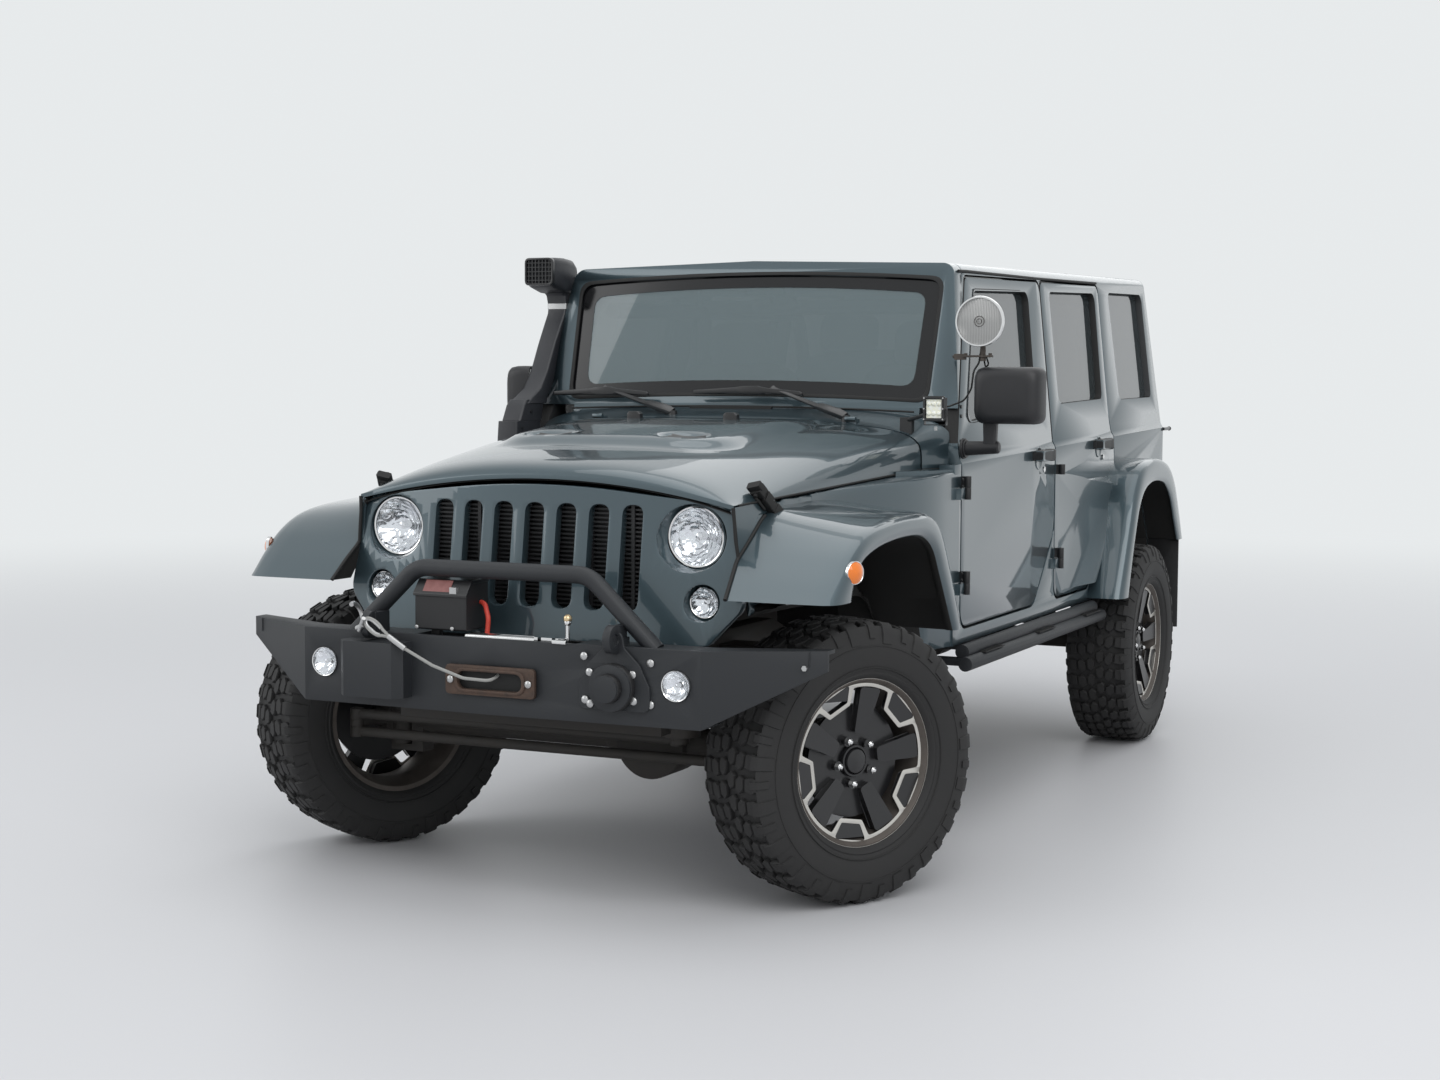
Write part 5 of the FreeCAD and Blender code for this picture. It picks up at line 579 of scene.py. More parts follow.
class Tread:
    """Blocks that stand on a tyre's carcass."""

    def __init__(self, shape, place, depth):
        self.shape = shape
        self.place = place
        self.depth = depth

    def point(self, along, radius, turn):
        return self.place @ Vector((along, radius * cos(turn), radius * sin(turn)))

    def block(self, corners):
        """A tread block over corners of (along, turn) with a small chamfer."""
        mid_a = sum(a for a, t in corners) / len(corners)
        mid_t = sum(t for a, t in corners) / len(corners)
        rings = []
        for sink, keep in ((self.depth + 0.004, 1.0), (0.0022, 1.0), (0.0, 0.91)):
            rings.append([self.point(mid_a + (a - mid_a) * keep, crown(a) - sink,
                                     mid_t + (t - mid_t) * keep) for a, t in corners])
        self.shape.hull(rings)

    def side_lug(self, side, turn, width, foot, proud):
        """A lug that falls over the shoulder onto the sidewall."""
        edge = [(0.1, 0.392), (0.1148, 0.3845), (0.12, 0.3745), (0.1258, 0.361), foot]
        back = (0.098, foot[1] - 0.004)
        rings = []
        for t, keep in ((turn - width / 2, 0.0), (turn - width / 2 * 0.86, 1.0),
                        (turn + width / 2 * 0.86, 1.0), (turn + width / 2, 0.0)):
            ring = [self.point(side * (a - proud * (1 - keep)), r - 0.5 * proud * (1 - keep), t)
                    for a, r in edge]
            ring.append(self.point(side * back[0], back[1], t))
            rings.append(ring)
        self.shape.hull(rings)


# Corners of tread blocks: how far they lie from the tyre's middle, and their share of a pitch.
INNER_BLOCKS = (
    ((0.003, 0.06), (0.0215, -0.1), (0.033, 0.08), (0.03, 0.52), (0.016, 0.68), (0.005, 0.5)),
    ((0.0395, 0.22), (0.056, 0.02), (0.07, 0.14), (0.068, 0.56), (0.052, 0.8), (0.037, 0.66)))


def tyre_piece(wheel, pitches, depth):
    shape = Shape()
    place = wheel_place(wheel)
    wall = [(0.1175, 0.372), (0.1235, 0.352), (0.1285, 0.33), (0.1295, 0.322), (0.129, 0.308),
            (0.1268, 0.282), (0.1215, 0.262), (0.118, 0.254), (0.1195, 0.25), (0.1165, 0.243),
            (0.106, 0.236)]
    profile = [(-0.098, 0.228)] + [(-a, r) for a, r in reversed(wall)]
    profile += [(-0.112, 0.3805), (-0.1, crown(0.1) - depth)]
    profile += [(a, crown(a) - depth) for a in (-0.06, 0.0, 0.06, 0.1)]
    profile += [(0.112, 0.3805)] + wall + [(0.098, 0.228)]
    shape.lathe(profile, place, 108)
    tread = Tread(shape, place, depth)
    step = tau / pitches
    for i in range(pitches):
        t = i * step
        for side in (1, -1):
            s = t if side > 0 else t + step * 0.5
            wide = i % 2 == 0
            outer = ((0.0765, 0.1), (0.101, 0.04), (0.112, 0.1), (0.112, 0.72 if wide else 0.62),
                     (0.1, 0.74), (0.074, 0.66))
            for block in (*INNER_BLOCKS, outer):
                tread.block([(side * along, s + step * share) for along, share in block])
            foot = (0.1302, 0.334) if wide else (0.1285, 0.348)
            tread.side_lug(side, s + step * (0.41 if wide else 0.36),
                           step * (0.66 if wide else 0.36), foot, 0.004)
    for side in (1, -1):
        for low, high, out in ((0.3255, 0.3275, 0.1308), (0.265, 0.2665, 0.1262)):
            shape.lathe([(side * 0.12, low - 0.003), (side * out, low), (side * out, high),
                         (side * 0.12, high + 0.003)], place, 108)
    name = "Tyre " + wheel.replace("_", " ")
    return shape.piece(name, "tyre_rubber", wheel_body(wheel), smooth=40,
                       replaces=("tyre_" + wheel,))


def wheel_body(wheel):
    return "tailgate" if wheel == "spare" else "wheel_" + wheel


def dished(mesh):
    """Sinks a wheel face towards its hub."""
    for vertex in mesh.verts:
        radius = hypot(vertex.co.y, vertex.co.z)
        vertex.co.x -= 0.03 * max(0.0, 1.0 - radius / 0.222)
    return mesh


def rim_pieces(wheel):
    place = wheel_place(wheel)
    phase = radians(8)
    body = wheel_body(wheel)
    name = wheel.replace("_", " ")
    shape = Shape()
    barrel = [(0.104, 0.2335), (0.1045, 0.23), (0.096, 0.2225), (0.086, 0.217), (0.04, 0.203),
              (-0.04, 0.196), (-0.088, 0.213), (-0.102, 0.22), (-0.104, 0.234), (-0.098, 0.234),
              (-0.092, 0.2235), (-0.05, 0.2045), (0.04, 0.208), (0.09, 0.224), (0.097, 0.2335)]
    shape.lathe(barrel, place, 96, closed=True)
    shape.piece("Rim barrel " + name, "rim_barrel", body, smooth=40, replaces=("rim_" + wheel,))
    window = fillet([(0.2205, -0.056), (0.2205, 0.056), (0.171, 0.0335), (0.171, -0.0335)], 0.007)
    pocket = fillet([(0.079, -0.019), (0.205, -0.0335), (0.205, 0.0335), (0.079, 0.019)], 0.009)
    turns = [phase + tau * i / 5 for i in range(5)]
    between = [turn + tau / 10 for turn in turns]

    def bowed(outline):
        return [(a - 0.5 * b * b / 0.2205 * (a > 0.2), b)
                for a, b in (tuple(point)[:2] for point in outline)]

    windows = [turned(bowed(window), turn) for turn in between]
    face = Shape()
    outlines = [ring_of(0.2235, 96)] + windows
    outlines += [turned(pocket, turn) for turn in turns]
    outlines += [turned(ring_of(0.0125, 20, (0.0635, 0.0)), turn) for turn in between]
    join(face, dished(plate(outlines, 0.066, 0.0905, 0.0022)), place)
    deep = [ring_of(0.158, 64)]
    join(face, dished(plate(deep, 0.052, 0.062)), place)
    face.lathe([(0.03, 0.0), (0.0775, 0.0), (0.0765, 0.02), (0.072, 0.0325), (0.06, 0.0375),
                (0.03, 0.0375)], place, 48)
    face.lathe([(0.062, 0.046), (0.0665, 0.044), (0.0665, 0.0385), (0.06, 0.0385)], place, 48)
    face.piece("Wheel face " + name, "satin_black", body, slot="rim_black", smooth=30)

    band = Shape()
    inner = []
    for turn in turns:
        half = radians(17.5)
        for k in range(9):
            a = turn + half * (k / 4 - 1)
            inner.append((0.2105 * cos(a), 0.2105 * sin(a)))
        middle = turn + tau / 10
        inner += turned([(0.159, -0.0395), (0.159, 0.0395)], middle)
    inner = flat(inner, 0.009, 3)
    outlines = [ring_of(0.2315, 120), inner] + windows
    join(band, dished(plate(outlines, 0.09, 0.0918, 0.0004)), place)
    band.lathe([(0.0935, 0.2225), (0.094, 0.23), (0.1, 0.2318), (0.1048, 0.2338),
                (0.1048, 0.2344), (0.09, 0.2344), (0.09, 0.2225)], place, 120, closed=True)
    band.piece("Machined band " + name, "machined", body, smooth=30)

    nuts = Shape()
    for turn in between:
        centre = Vector((0.0, 0.0635 * cos(turn), 0.0635 * sin(turn)))
        ends = [place @ (centre + Vector((x, 0, 0))) for x in (0.055, 0.08, 0.085)]
        nuts.bar(ends[0], ends[1], 0.0095, sides=6)
        nuts.bar(ends[1], ends[2], 0.0085, 0.0045, sides=12)
    nuts.piece("Wheel nuts " + name, "chrome", body, bevel=0.0006)


# Places and surfaces of the body


def facing(point, pitch=0.0):
    """A matrix whose X points forward out of the vehicle, Y to its left and Z up."""
    turn = Matrix.Rotation(radians(-90), 4, "Z") @ Matrix.Rotation(pitch, 4, "Y")
    return Matrix.Translation(point) @ turn


def rounded_ring(half_a, half_b, radius, steps=4):
    """A rounded rectangle about the origin."""
    corners = [(half_a, half_b), (-half_a, half_b), (-half_a, -half_b), (half_a, -half_b)]
    return flat(corners, radius, steps)


def flat(outline, radius, steps=5):
    """An outline of (a, b) with its corners turned into arcs."""
    return [tuple(point)[:2] for point in fillet([(*c, 0.0) for c in outline], radius, steps)]


def corner_arc(outline, i, radius, steps):
    """The arc that rounds one corner of an outline of (a, b)."""
    trio = (outline[i - 1], outline[i], outline[(i + 1) % len(outline)])
    arc = fillet([(*corner, 0.0) for corner in trio], radius, steps, closed=False)
    return [tuple(point)[:2] for point in arc[1:-1]]


def shifted(outline, a, b):
    return [(x + a, y + b) for x, y in outline]


def grille_front(x, z):
    """How far back the grille's face is at a place across the front."""
    return -0.398 + (z - 0.96) * 0.13698 + x * x / 7.0


def skin_at(z):
    """The side skin's distance from the middle above the belt line."""
    return 0.789 - 0.1413 * max(0.0, z - 1.2)


def slice_mesh(mesh, axis, low, high, step):
    """Cuts a mesh by parallel planes so that it can be bent."""
    normal = Vector([1.0 if i == axis else 0.0 for i in range(3)])
    place = low
    while place < high:
        bmesh.ops.bisect_plane(mesh, geom=mesh.verts[:] + mesh.edges[:] + mesh.faces[:],
                               plane_co=normal * place, plane_no=normal)
        place += step


def mark(node, finish_name, test):
    """Gives another finish to the faces of a CAD node that pass a test of place and normal."""
    mark_faces(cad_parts[node], finish_name, test)


def mark_faces(thing, finish_name, test):
    index = len(thing.data.materials)
    thing.data.materials.append(finish(finish_name))
    place = thing.matrix_world
    turn = place.to_3x3()
    for polygon in thing.data.polygons:
        centre = place @ polygon.center
        centre.y -= AXLE_Y
        if test(centre, (turn @ polygon.normal).normalized()):
            polygon.material_index = index


def towards_wheel(centre, normal):
    """Whether a face looks at the nearer wheel."""
    hub = Vector((0.0, 0.0 if centre.y < 1.4 else WHEELBASE, 0.42))
    way = hub - Vector((0.0, centre.y, centre.z))
    return 0.25 < way.length < 0.8 and way.normalized().dot(normal) > 0.3


BODY_SIDE = 0.8005
DOOR_GAPS = (0.944, 2.012)


def near_door_gap(centre, _normal):
    return abs(centre.x) > BODY_SIDE and any(abs(centre.y - y) < 0.013 for y in DOOR_GAPS)


def trim_nodes():
    """Darkens the hidden sides of the painted nodes: wheel arches, underside and cabin."""
    def inward(centre, normal):
        return centre.x * normal.x < -0.3 * abs(centre.x)

    mark("body_tub", "liner", lambda c, n: n.z < -0.5 or (abs(c.x) < 0.79 and
         c.z < 0.95 and towards_wheel(c, n)) or (abs(c.x) < 0.77 and c.y > 0.985 and
                                                 not (c.y > 3.55 and n.y > 0.3)))
    mark("body_tub", "liner", lambda c, n: c.y < 0.92 and (n.y < -0.5 and c.z < 1.15) and
         abs(c.x) < 0.7)
    for word in ("front_left", "front_right", "rear_left", "rear_right"):
        mark("door_" + word, "cabin_trim", lambda c, n: inward(c, n) and abs(c.x) < 0.79)
        mark("door_" + word, "seal_rubber", lambda c, n: c.z > 1.25 and abs(n.x) < 0.35)
        mark("door_" + word, "black_plastic", near_door_gap)
    mark("body_tub", "black_plastic", near_door_gap)
    mark("hard_top", "seal_rubber", lambda c, n: c.z < 1.79 and 2.9 < c.y < 3.58 and
         abs(c.x) > 0.66 and abs(n.x) < 0.35)
    mark("hard_top", "cabin_trim", lambda c, n: n.z < -0.4 or inward(c, n) or
         (n.y < -0.5 and c.y > 3.4))
    mark("windscreen_frame", "cabin_trim", lambda c, n: n.y > 0.4 or inward(c, n))
    mark("tailgate", "cabin_trim", lambda c, n: n.y < -0.5)


def rounded_copy(node, name, voxel, rounds, body):
    """A copy of a CAD node with an even skin and soft edges, which takes its place."""
    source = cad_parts[node]
    rough = bpy.data.objects.new(name + "_rough", source.data.copy())
    bpy.context.scene.collection.objects.link(rough)
    rough.matrix_world = source.matrix_world
    skin = rough.modifiers.new("Even skin", "REMESH")
    skin.mode = "VOXEL"
    skin.voxel_size = voxel
    soft = rough.modifiers.new("Rounded", "SMOOTH")
    soft.factor = 0.5
    soft.iterations = rounds
    bpy.context.view_layer.update()
    seen = rough.evaluated_get(bpy.context.evaluated_depsgraph_get())
    data = bpy.data.meshes.new_from_object(seen)
    made = bpy.data.objects.new(name, data)
    made.matrix_world = source.matrix_world
    bpy.context.scene.collection.objects.link(made)
    bpy.data.objects.remove(rough)
    data.materials.clear()
    data.materials.append(finish("paint"))
    for polygon in data.polygons:
        polygon.use_smooth = True
        polygon.material_index = 0
    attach(made, body)
    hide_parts(node)
    return made


FLARES = (
    ("front", 0.0, 0.56, 0.04,
     ((-0.462, 0.864), (-0.385, 0.934), (-0.3, 0.998), (-0.2, 1.042), (-0.06, 1.064),
      (0.14, 1.074), (0.3, 1.066), (0.395, 1.026), (0.462, 0.94), (0.53, 0.82),
      (0.592, 0.7)),
     ((-0.33, 0.864), (-0.318, 0.905), (-0.285, 0.945), (-0.22, 0.974), (-0.1, 0.996),
      (0.07, 1.006), (0.22, 0.998), (0.31, 0.958), (0.372, 0.88), (0.44, 0.785),
      (0.5, 0.7))),
    ("rear", WHEELBASE, 0.765, 0.0,
     ((-0.484, 0.612), (-0.42, 0.735), (-0.352, 0.868), (-0.278, 1.002), (-0.175, 1.096),
      (-0.04, 1.128), (0.12, 1.128), (0.268, 1.1), (0.365, 1.035), (0.44, 0.93),
      (0.524, 0.78)),
     ((-0.378, 0.612), (-0.34, 0.72), (-0.29, 0.84), (-0.23, 0.945), (-0.15, 1.01),
      (-0.04, 1.04), (0.09, 1.04), (0.2, 1.018), (0.285, 0.962), (0.35, 0.875),
      (0.42, 0.78))))


FLARE_EDGE = ((-0.462, 0.624), (-0.408, 0.617), (-0.35, 0.608), (-0.313, 0.615), (-0.262, 0.621),
              (-0.185, 0.622), (-0.11, 0.6), (-0.02, 0.56), (0.6, 0.56))


def curve_through(points, steps):
    """Places along a smooth line through flat points."""
    lines = [[(i, point[axis]) for i, point in enumerate(points)] for axis in (0, 1)]
    last = len(points) - 1
    return [tuple(through(line, last * k / steps) for line in lines) for k in range(steps + 1)]


def fender_pieces():
    made = rounded_copy("fenders", "Fenders", 0.009, 6, "chassis")
    work = bmesh.new()
    work.from_mesh(made.data)
    place = made.matrix_world
    extra = []
    for face in work.faces:
        centre = place @ face.calc_center_median()
        y = centre.y - AXLE_Y
        if y > 1.0 or abs(centre.x) > bonnet_half(min(y, 0.842)) + 0.012:
            extra.append(face)
    bmesh.ops.delete(work, geom=extra, context="FACES")
    work.to_mesh(made.data)
    work.free()
    mark_faces(made, "liner", lambda c, n: c.x * n.x < -0.3 * abs(c.x) or n.z < -0.6 or
               towards_wheel(c, n))
    section = ((0.3, 0.0, 0.55), (0.75, 0.0, 0.1), (0.885, 0.02, 0.0), (0.94, 0.09, 0.0),
               (0.972, 0.19, 0.0), (0.99, 0.32, 0.0), (1.0, 0.5, 0.0), (1.0, 0.74, 0.0),
               (0.992, 0.9, 0.0), (0.975, 0.985, 0.0), (0.95, 1.0, 0.0), (0.925, 0.975, 0.0),
               (0.9, 0.86, 0.0), (0.6, 0.72, 0.0))
    for name, axle, inner, rise, top, arch in FLARES:
        outer_line = curve_through(top, 60)
        arch_line = curve_through(arch, 60)
        for word, side in SIDES.items():
            rings = []
            rim = []
            for k, ((y, z), (arch_y, arch_z)) in enumerate(zip(outer_line, arch_line)):
                lift = rise * step_between(8, 22, k) * (1 - step_between(36, 52, k))
                if name == "front":
                    inner = edge_at(y)
                    if y < -0.18:
                        rim.append((inner, y, z + lift))
                ring = [at(side * inner, axle + y, z + lift)]
                for reach, share, part in section:
                    ring.append(at(side * (inner + (0.9385 - inner) * reach),
                                   axle + y + (arch_y - y) * share,
                                   z + (arch_z - z) * share + lift * part))
                ring.append(at(side * inner, axle + y + (arch_y - y) * 0.7, z + (arch_z - z) * 0.7))
                rings.append(ring)
            flare = Shape().hull(rings).piece("Flare %s %s" % (name, word), "paint", smooth=42,
                                              replaces=("fenders",))
            mark_faces(flare, "liner", lambda c, n: abs(c.x) < 0.925 and (
                c.x * n.x < -0.35 * abs(c.x) or (towards_wheel(c, n) and n.z < 0.0)))
            if name == "front":
                cheek_pieces(side, word, rim)


def edge_at(y):
    """Where a front flare ends beside the grille."""
    for (low, start), (high, end) in zip(FLARE_EDGE, FLARE_EDGE[1:]):
        if y <= high:
            return start + (end - start) * max(0.0, (y - low) / (high - low))
    return FLARE_EDGE[-1][1]


def cheek_pieces(side, word, rim):
    """The body's corner between the grille and a front flare, with the black gaps around it."""
    rings = []
    upper = [point for point in rim if point[1] > BONNET_FRONT]
    for x, y, z in upper + [(0.612, -0.15, 1.066), (0.604, -0.11, 1.07)]:
        top_x = 0.5975 + (y - BONNET_FRONT) * 0.0854 - (0.006 if y > -0.16 else 0.0)
        top_z = 1.1035 + (y - BONNET_FRONT) * 0.0469
        ring = [at(side * (x + 0.003 + (top_x - x - 0.003) * t), y,
                   z - 0.006 + (top_z - z + 0.006) * t) for t in (0.0, 0.25, 0.5, 0.75, 1.0)]
        ring += [at(side * (top_x - 0.012), y, top_z), at(side * (x - 0.012), y, z - 0.006)]
        rings.append(ring)
    Shape().hull(rings).piece("Fender cheek " + word, "paint", smooth=40)
    gaps = Shape()
    gaps.sweep([at(side * (x + 0.001), y - 0.0015, z + 0.0015) for x, y, z in rim], 0.0055, 8)
    x, y, z = upper[0]
    gaps.sweep([at(side * 0.5975, -0.3545, 1.103), at(side * 0.6, -0.35, 1.06),
                at(side * 0.6035, -0.35, 1.016), at(side * x, y - 0.0015, z + 0.001)], 0.0052, 8)
    gaps.piece("Fender gaps " + word, "seal_rubber", smooth=60)


# Grille and lamps


def grille_pieces():
    edge = [(0.537, 0.7265), (0.6295, 0.831), (0.5915, 1.1055), (0.0, 1.168),
            (-0.5915, 1.1055), (-0.6295, 0.831), (-0.537, 0.7265)]
    radii = (0.031, 0.062, 0.062, 2.6, 0.062, 0.062, 0.031)
    outline = []
    for i, radius in enumerate(radii):
        outline += corner_arc(edge, i, radius, 14)
    holes = []
    for i in range(7):
        x = (i - 3) * 0.1005
        holes.append(shifted(rounded_ring(0.03, 0.144, 0.0298, 8), x, 0.9585))
    for side in (1, -1):
        holes.append([(side * 0.474 + 0.0985 * c, 1.0165 + 0.0925 * d) for c, d in ring_of(1.0)])
        holes.append(ring_of(0.05, 48, (side * 0.514, 0.843)))
    mesh = plate([outline] + holes, -0.034, 0.0, 0.003)
    slice_mesh(mesh, 1, -0.62, 0.63, 0.024)
    for vertex in mesh.verts:
        depth, x, z = vertex.co
        vertex.co = at(x, grille_front(x, z) - depth, z)
    shape = Shape(mesh)
    for side in (1, -1):
        for mouth, floor in (((0.474, 1.0165, 0.0987, 0.0927), (0.479, 1.02, 0.0865, 0.0865)),
                             ((0.514, 0.843, 0.0502, 0.0502), (0.515, 0.844, 0.044, 0.044))):
            rings = []
            for share in (0.0, 0.35, 1.0):
                x, z, half_x, half_z = (a + (b - a) * share for a, b in zip(mouth, floor))
                rings.append([at(side * x + half_x * a,
                                 grille_front(side * x + half_x * a, z + half_z * b) + 0.006
                                 + 0.026 * share, z + half_z * b) for a, b in ring_of(1.0)])
            shape.hull(rings, closed=False)
    shape.piece("Grille shell", "paint", smooth=28, replaces=("grille",))
    fins = Shape()
    for i in range(26):
        z = 0.806 + i * 0.0122
        fins.box(at(-0.342, -0.35, z), at(0.342, -0.336, z + 0.0052))
    fins.box(at(-0.345, -0.333, 0.79), at(0.345, -0.329, 1.118))
    for x in (-0.2, -0.085, 0.03, 0.16, 0.29):
        fins.box(at(x, -0.354, 0.8), at(x + 0.01, -0.334, 1.115))
    fins.piece("Radiator fins", "black_plastic")


def round_lamp(name, point, radius, depth, ring, proud=0.01, pitch=0.0, replaces=()):
    """A round lamp: chrome ring, faceted bowl, bulb shield and a domed lens."""
    place = facing(point, pitch)
    trim = Shape()
    trim.lathe([(-0.012, radius + ring), (0.0, radius + ring), (0.0045, radius + ring * 0.55),
                (0.003, radius), (-0.004, radius - 0.001), (-0.012, radius)], place, 96,
               closed=True)
    trim.piece(name + " ring", "chrome", smooth=30)
    bowl = Shape()
    steps = 10
    profile = [(-0.002 - depth * (1 - (k / steps) ** 2), max(0.0012, radius * 0.99 * k / steps))
               for k in range(steps + 1)]
    bowl.lathe(profile + [(-0.006, radius), (-0.01 - depth, radius * 0.6),
                          (-0.012 - depth, 0.0012)], place, 72)
    bowl.piece(name + " bowl", "reflector", smooth=50)
    bulb = Shape()
    bulb.lathe([(-depth, radius * 0.15), (-depth * 0.4, radius * 0.15),
                (-depth * 0.28, radius * 0.12), (-depth * 0.22, 0.0008)], place, 24)
    bulb.piece(name + " bulb", "chrome", slot="lamp_lens", smooth=40)
    lens = Shape()
    outer = [(proud * (1 - (k / steps) ** 2) + 0.0015, max(0.0008, radius * 0.995 * k / steps))
             for k in range(steps + 1)]
    inner = [(along - 0.0025, r) for along, r in reversed(outer)]
    lens.lathe(outer + inner, place, 72)
    lens.piece(name + " lens", "lens_glass", smooth=50, replaces=replaces)


def lamp_pieces():
    replaces = ("clear_lamps",)
    for word, side in SIDES.items():
        x, z = side * 0.479, 1.02
        round_lamp("Headlamp " + word, at(x, grille_front(x, z) + 0.024, z), 0.079, 0.05,
                   0.0075, 0.016, replaces=replaces)
        x, z = side * 0.515, 0.844
        round_lamp("Park lamp " + word, at(x, grille_front(x, z) + 0.02, z), 0.04, 0.022,
                   0.004, 0.01, replaces=replaces)
        x, z = side * 0.551, 0.65
        round_lamp("Fog lamp " + word, at(x, -0.6055, z), 0.0385, 0.024, 0.004, 0.012,
                   replaces=replaces)
        shape = Shape()
        across = Matrix.Translation(at(side * 0.942, -0.333, 0.941)) @ Matrix.Rotation(
            radians(-22 if side > 0 else 202), 4, "Z")
        shape.lathe([(0.011 * (1 - (k / 8) ** 2) + 0.002, max(0.0006, 0.0285 * k / 8))
                     for k in range(9)] + [(-0.004, 0.0285), (-0.004, 0.0006)], across, 48)
        shape.piece("Side marker " + word, "amber_lens", replaces=("side_markers",))
        shape = Shape()
        shape.lathe([(-0.006, 0.031), (0.002, 0.031), (0.003, 0.03), (0.002, 0.0287),
                     (-0.006, 0.0287)], across, 48, closed=True)
        shape.piece("Side marker ring " + word, "chrome", smooth=40)


# Windscreen, windows and seals


def screen_front(z):
    """The windscreen's face at a height."""
    return 1.01 + (z - 1.378) * 0.28764


def screen_outline(shrink):
    """The windscreen's edge, drawn in by a distance."""
    low, top = 1.378 + shrink, 1.776 - shrink
    half_low, half_top = 0.656 - shrink, 0.668 - shrink

    def arched(half, z, rise):
        return [(half * (1 - 2 * share), z + rise * 4 * share * (1 - share) * 0.9)
                for share in (k / 12 for k in range(1, 12))]

    corners = [(half_low, low), (half_top, top), *arched(half_top, top, 0.028),
               (-half_top, top), (-half_low, low), *arched(-half_low, low, 0.02)]
    soft = []
    for i, here in enumerate(corners):
        soft += corner_arc(corners, i, 0.046, 6) if i in (0, 1, 13, 14) else [here]
    return soft


def lay_on(mesh, where):
    """Bends a flat plate: its depth, a and b go through a function."""
    for vertex in mesh.verts:
        depth, a, b = vertex.co
        vertex.co = where(depth, a, b)
    return mesh


def screen_pieces():
    def on_screen(depth, x, z):
        return at(x, screen_front(z) - depth, z)

    border = [(x, z) for x, z in screen_outline(0.05)]
    border = [(x * 0.995, z + (0.004 if z > 1.6 else -0.004)) for x, z in border]
    mesh = plate([screen_outline(0.002), border], -0.0112, -0.0102)
    Shape(lay_on(mesh, on_screen)).piece("Windscreen border", "gloss_black", smooth=30)
    mesh = plate([screen_outline(-0.007), screen_outline(0.005)], -0.006, 0.0022, 0.0018)
    Shape(lay_on(mesh, on_screen)).piece("Windscreen seal", "seal_rubber", smooth=30)
    shape = Shape()
    shape.ball(at(0.02, 1.235, 1.7), 0.05, (1.8, 0.35, 0.62))
    shape.bar(at(0.02, 1.235, 1.7), at(0.02, 1.15, 1.765), 0.009)
    shape.box(at(-0.045, 1.15, 1.735), at(0.085, 1.175, 1.79))
    shape.piece("Cabin mirror", "black_plastic", smooth=40)


WINDOW_EDGES = {
    "front": ((1.074, 1.309), (1.85, 1.352), (1.922, 1.76), (1.311, 1.743)),
    "rear": ((2.14, 1.357), (2.738, 1.371), (2.815, 1.786), (2.185, 1.77)),
    "quarter": ((2.998, 1.366), (3.52, 1.372), (3.56, 1.806), (3.018, 1.796))}


def grown(outline, by):
    """A four-sided outline pushed out by a distance."""
    middle = (sum(a for a, b in outline) / 4, sum(b for a, b in outline) / 4)
    return [(a + copysign(by, a - middle[0]), b + copysign(by, b - middle[1])) for a, b in outline]


def window_pieces():
    for word, side in SIDES.items():
        for window, corners in WINDOW_EDGES.items():
            body = "chassis" if window == "quarter" else "door_%s_%s" % (window, word)

            def on_side(depth, y, z, side=side):
                return at(side * (skin_at(z) + depth), y, z)

            mesh = plate([flat(grown(corners, 0.007), 0.041), flat(grown(corners, -0.005), 0.029)],
                         -0.01, 0.0016, 0.0012)
            Shape(lay_on(mesh, on_side)).piece("Window seal %s %s" % (window, word), "seal_rubber",
                body, smooth=30)
            mesh = plate([flat(grown(corners, -0.001), 0.033), flat(grown(corners, -0.024), 0.018)],
                         -0.0232, -0.0222)
            Shape(lay_on(mesh, on_side)).piece("Window border %s %s" % (window, word),
                "gloss_black", body, smooth=30)
        gutter = Shape()
        rail = [at(side * 0.7065, 1.168, 1.802), at(side * 0.7055, 1.26, 1.8045),
                at(side * 0.705, 2.04, 1.813), at(side * 0.7035, 2.86, 1.8275)]
        gutter.sweep(rail, 0.0048, 10)
        gutter.piece("Roof gutter " + word, "seal_rubber", smooth=60)


# Snorkel and mirrors


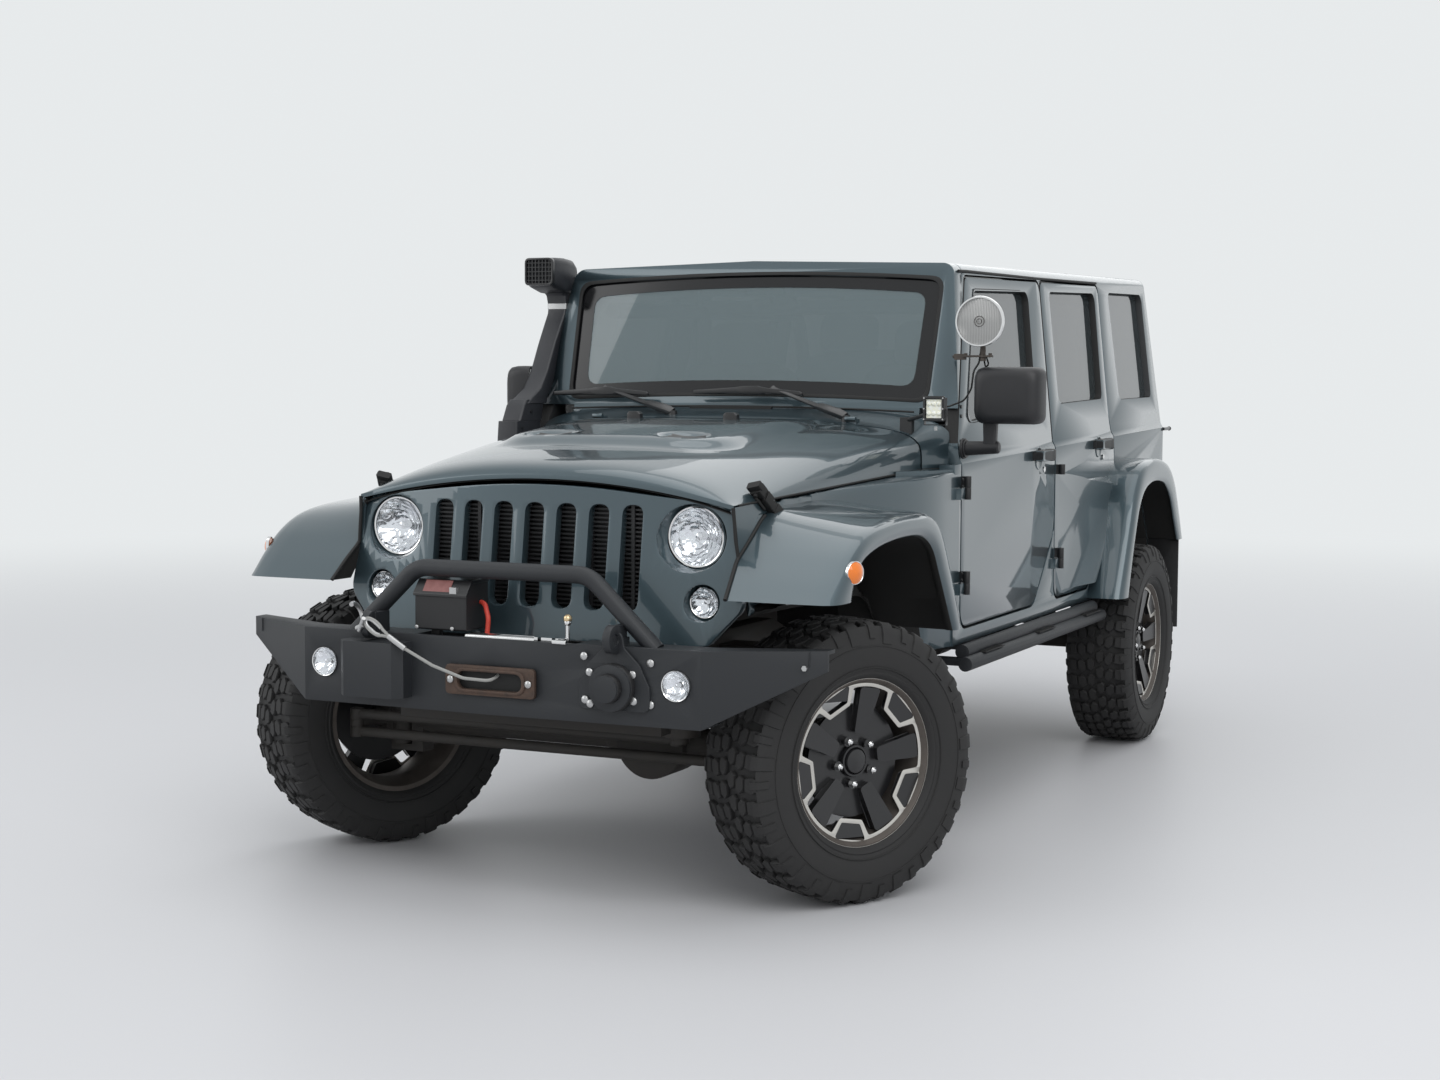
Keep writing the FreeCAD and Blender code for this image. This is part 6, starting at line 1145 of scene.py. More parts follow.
def snorkel_pieces():
    shape = Shape()
    x = -0.766

    def ring(y, z, half_x, half_y, radius, shift=0.0):
        return [at(x + shift + a, y + b, z) for a, b in rounded_ring(half_x, half_y, radius, 3)]

    mast = [ring(0.905, 1.358, 0.04, 0.07, 0.012), ring(0.93, 1.378, 0.037, 0.056, 0.012),
            ring(0.975, 1.41, 0.036, 0.04, 0.012), ring(1.018, 1.47, 0.0355, 0.0355, 0.012),
            ring(1.066, 1.565, 0.0355, 0.0345, 0.012, 0.002),
            ring(1.11, 1.645, 0.0365, 0.034, 0.012, 0.006),
            ring(1.127, 1.672, 0.037, 0.0345, 0.012, 0.007),
            ring(1.132, 1.69, 0.0372, 0.035, 0.012, 0.007)]
    shape.hull(mast)
    shape.hull([ring(0.846, 1.172, 0.04, 0.092, 0.016), ring(0.848, 1.25, 0.04, 0.088, 0.016),
                ring(0.85, 1.299, 0.0395, 0.085, 0.016)])
    shape.hull([ring(0.866, 1.299, 0.0385, 0.078, 0.016), ring(0.888, 1.352, 0.038, 0.07, 0.014),
                ring(0.9, 1.372, 0.034, 0.06, 0.01)])
    shape.piece("Snorkel mast", "snorkel_plastic", bevel=0.002, smooth=32, replaces=("snorkel",))
    band = Shape()
    band.hull([ring(1.1325, z, 0.0388, 0.0365, 0.012, 0.007) for z in (1.688, 1.708)])
    band.piece("Snorkel clamp", "zinc", bevel=0.001)
    head = Shape()
    head.hull([ring(1.1325, 1.7, 0.0375, 0.0355, 0.012, 0.007),
               ring(1.132, 1.735, 0.04, 0.038, 0.014, 0.004),
               ring(1.12, 1.768, 0.05, 0.05, 0.016, 0.0)])

    def face(y, half_x, low, high, radius):
        middle, half = (low + high) / 2, (high - low) / 2
        return [at(x + a, y + 0.092, middle + b) for a, b in rounded_ring(half_x, half, radius, 4)]

    head.hull([face(0.902, 0.054, 1.772, 1.858, 0.018), face(0.922, 0.0585, 1.76, 1.864, 0.02),
               face(0.985, 0.0588, 1.744, 1.866, 0.022), face(1.045, 0.058, 1.74, 1.862, 0.026),
               face(1.08, 0.05, 1.75, 1.85, 0.03), face(1.094, 0.034, 1.772, 1.826, 0.026)])
    head.piece("Snorkel head", "snorkel_plastic", bevel=0.0015, smooth=40)
    mouth = Shape()
    rim = plate([rounded_ring(0.056, 0.048, 0.018), rounded_ring(0.049, 0.041, 0.013)],
                -0.006, 0.01, 0.0015)
    front = 0.993
    join(mouth, rim, facing(at(x, front, 1.815)))
    for k in range(-3, 4):
        mouth.box(at(x + k * 0.0135 - 0.0014, front - 0.0065, 1.7745),
                  at(x + k * 0.0135 + 0.0014, front, 1.8555))
    for k in range(-2, 3):
        mouth.box(at(x - 0.049, front - 0.006, 1.815 + k * 0.015 - 0.0014),
                  at(x + 0.049, front - 0.0005, 1.815 + k * 0.015 + 0.0014))
    mouth.piece("Snorkel mouth", "satin_black")
    bolts = Shape()
    for y, z in ((0.8, 1.275), (0.862, 1.33), (0.905, 1.27)):
        for side in (1, -1):
            bolts.bar(at(x + side * 0.036, y, z), at(x + side * 0.0425, y, z), 0.0055, sides=12)
    bolts.piece("Snorkel bolts", "satin_black")


def mirror_pieces():
    for word, side in SIDES.items():
        place = Matrix.Translation(at(0, 0, 0))
        if side < 0:
            pivot = Matrix.Translation((0.83, 0.955, 0.0))
            fold = pivot @ Matrix.Rotation(radians(82), 4, "Z") @ pivot.inverted()
            place = place @ Matrix.Diagonal((-1, 1, 1, 1)) @ fold
        case = Shape()
        rings = []
        for y, grow, radius in ((0.8925, 0.66, 0.04), (0.8945, 0.78, 0.042), (0.9, 0.88, 0.042),
                (0.91, 0.95, 0.04), (0.93, 0.99, 0.036), (0.955, 1.0, 0.032), (0.98, 0.99, 0.03),
                (0.985, 0.975, 0.028)):
            rings.append([place @ Vector((0.956 + a, y, 1.398 + b)) for a, b in
                          rounded_ring(0.11 * grow, 0.09 * grow, radius, 6)])
        rings.append([place @ Vector((0.956 + a, 0.978, 1.398 + b)) for a, b in
                      rounded_ring(0.1, 0.08, 0.024, 6)])
        case.hull(rings)
        body = "door_front_" + word
        case.piece("Mirror case " + word, "mirror_plastic", body, smooth=50,
                   replaces=("mirror_" + word,))
        arm = Shape()
        stem = [[place @ Vector((0.893 + a, 0.952 + b, z)) for a, b in
                 rounded_ring(half, 0.015, 0.008, 4)]
                for z, half in ((1.226, 0.022), (1.26, 0.0205), (1.318, 0.023))]
        arm.hull(stem)
        arm.bar(place @ Vector((BODY_SIDE, 0.955, 1.2285)), place @ Vector((0.918, 0.955, 1.2345)),
                0.0235, 0.02, 28)
        arm.bar(place @ Vector((0.918, 0.955, 1.2345)), place @ Vector((0.9225, 0.955, 1.2347)),
                0.02, 0.015, 28)
        arm.piece("Mirror arm " + word, "mirror_plastic", body, bevel=0.0015, smooth=40)
        base = Shape()
        for start, end, radius in ((0.7995, 0.808, 0.033), (0.808, 0.814, 0.029)):
            base.bar(at(side * start, 0.955, 1.2285), at(side * end, 0.955, 1.2285), radius,
                     sides=36)
        base.piece("Mirror base " + word, "mirror_plastic", body, bevel=0.0015)
        glass = Shape()
        glass.hull([[place @ Vector((0.956 + a, y, 1.398 + b)) for a, b in
                     rounded_ring(0.098, 0.078, 0.022, 6)] for y in (0.978, 0.9805)])
        glass.piece("Mirror glass " + word, "chrome", body)


# Auxiliary lamps


def auxiliary_pieces():
    centre = at(0.872, 0.899, 1.63)
    place = facing(centre)
    bowl = Shape()
    bowl.lathe([(-0.094, 0.0008), (-0.092, 0.018), (-0.08, 0.036), (-0.056, 0.057),
                (-0.03, 0.07), (-0.004, 0.0765), (0.0, 0.0795), (0.006, 0.08),
                (0.012, 0.078), (0.0125, 0.0735), (0.004, 0.072), (-0.004, 0.0715)], place, 96)
    bowl.piece("Spot lamp bowl", "chrome", smooth=40, replaces=("auxiliary_lamps",))
    dish = Shape()
    dish.lathe([(-0.066, 0.0008)] + [(-0.066 + 0.062 * (k / 9) ** 2, 0.071 * k / 9)
                                     for k in range(1, 10)], place, 72)
    dish.piece("Spot lamp dish", "reflector", slot="chrome_trim", smooth=50)
    lens = Shape()
    front = [(0.0115 - 0.006 * (k / 8) ** 2, max(0.0008, 0.073 * k / 8)) for k in range(9)]
    lens.lathe(front + [(a - 0.0035, r) for a, r in reversed(front)], place, 72)
    lens.piece("Spot lamp lens", "ribbed_glass", smooth=50)
    ring = Shape()
    for radius, wide, along in ((0.0145, 0.003, 0.0118), (0.007, 0.002, 0.0125)):
        ring.lathe([(along - 0.002, radius), (along + 0.002, radius + wide / 2),
                    (along - 0.002, radius + wide)], place, 40, closed=True)
    ring.piece("Spot lamp bulb ring", "cast_metal", smooth=40)
    stay = Shape()
    stay.box(at(0.808, 0.918, 1.518), at(0.902, 0.942, 1.5245))
    stay.bar(at(0.872, 0.93, 1.52), at(0.872, 0.93, 1.562), 0.0085)
    stay.bar(at(0.872, 0.93, 1.506), at(0.872, 0.93, 1.518), 0.01, sides=6)
    stay.box(at(0.778, 0.924, 1.51), at(0.816, 0.936, 1.529))
    stay.bar(at(0.742, 1.035, 1.521), at(0.788, 0.93, 1.521), 0.007)
    for x in (0.815, 0.896):
        stay.bar(at(x, 0.93, 1.524), at(x, 0.93, 1.531), 0.006, sides=12)
    stay.piece("Spot lamp stay", "cast_metal", bevel=0.0012)
    leads = Shape()
    lead = route([(0.866, 0.936, 1.56), (0.856, 0.94, 1.5), (0.842, 0.93, 1.476),
                  (0.833, 0.936, 1.42), (0.81, 0.94, 1.382), (0.79, 0.85, 1.364),
                  (0.775, 0.818, 1.36)], 0.04, 8)
    leads.sweep(lead, 0.003, 10)
    leads.sweep(route([(0.87, 0.942, 1.52), (0.874, 0.95, 1.487), (0.885, 0.95, 1.495),
                       (0.88, 0.94, 1.52)], 0.012, 6), 0.0026, 10)
    leads.piece("Lamp leads", "seal_rubber", smooth=60)

    low, high = at(0.733, 0.772, 1.319), at(0.797, 0.816, 1.395)
    middle = (low + high) / 2
    box = Shape()
    front = facing(Vector((middle.x, low.y, middle.z)))
    join(box, plate([rounded_ring(0.0345, 0.0395, 0.005), rounded_ring(0.027, 0.03, 0.004)],
                    -0.01, 0.002, 0.0012), front)
    box.box((low.x + 0.002, low.y + 0.006, low.z + 0.004),
            (high.x - 0.002, low.y + 0.02, high.z - 0.004))
    for k in range(7):
        x = low.x + 0.003 + k * 0.0092
        box.box((x, low.y + 0.018, low.z + 0.004), (x + 0.0035, high.y, high.z - 0.004))
    box.piece("Work lamp case", "satin_black")
    diodes = Shape()
    diodes.box((low.x + 0.0075, low.y + 0.0035, low.z + 0.009),
               (high.x - 0.0075, low.y + 0.0065, high.z - 0.009))
    for row in (-1, 1):
        for column in (-1, 0, 1):
            where = Vector((middle.x + column * 0.0165, low.y + 0.003, middle.z + row * 0.015))
            diodes.ball(where, 0.0072, (1.0, 0.45, 1.0))
    diodes.piece("Work lamp diodes", "diode", smooth=50)
    bolts = Shape()
    for x in (-0.031, 0.031):
        for z in (-0.033, 0.0, 0.033):
            where = Vector((middle.x + x, low.y - 0.0035, middle.z + z))
            bolts.bar(where, where + Vector((0, 0.004, 0)), 0.0026, sides=12)
    bolts.bar((middle.x, middle.y, low.z - 0.03), (middle.x, middle.y, low.z - 0.018), 0.0055,
              sides=6)
    bolts.piece("Work lamp bolts", "zinc")
    yoke = Shape()
    for x in (-0.0365, 0.0345):
        yoke.box((middle.x + x, middle.y - 0.009, low.z - 0.012),
                 (middle.x + x + 0.002, middle.y + 0.009, middle.z))
    yoke.box((middle.x - 0.0365, middle.y - 0.009, low.z - 0.014),
             (middle.x + 0.0365, middle.y + 0.009, low.z - 0.0115))
    yoke.bar(at(0.642, 0.871, 1.318), (middle.x - 0.034, middle.y, low.z + 0.018), 0.007)
    yoke.box(at(0.622, 0.858, 1.27), at(0.662, 0.884, 1.328))
    yoke.piece("Work lamp yoke", "satin_black", bevel=0.0006)


# Bumper, winch and rope


def bumper_front_y(x):
    return -0.615 + 0.012 * abs(x) / 0.621


def screw(shape, point, radius, height, sides=16):
    """A round-headed bolt that stands out of the vehicle's front."""
    place = facing(point)
    shape.lathe([(0.0, radius), (height * 0.5, radius), (height * 0.85, radius * 0.75),
                 (height, 0.0006)], place, sides)


def bumper_pieces():
    tabs = Shape()
    for side in (1, -1):
        x = side * 0.374
        edge = [(-0.105, 0.575), (-0.105, 0.64), (-0.075, 0.7), (-0.03, 0.742), (-0.022, 0.785),
                (0.022, 0.785), (0.03, 0.742), (0.075, 0.7), (0.105, 0.64), (0.105, 0.575)]
        if side > 0:
            outline = shifted(flat(edge, 0.024, 6), x, 0.0)
            join(tabs, plate([outline, ring_of(0.056, 48, (x, 0.638))], 0.0005, 0.0095, 0.0016),
                 facing(at(0.0, -0.6078, 0.0)))
        tabs.box(at(x - 0.0105, -0.63, 0.728), at(x + 0.0105, -0.56, 0.8))
    tabs.piece("Bumper brackets", "powder_coat", bevel=0.003)
    socket = Shape()
    place = facing(at(0.374, -0.6075, 0.638))
    socket.lathe([(0.0, 0.064), (0.026, 0.064), (0.031, 0.061), (0.033, 0.056), (0.033, 0.04),
                  (0.036, 0.0385), (0.052, 0.0385), (0.0575, 0.0355), (0.059, 0.03),
                  (0.059, 0.0085), (0.05, 0.008), (0.05, 0.0006)], place, 64)
    for k in range(40):
        angle = tau * k / 40
        y, z = 0.0385 * cos(angle), 0.0385 * sin(angle)
        socket.bar(place @ Vector((0.037, y, z)), place @ Vector((0.051, y, z)), 0.0012, sides=6)
    socket.piece("Bumper socket", "black_plastic", smooth=40)
    bolts = Shape()
    for x, z in ((0.287, 0.716), (0.303, 0.674), (0.43, 0.674), (0.478, 0.706), (0.433, 0.604),
                 (0.478, 0.596), (0.29, 0.6), (0.305, 0.59)):
        screw(bolts, at(x, bumper_front_y(x) - 0.0095 if abs(x - 0.374) < 0.09 else
                        bumper_front_y(x) - 0.0005, z), 0.0105, 0.007)
    for x, z in ((-0.122, 0.63), (0.122, 0.63)):
        screw(bolts, at(x, -0.6295, z), 0.01, 0.007)
    bolts.bar(at(0.86, bumper_tip_y(0.86) - 0.004, 0.7),
              at(0.86, bumper_tip_y(0.86) - 0.01, 0.7), 0.008, sides=6)
    bolts.piece("Bumper bolts", "zinc", smooth=40)
    seams = Shape()
    for side in (1, -1):
        seams.sweep([at(side * x, bumper_front_y(x) + 0.0035 if x < 0.622 else
                        bumper_tip_y(x) + 0.0035, 0.7425) for x in (0.26, 0.44, 0.58, 0.621)],
                    0.003, 8)
        seams.bar(at(side * 0.87, bumper_tip_y(0.87) - 0.001, 0.742),
                  at(side * 0.87, bumper_tip_y(0.87) - 0.001, 0.704), 0.0022, sides=8)
    seams.piece("Bumper welds", "powder_coat", smooth=60)


def bumper_tip_y(x):
    """The bumper's face on its swept-back wings."""
    return -0.603 + (abs(x) - 0.621) * 0.5517


def winch_pieces():
    plate_shape = Shape()
    outline = flat([(-0.14, 0.589), (0.14, 0.589), (0.14, 0.671), (-0.14, 0.671)], 0.014)
    slit = flat([(-0.1, 0.606), (0.1, 0.606), (0.1, 0.654), (-0.1, 0.654)], 0.0235, 8)
    lip = flat([(-0.112, 0.596), (0.112, 0.596), (0.112, 0.664), (-0.112, 0.664)], 0.033, 8)
    join(plate_shape, plate([outline, slit], 0.0, 0.0135, 0.003), facing(at(0, -0.6152, 0)))
    join(plate_shape, plate([lip, slit], 0.006, 0.0175, 0.0045), facing(at(0, -0.6152, 0)))
    plate_shape.piece("Fairlead", "rusty_plate", smooth=40, replaces=("winch",))
    # A black sheet just behind the fairlead's slit: painted shade that darkens the opening.
    throat_shade = Shape()
    throat_shade.box(at(-0.113, -0.61, 0.6), at(0.113, -0.606, 0.66))
    throat_shade.piece("Fairlead throat", "seal_rubber", slot="plastic_black")
    drum = Shape()
    along = Matrix.Translation(at(0.0, -0.545, 0.692))
    drum.lathe([(-0.104, 0.02), (-0.104, 0.046), (-0.098, 0.046), (-0.098, 0.026),
                (0.098, 0.026), (0.098, 0.046), (0.104, 0.046), (0.104, 0.02)], along, 48)
    for low, high in ((-0.236, -0.106), (0.106, 0.236)):
        drum.lathe([(low, 0.0006), (low, 0.036), (low + 0.008, 0.044), (high - 0.004, 0.044),
                    (high, 0.04), (high, 0.0006)], along, 48)
        drum.box(at(low, -0.568, 0.624), at(high, -0.522, 0.69))
    drum.piece("Winch drum", "cast_metal", slot="bumper_black", bevel=0.0015, smooth=40)
    turns = Shape()
    for k in range(19):
        turns.lathe([(-0.095 + 0.01 * k + 0.005 * cos(a), 0.0305 + 0.005 * sin(a))
                     for a in (tau * j / 10 for j in range(10))], along, 40, closed=True)
    turns.piece("Wound rope", "rope_fibre", smooth=60)
    tie = Shape()
    tie.bar(at(-0.1, -0.58, 0.742), at(0.118, -0.58, 0.742), 0.0105, sides=32)
    tie.bar(at(-0.1, -0.555, 0.744), at(0.1, -0.555, 0.744), 0.008, sides=24)
    for x, wide in ((0.118, 0.012), (0.14, 0.034), (0.184, 0.026)):
        tie.box(at(x, -0.593, 0.735), at(x + wide, -0.556, 0.754))
    tie.bar(at(0.21, -0.57, 0.73), at(0.21, -0.57, 0.79), 0.006, sides=16)
    tie.ball(at(0.21, -0.57, 0.796), 0.0105)
    tie.bar(at(0.186, -0.61, 0.7465), at(0.228, -0.61, 0.7465), 0.0065, sides=16)
    tie.piece("Winch tie bar", "chrome", bevel=0.001, smooth=40)
    Shape().ball(at(0.21, -0.57, 0.806), 0.012).piece("Clutch knob", "brass", smooth=60)

    pack = Shape()
    x0, x1, y0, y1, z0 = -0.262, -0.096, -0.59, -0.47, 0.756
    front_z, rear_z = 0.852, 0.892
    section = [(y0, z0), (y1, z0), (y1, rear_z), (y0 + 0.03, rear_z - 0.004), (y0, front_z)]
    pack.hull([[at(x, y, z) for y, z in section] for x in (x0, x1)])
    pack.box(at(-0.232, -0.555, 0.735), at(-0.202, -0.535, 0.76))
    pack.piece("Winch pack", "black_plastic", bevel=0.006)
    lid = Shape()
    lid.hull([[at(x, y0 - 0.004 * way, front_z - 0.004 + 0.008 * up) for way, up in
               ((1, 0), (1, 1))] + [at(x, y0 + 0.028, rear_z + 0.002),
                                    at(x, y1, rear_z + 0.004), at(x, y1, rear_z - 0.006),
                                    at(x, y0 + 0.03, rear_z - 0.008)]
              for x in (x0 - 0.003, x1 + 0.003)])
    lid.piece("Winch pack lid", "satin_black", bevel=0.002)
    label = Shape()
    low_x, high_x = -0.236, -0.15
    points = [at(low_x, y0 + 0.002, front_z + 0.0095), at(high_x, y0 + 0.002, front_z + 0.0095),
              at(high_x, y0 + 0.024, rear_z - 0.0005), at(low_x, y0 + 0.024, rear_z - 0.0005)]
    rise = Vector((0, -0.001, 0.0008))
    label.hull([points, [point + rise for point in points]])
    label.piece("Blank label", "dull_red")
    screws = Shape()
    for x, z in ((-0.254, 0.762), (-0.14, 0.762)):
        screw(screws, at(x, y0 - 0.0005, z), 0.006, 0.004)
    screws.box(at(-0.148, y0 - 0.003, front_z + 0.006), at(-0.126, y0 + 0.012, front_z + 0.024))
    screws.piece("Winch pack screws", "zinc", bevel=0.001)
    cable = Shape()
    cable.sweep(route([(-0.09, -0.52, 0.832), (-0.07, -0.532, 0.828), (-0.052, -0.545, 0.79),
                       (-0.056, -0.548, 0.735)], 0.03, 8), 0.0068, 14)
    cable.piece("Winch cable", "orange_red", smooth=60)


ROPE_ROUTE = ((0.02, -0.585, 0.668), (0.016, -0.612, 0.642), (0.006, -0.64, 0.634),
              (-0.06, -0.664, 0.64), (-0.15, -0.677, 0.671), (-0.238, -0.678, 0.712))


def rope_pieces():
    shape = Shape()
    path = route(ROPE_ROUTE, 0.06, 8)
    shape.sweep(path, 0.0044, 16)
    eye = []
    for k in range(25):
        angle = radians(-150 + 300 * k / 24)
        eye.append(at(-0.338 - 0.03 * cos(angle), -0.676 + 0.004 * sin(angle),
                      0.766 + 0.0165 * sin(angle) + 0.016 * cos(angle)))
    start = [at(-0.286, -0.678, 0.741)]
    shape.sweep(fillet(start + eye + start, 0.01, 3, closed=False), 0.0044, 14)
    shape.piece("Winch line", "rope_fibre", smooth=60, replaces=("winch_rope",))
    ferrule = Shape()
    ferrule.bar(at(-0.236, -0.678, 0.7108), at(-0.29, -0.678, 0.743), 0.0078, sides=24)
    ferrule.piece("Rope ferrule", "zinc", bevel=0.0012)
    thimble = Shape()
    thimble.sweep([point + (point - at(-0.338, -0.676, 0.766)).normalized() * -0.0048
                   for point in eye], 0.0042, 12)
    thimble.piece("Rope thimble", "zinc", smooth=60)
    shackle = Shape()
    bow = []
    for k in range(19):
        angle = radians(-110 + 220 * k / 18)
        bow.append(at(-0.415 - 0.006 * cos(angle) - 0.03 * sin(angle) * 0.4,
                      -0.64 + 0.034 * cos(angle) - 0.006, 0.79 + 0.034 * sin(angle)))
    shackle.sweep(bow, 0.0065, 14)
    shackle.bar(bow[0] + Vector((0, -0.006, 0)), at(-0.37, -0.678, 0.77), 0.007)
    shackle.bar(at(-0.392, -0.668, 0.752), at(-0.362, -0.69, 0.79), 0.006)
    shackle.piece("Shackle", "zinc", smooth=50)


# Bonnet and cowl


BONNET_FRONT = -0.352
BONNET_LINE = ((BONNET_FRONT, 1.179), (-0.34, 1.194), (-0.315, 1.207), (-0.27, 1.218),
               (-0.15, 1.234), (-0.06, 1.244), (0.04, 1.254), (0.3, 1.278), (0.6, 1.298),
               (0.842, 1.307), (0.978, 1.35))
VENT = (0.225, 0.105)


def step_between(low, high, value):
    """A soft step from 0 to 1."""
    share = min(1.0, max(0.0, (value - low) / (high - low)))
    return share * share * (3 - 2 * share)


def through(line, place):
    """The height of a smooth line at a place between its points."""
    last = len(line) - 1
    i = max(k for k in range(last) if k == 0 or line[k][0] <= place)
    (start, low), (end, high) = line[i], line[i + 1]

    def slope(k):
        before, after = line[max(k - 1, 0)], line[min(k + 1, last)]
        return (after[1] - before[1]) / (after[0] - before[0]) * (end - start)

    t = (place - start) / (end - start)
    return ((2 * t ** 3 - 3 * t * t + 1) * low + (t ** 3 - 2 * t * t + t) * slope(i)
            + (3 * t * t - 2 * t ** 3) * high + (t ** 3 - t * t) * slope(i + 1))


def bonnet_half(y):
    """Half the width at the side edge: it widens at the cowl."""
    return 0.598 + (min(y, 0.842) - BONNET_FRONT) * 0.0854 + max(0.0, y - 0.842) * 0.475


def bonnet_side(y):
    return min(1.108 + (y - BONNET_FRONT) * 0.0469, 1.164)


def bonnet_height(x, y):
    """The top of the bonnet and cowl, with its raised middle and sunk vents."""
    ahead = min(1.0, max(0.0, (y - BONNET_FRONT) / 1.194)) ** 0.5
    share = min(1.0, abs(x) / bonnet_half(y))
    side = bonnet_side(y)
    height = side + (through(BONNET_LINE, y) - side) * (
        1 - share ** (2.0 + 2.0 * ahead)) ** (1.0 - 0.79 * ahead)
    corner = hypot(max(0.0, abs(x) - 0.24), max(0.0, 0.15 - y))
    height += (1 - step_between(0.1, 0.175, corner)) * (
        0.025 - 0.016 * step_between(0.5, 0.82, y) - 0.009 * step_between(0.85, 0.97, y))
    hollow = hypot((abs(x) - VENT[0]) / 0.095, (y - VENT[1]) / 0.062)
    return height - 0.016 * (1 - step_between(0.62, 1.0, hollow))


def bonnet_sheet(name, rows, finish_name, body, slot, shrink=0.0, sink=0.0, replaces=()):
    """A curved sheet over the engine: rows are (y, drop)."""
    sheet = Shape()
    grid = []
    for y, drop in rows:
        half = bonnet_half(y)
        line = []
        for k in range(-60, 61):
            x = half * sin(pi / 2 * k / 60)
            line.append(sheet.mesh.verts.new(at(
                x * (1 - shrink / half), y, bonnet_height(x, y) - drop - sink)))
        grid.append(line)
    for line, after in zip(grid, grid[1:]):
        for k in range(120):
            sheet.mesh.faces.new((line[k], line[k + 1], after[k + 1], after[k]))
    made = sheet.piece(name, finish_name, body, slot, smooth=50, replaces=replaces)
    thick = made.modifiers.new("Thickness", "SOLIDIFY")
    thick.thickness = 0.0024
    thick.offset = 0.0
    return made


def bonnet_pieces():
    front = [-0.352, -0.3505, -0.347, -0.342, -0.336, -0.329, -0.32, -0.31, -0.297, -0.28]
    rows = [(-0.352, 0.011)] + [(y, 0.0) for y in front] + [
        (-0.28 + 1.118 * k / 72, 0.0) for k in range(1, 73)]
    bonnet_sheet("Bonnet panel", rows, "paint", "bonnet", "paint", replaces=("bonnet",))
    bonnet_sheet("Bonnet liner", [(y, drop) for y, drop in rows[3::3] if y < 0.81], "liner",
                 "bonnet", "paint", 0.014, 0.022)
    bonnet_sheet("Cowl panel", [(0.846 + 0.132 * k / 12, 0.0) for k in range(13)], "paint",
                 "chassis", "paint")
    for word, side in SIDES.items():
        vent = Shape()
        for k in range(6):
            y = VENT[1] - 0.036 + 0.0135 * k
            reach = 0.064 * (1 - ((y - VENT[1]) / 0.062) ** 2) ** 0.5
            rings = []
            for x in (-reach, -reach / 3, reach / 3, reach):
                base = bonnet_height(VENT[0] + x, y) + 0.001
                rings.append([at(side * (VENT[0] + x), y + a, base + b) for a, b in
                              ((-0.0045, 0.0), (0.004, 0.0), (0.0062, 0.0075), (0.002, 0.006))])
            vent.hull(rings)
        vent.piece("Bonnet vent " + word, "satin_black", "bonnet", bevel=0.0008)
        rings = []
        for k in range(25):
            y = 0.1 + 0.828 * k / 24
            edge = bonnet_half(min(y, 0.842))
            top = bonnet_side(y) - 0.005
            outer = edge + 0.0006 + (0.8002 - edge) * step_between(0.1, 0.8, y)
            low = 1.03 - max(0.0, min(y, 0.6) - 0.4) * 1.6
            rings.append([at(side * x, y, z) for x, z in (
                (edge - 0.012, low), (edge - 0.012, top), (outer - 0.01, top - 0.0015),
                (outer - 0.0045, top - 0.004), (outer - 0.001, top - 0.01), (outer, top - 0.02),
                (outer + 0.0003, low))])
        Shape().hull(rings).piece("Fender shoulder " + word, "paint", bevel=0.0015, smooth=40)
    seam = Shape()
    seam.sweep([at(0.628 * k / 12, 0.9725, 1.355 - 0.0125 * (k / 12) ** 2) for k in range(-12, 13)],
               0.0032, 8)
    seam.box(at(-0.17, 0.962, 1.3455), at(0.13, 0.975, 1.355))
    seam.piece("Cowl seal", "seal_rubber", smooth=60)


def bonnet_trim():
    for word, side in SIDES.items():
        latch = Shape()
        low = at(side * 0.634, -0.15, 1.078)
        high = at(side * 0.598, -0.236, 1.168)
        way = (high - low).normalized()
        side_way = way.cross(Vector((side, 0, 0))).normalized()
        out = side_way.cross(way).normalized()
        if out.x * side < 0:
            out = -out
        for start, end, wide, thick in ((-0.012, 0.018, 0.0215, 0.015),
                (0.014, 0.044, 0.015, 0.013), (0.042, 0.07, 0.019, 0.017),
                (0.068, 0.082, 0.013, 0.012), (0.08, 0.104, 0.0175, 0.018),
                (0.1, 0.12, 0.011, 0.022)):
            ring = []
            for along in (start, end):
                centre = low + way * along
                ring.append([centre + side_way * a + out * b for a, b in
                             rounded_ring(wide, thick, 0.005, 3)])
            latch.hull(ring)
        latch.bar(low + side_way * 0.024 - way * 0.004, low - side_way * 0.024 - way * 0.004, 0.008)
        latch.bar(low + side_way * 0.026 + way * 0.096, low - side_way * 0.026 + way * 0.096, 0.006)
        for a in (-0.0265, 0.0265):
            latch.bar(low + side_way * a + way * 0.046, low + side_way * a + way * 0.092, 0.0045)
        for along in (0.022, 0.031, 0.04, 0.072, 0.079):
            centre = low + way * along + out * 0.01
            latch.bar(centre - side_way * 0.017, centre + side_way * 0.017, 0.003, sides=10)
        latch.piece("Bonnet latch " + word, "seal_rubber", "bonnet", bevel=0.0015)
        strip = Shape()
        edge = [at(side * (bonnet_half(y) + 0.0012), y, bonnet_side(y) - 0.0008)
                for y in (-0.33, -0.1, 0.2, 0.5, 0.838)]
        strip.sweep(edge, 0.0032, 8)
        strip.piece("Bonnet seam " + word, "seal_rubber", "bonnet", smooth=60)
        strip = Shape()
        strip.sweep([at(side * (bonnet_half(y) + 0.001), y, 1.163) for y in
                     (0.846, 0.88, 0.93, 0.972)], 0.0034, 8)
        line = ((0.622, -0.185, 1.061), (0.6275, -0.02, 1.071), (0.64, 0.115, 1.077),
                (0.658, 0.3, 1.081), (0.69, 0.43, 1.08), (0.725, 0.52, 1.074))
        strip.sweep([at(side * x, y, z) for x, y, z in line], 0.0022, 8)
        strip.piece("Cowl side seam " + word, "seal_rubber", smooth=60)


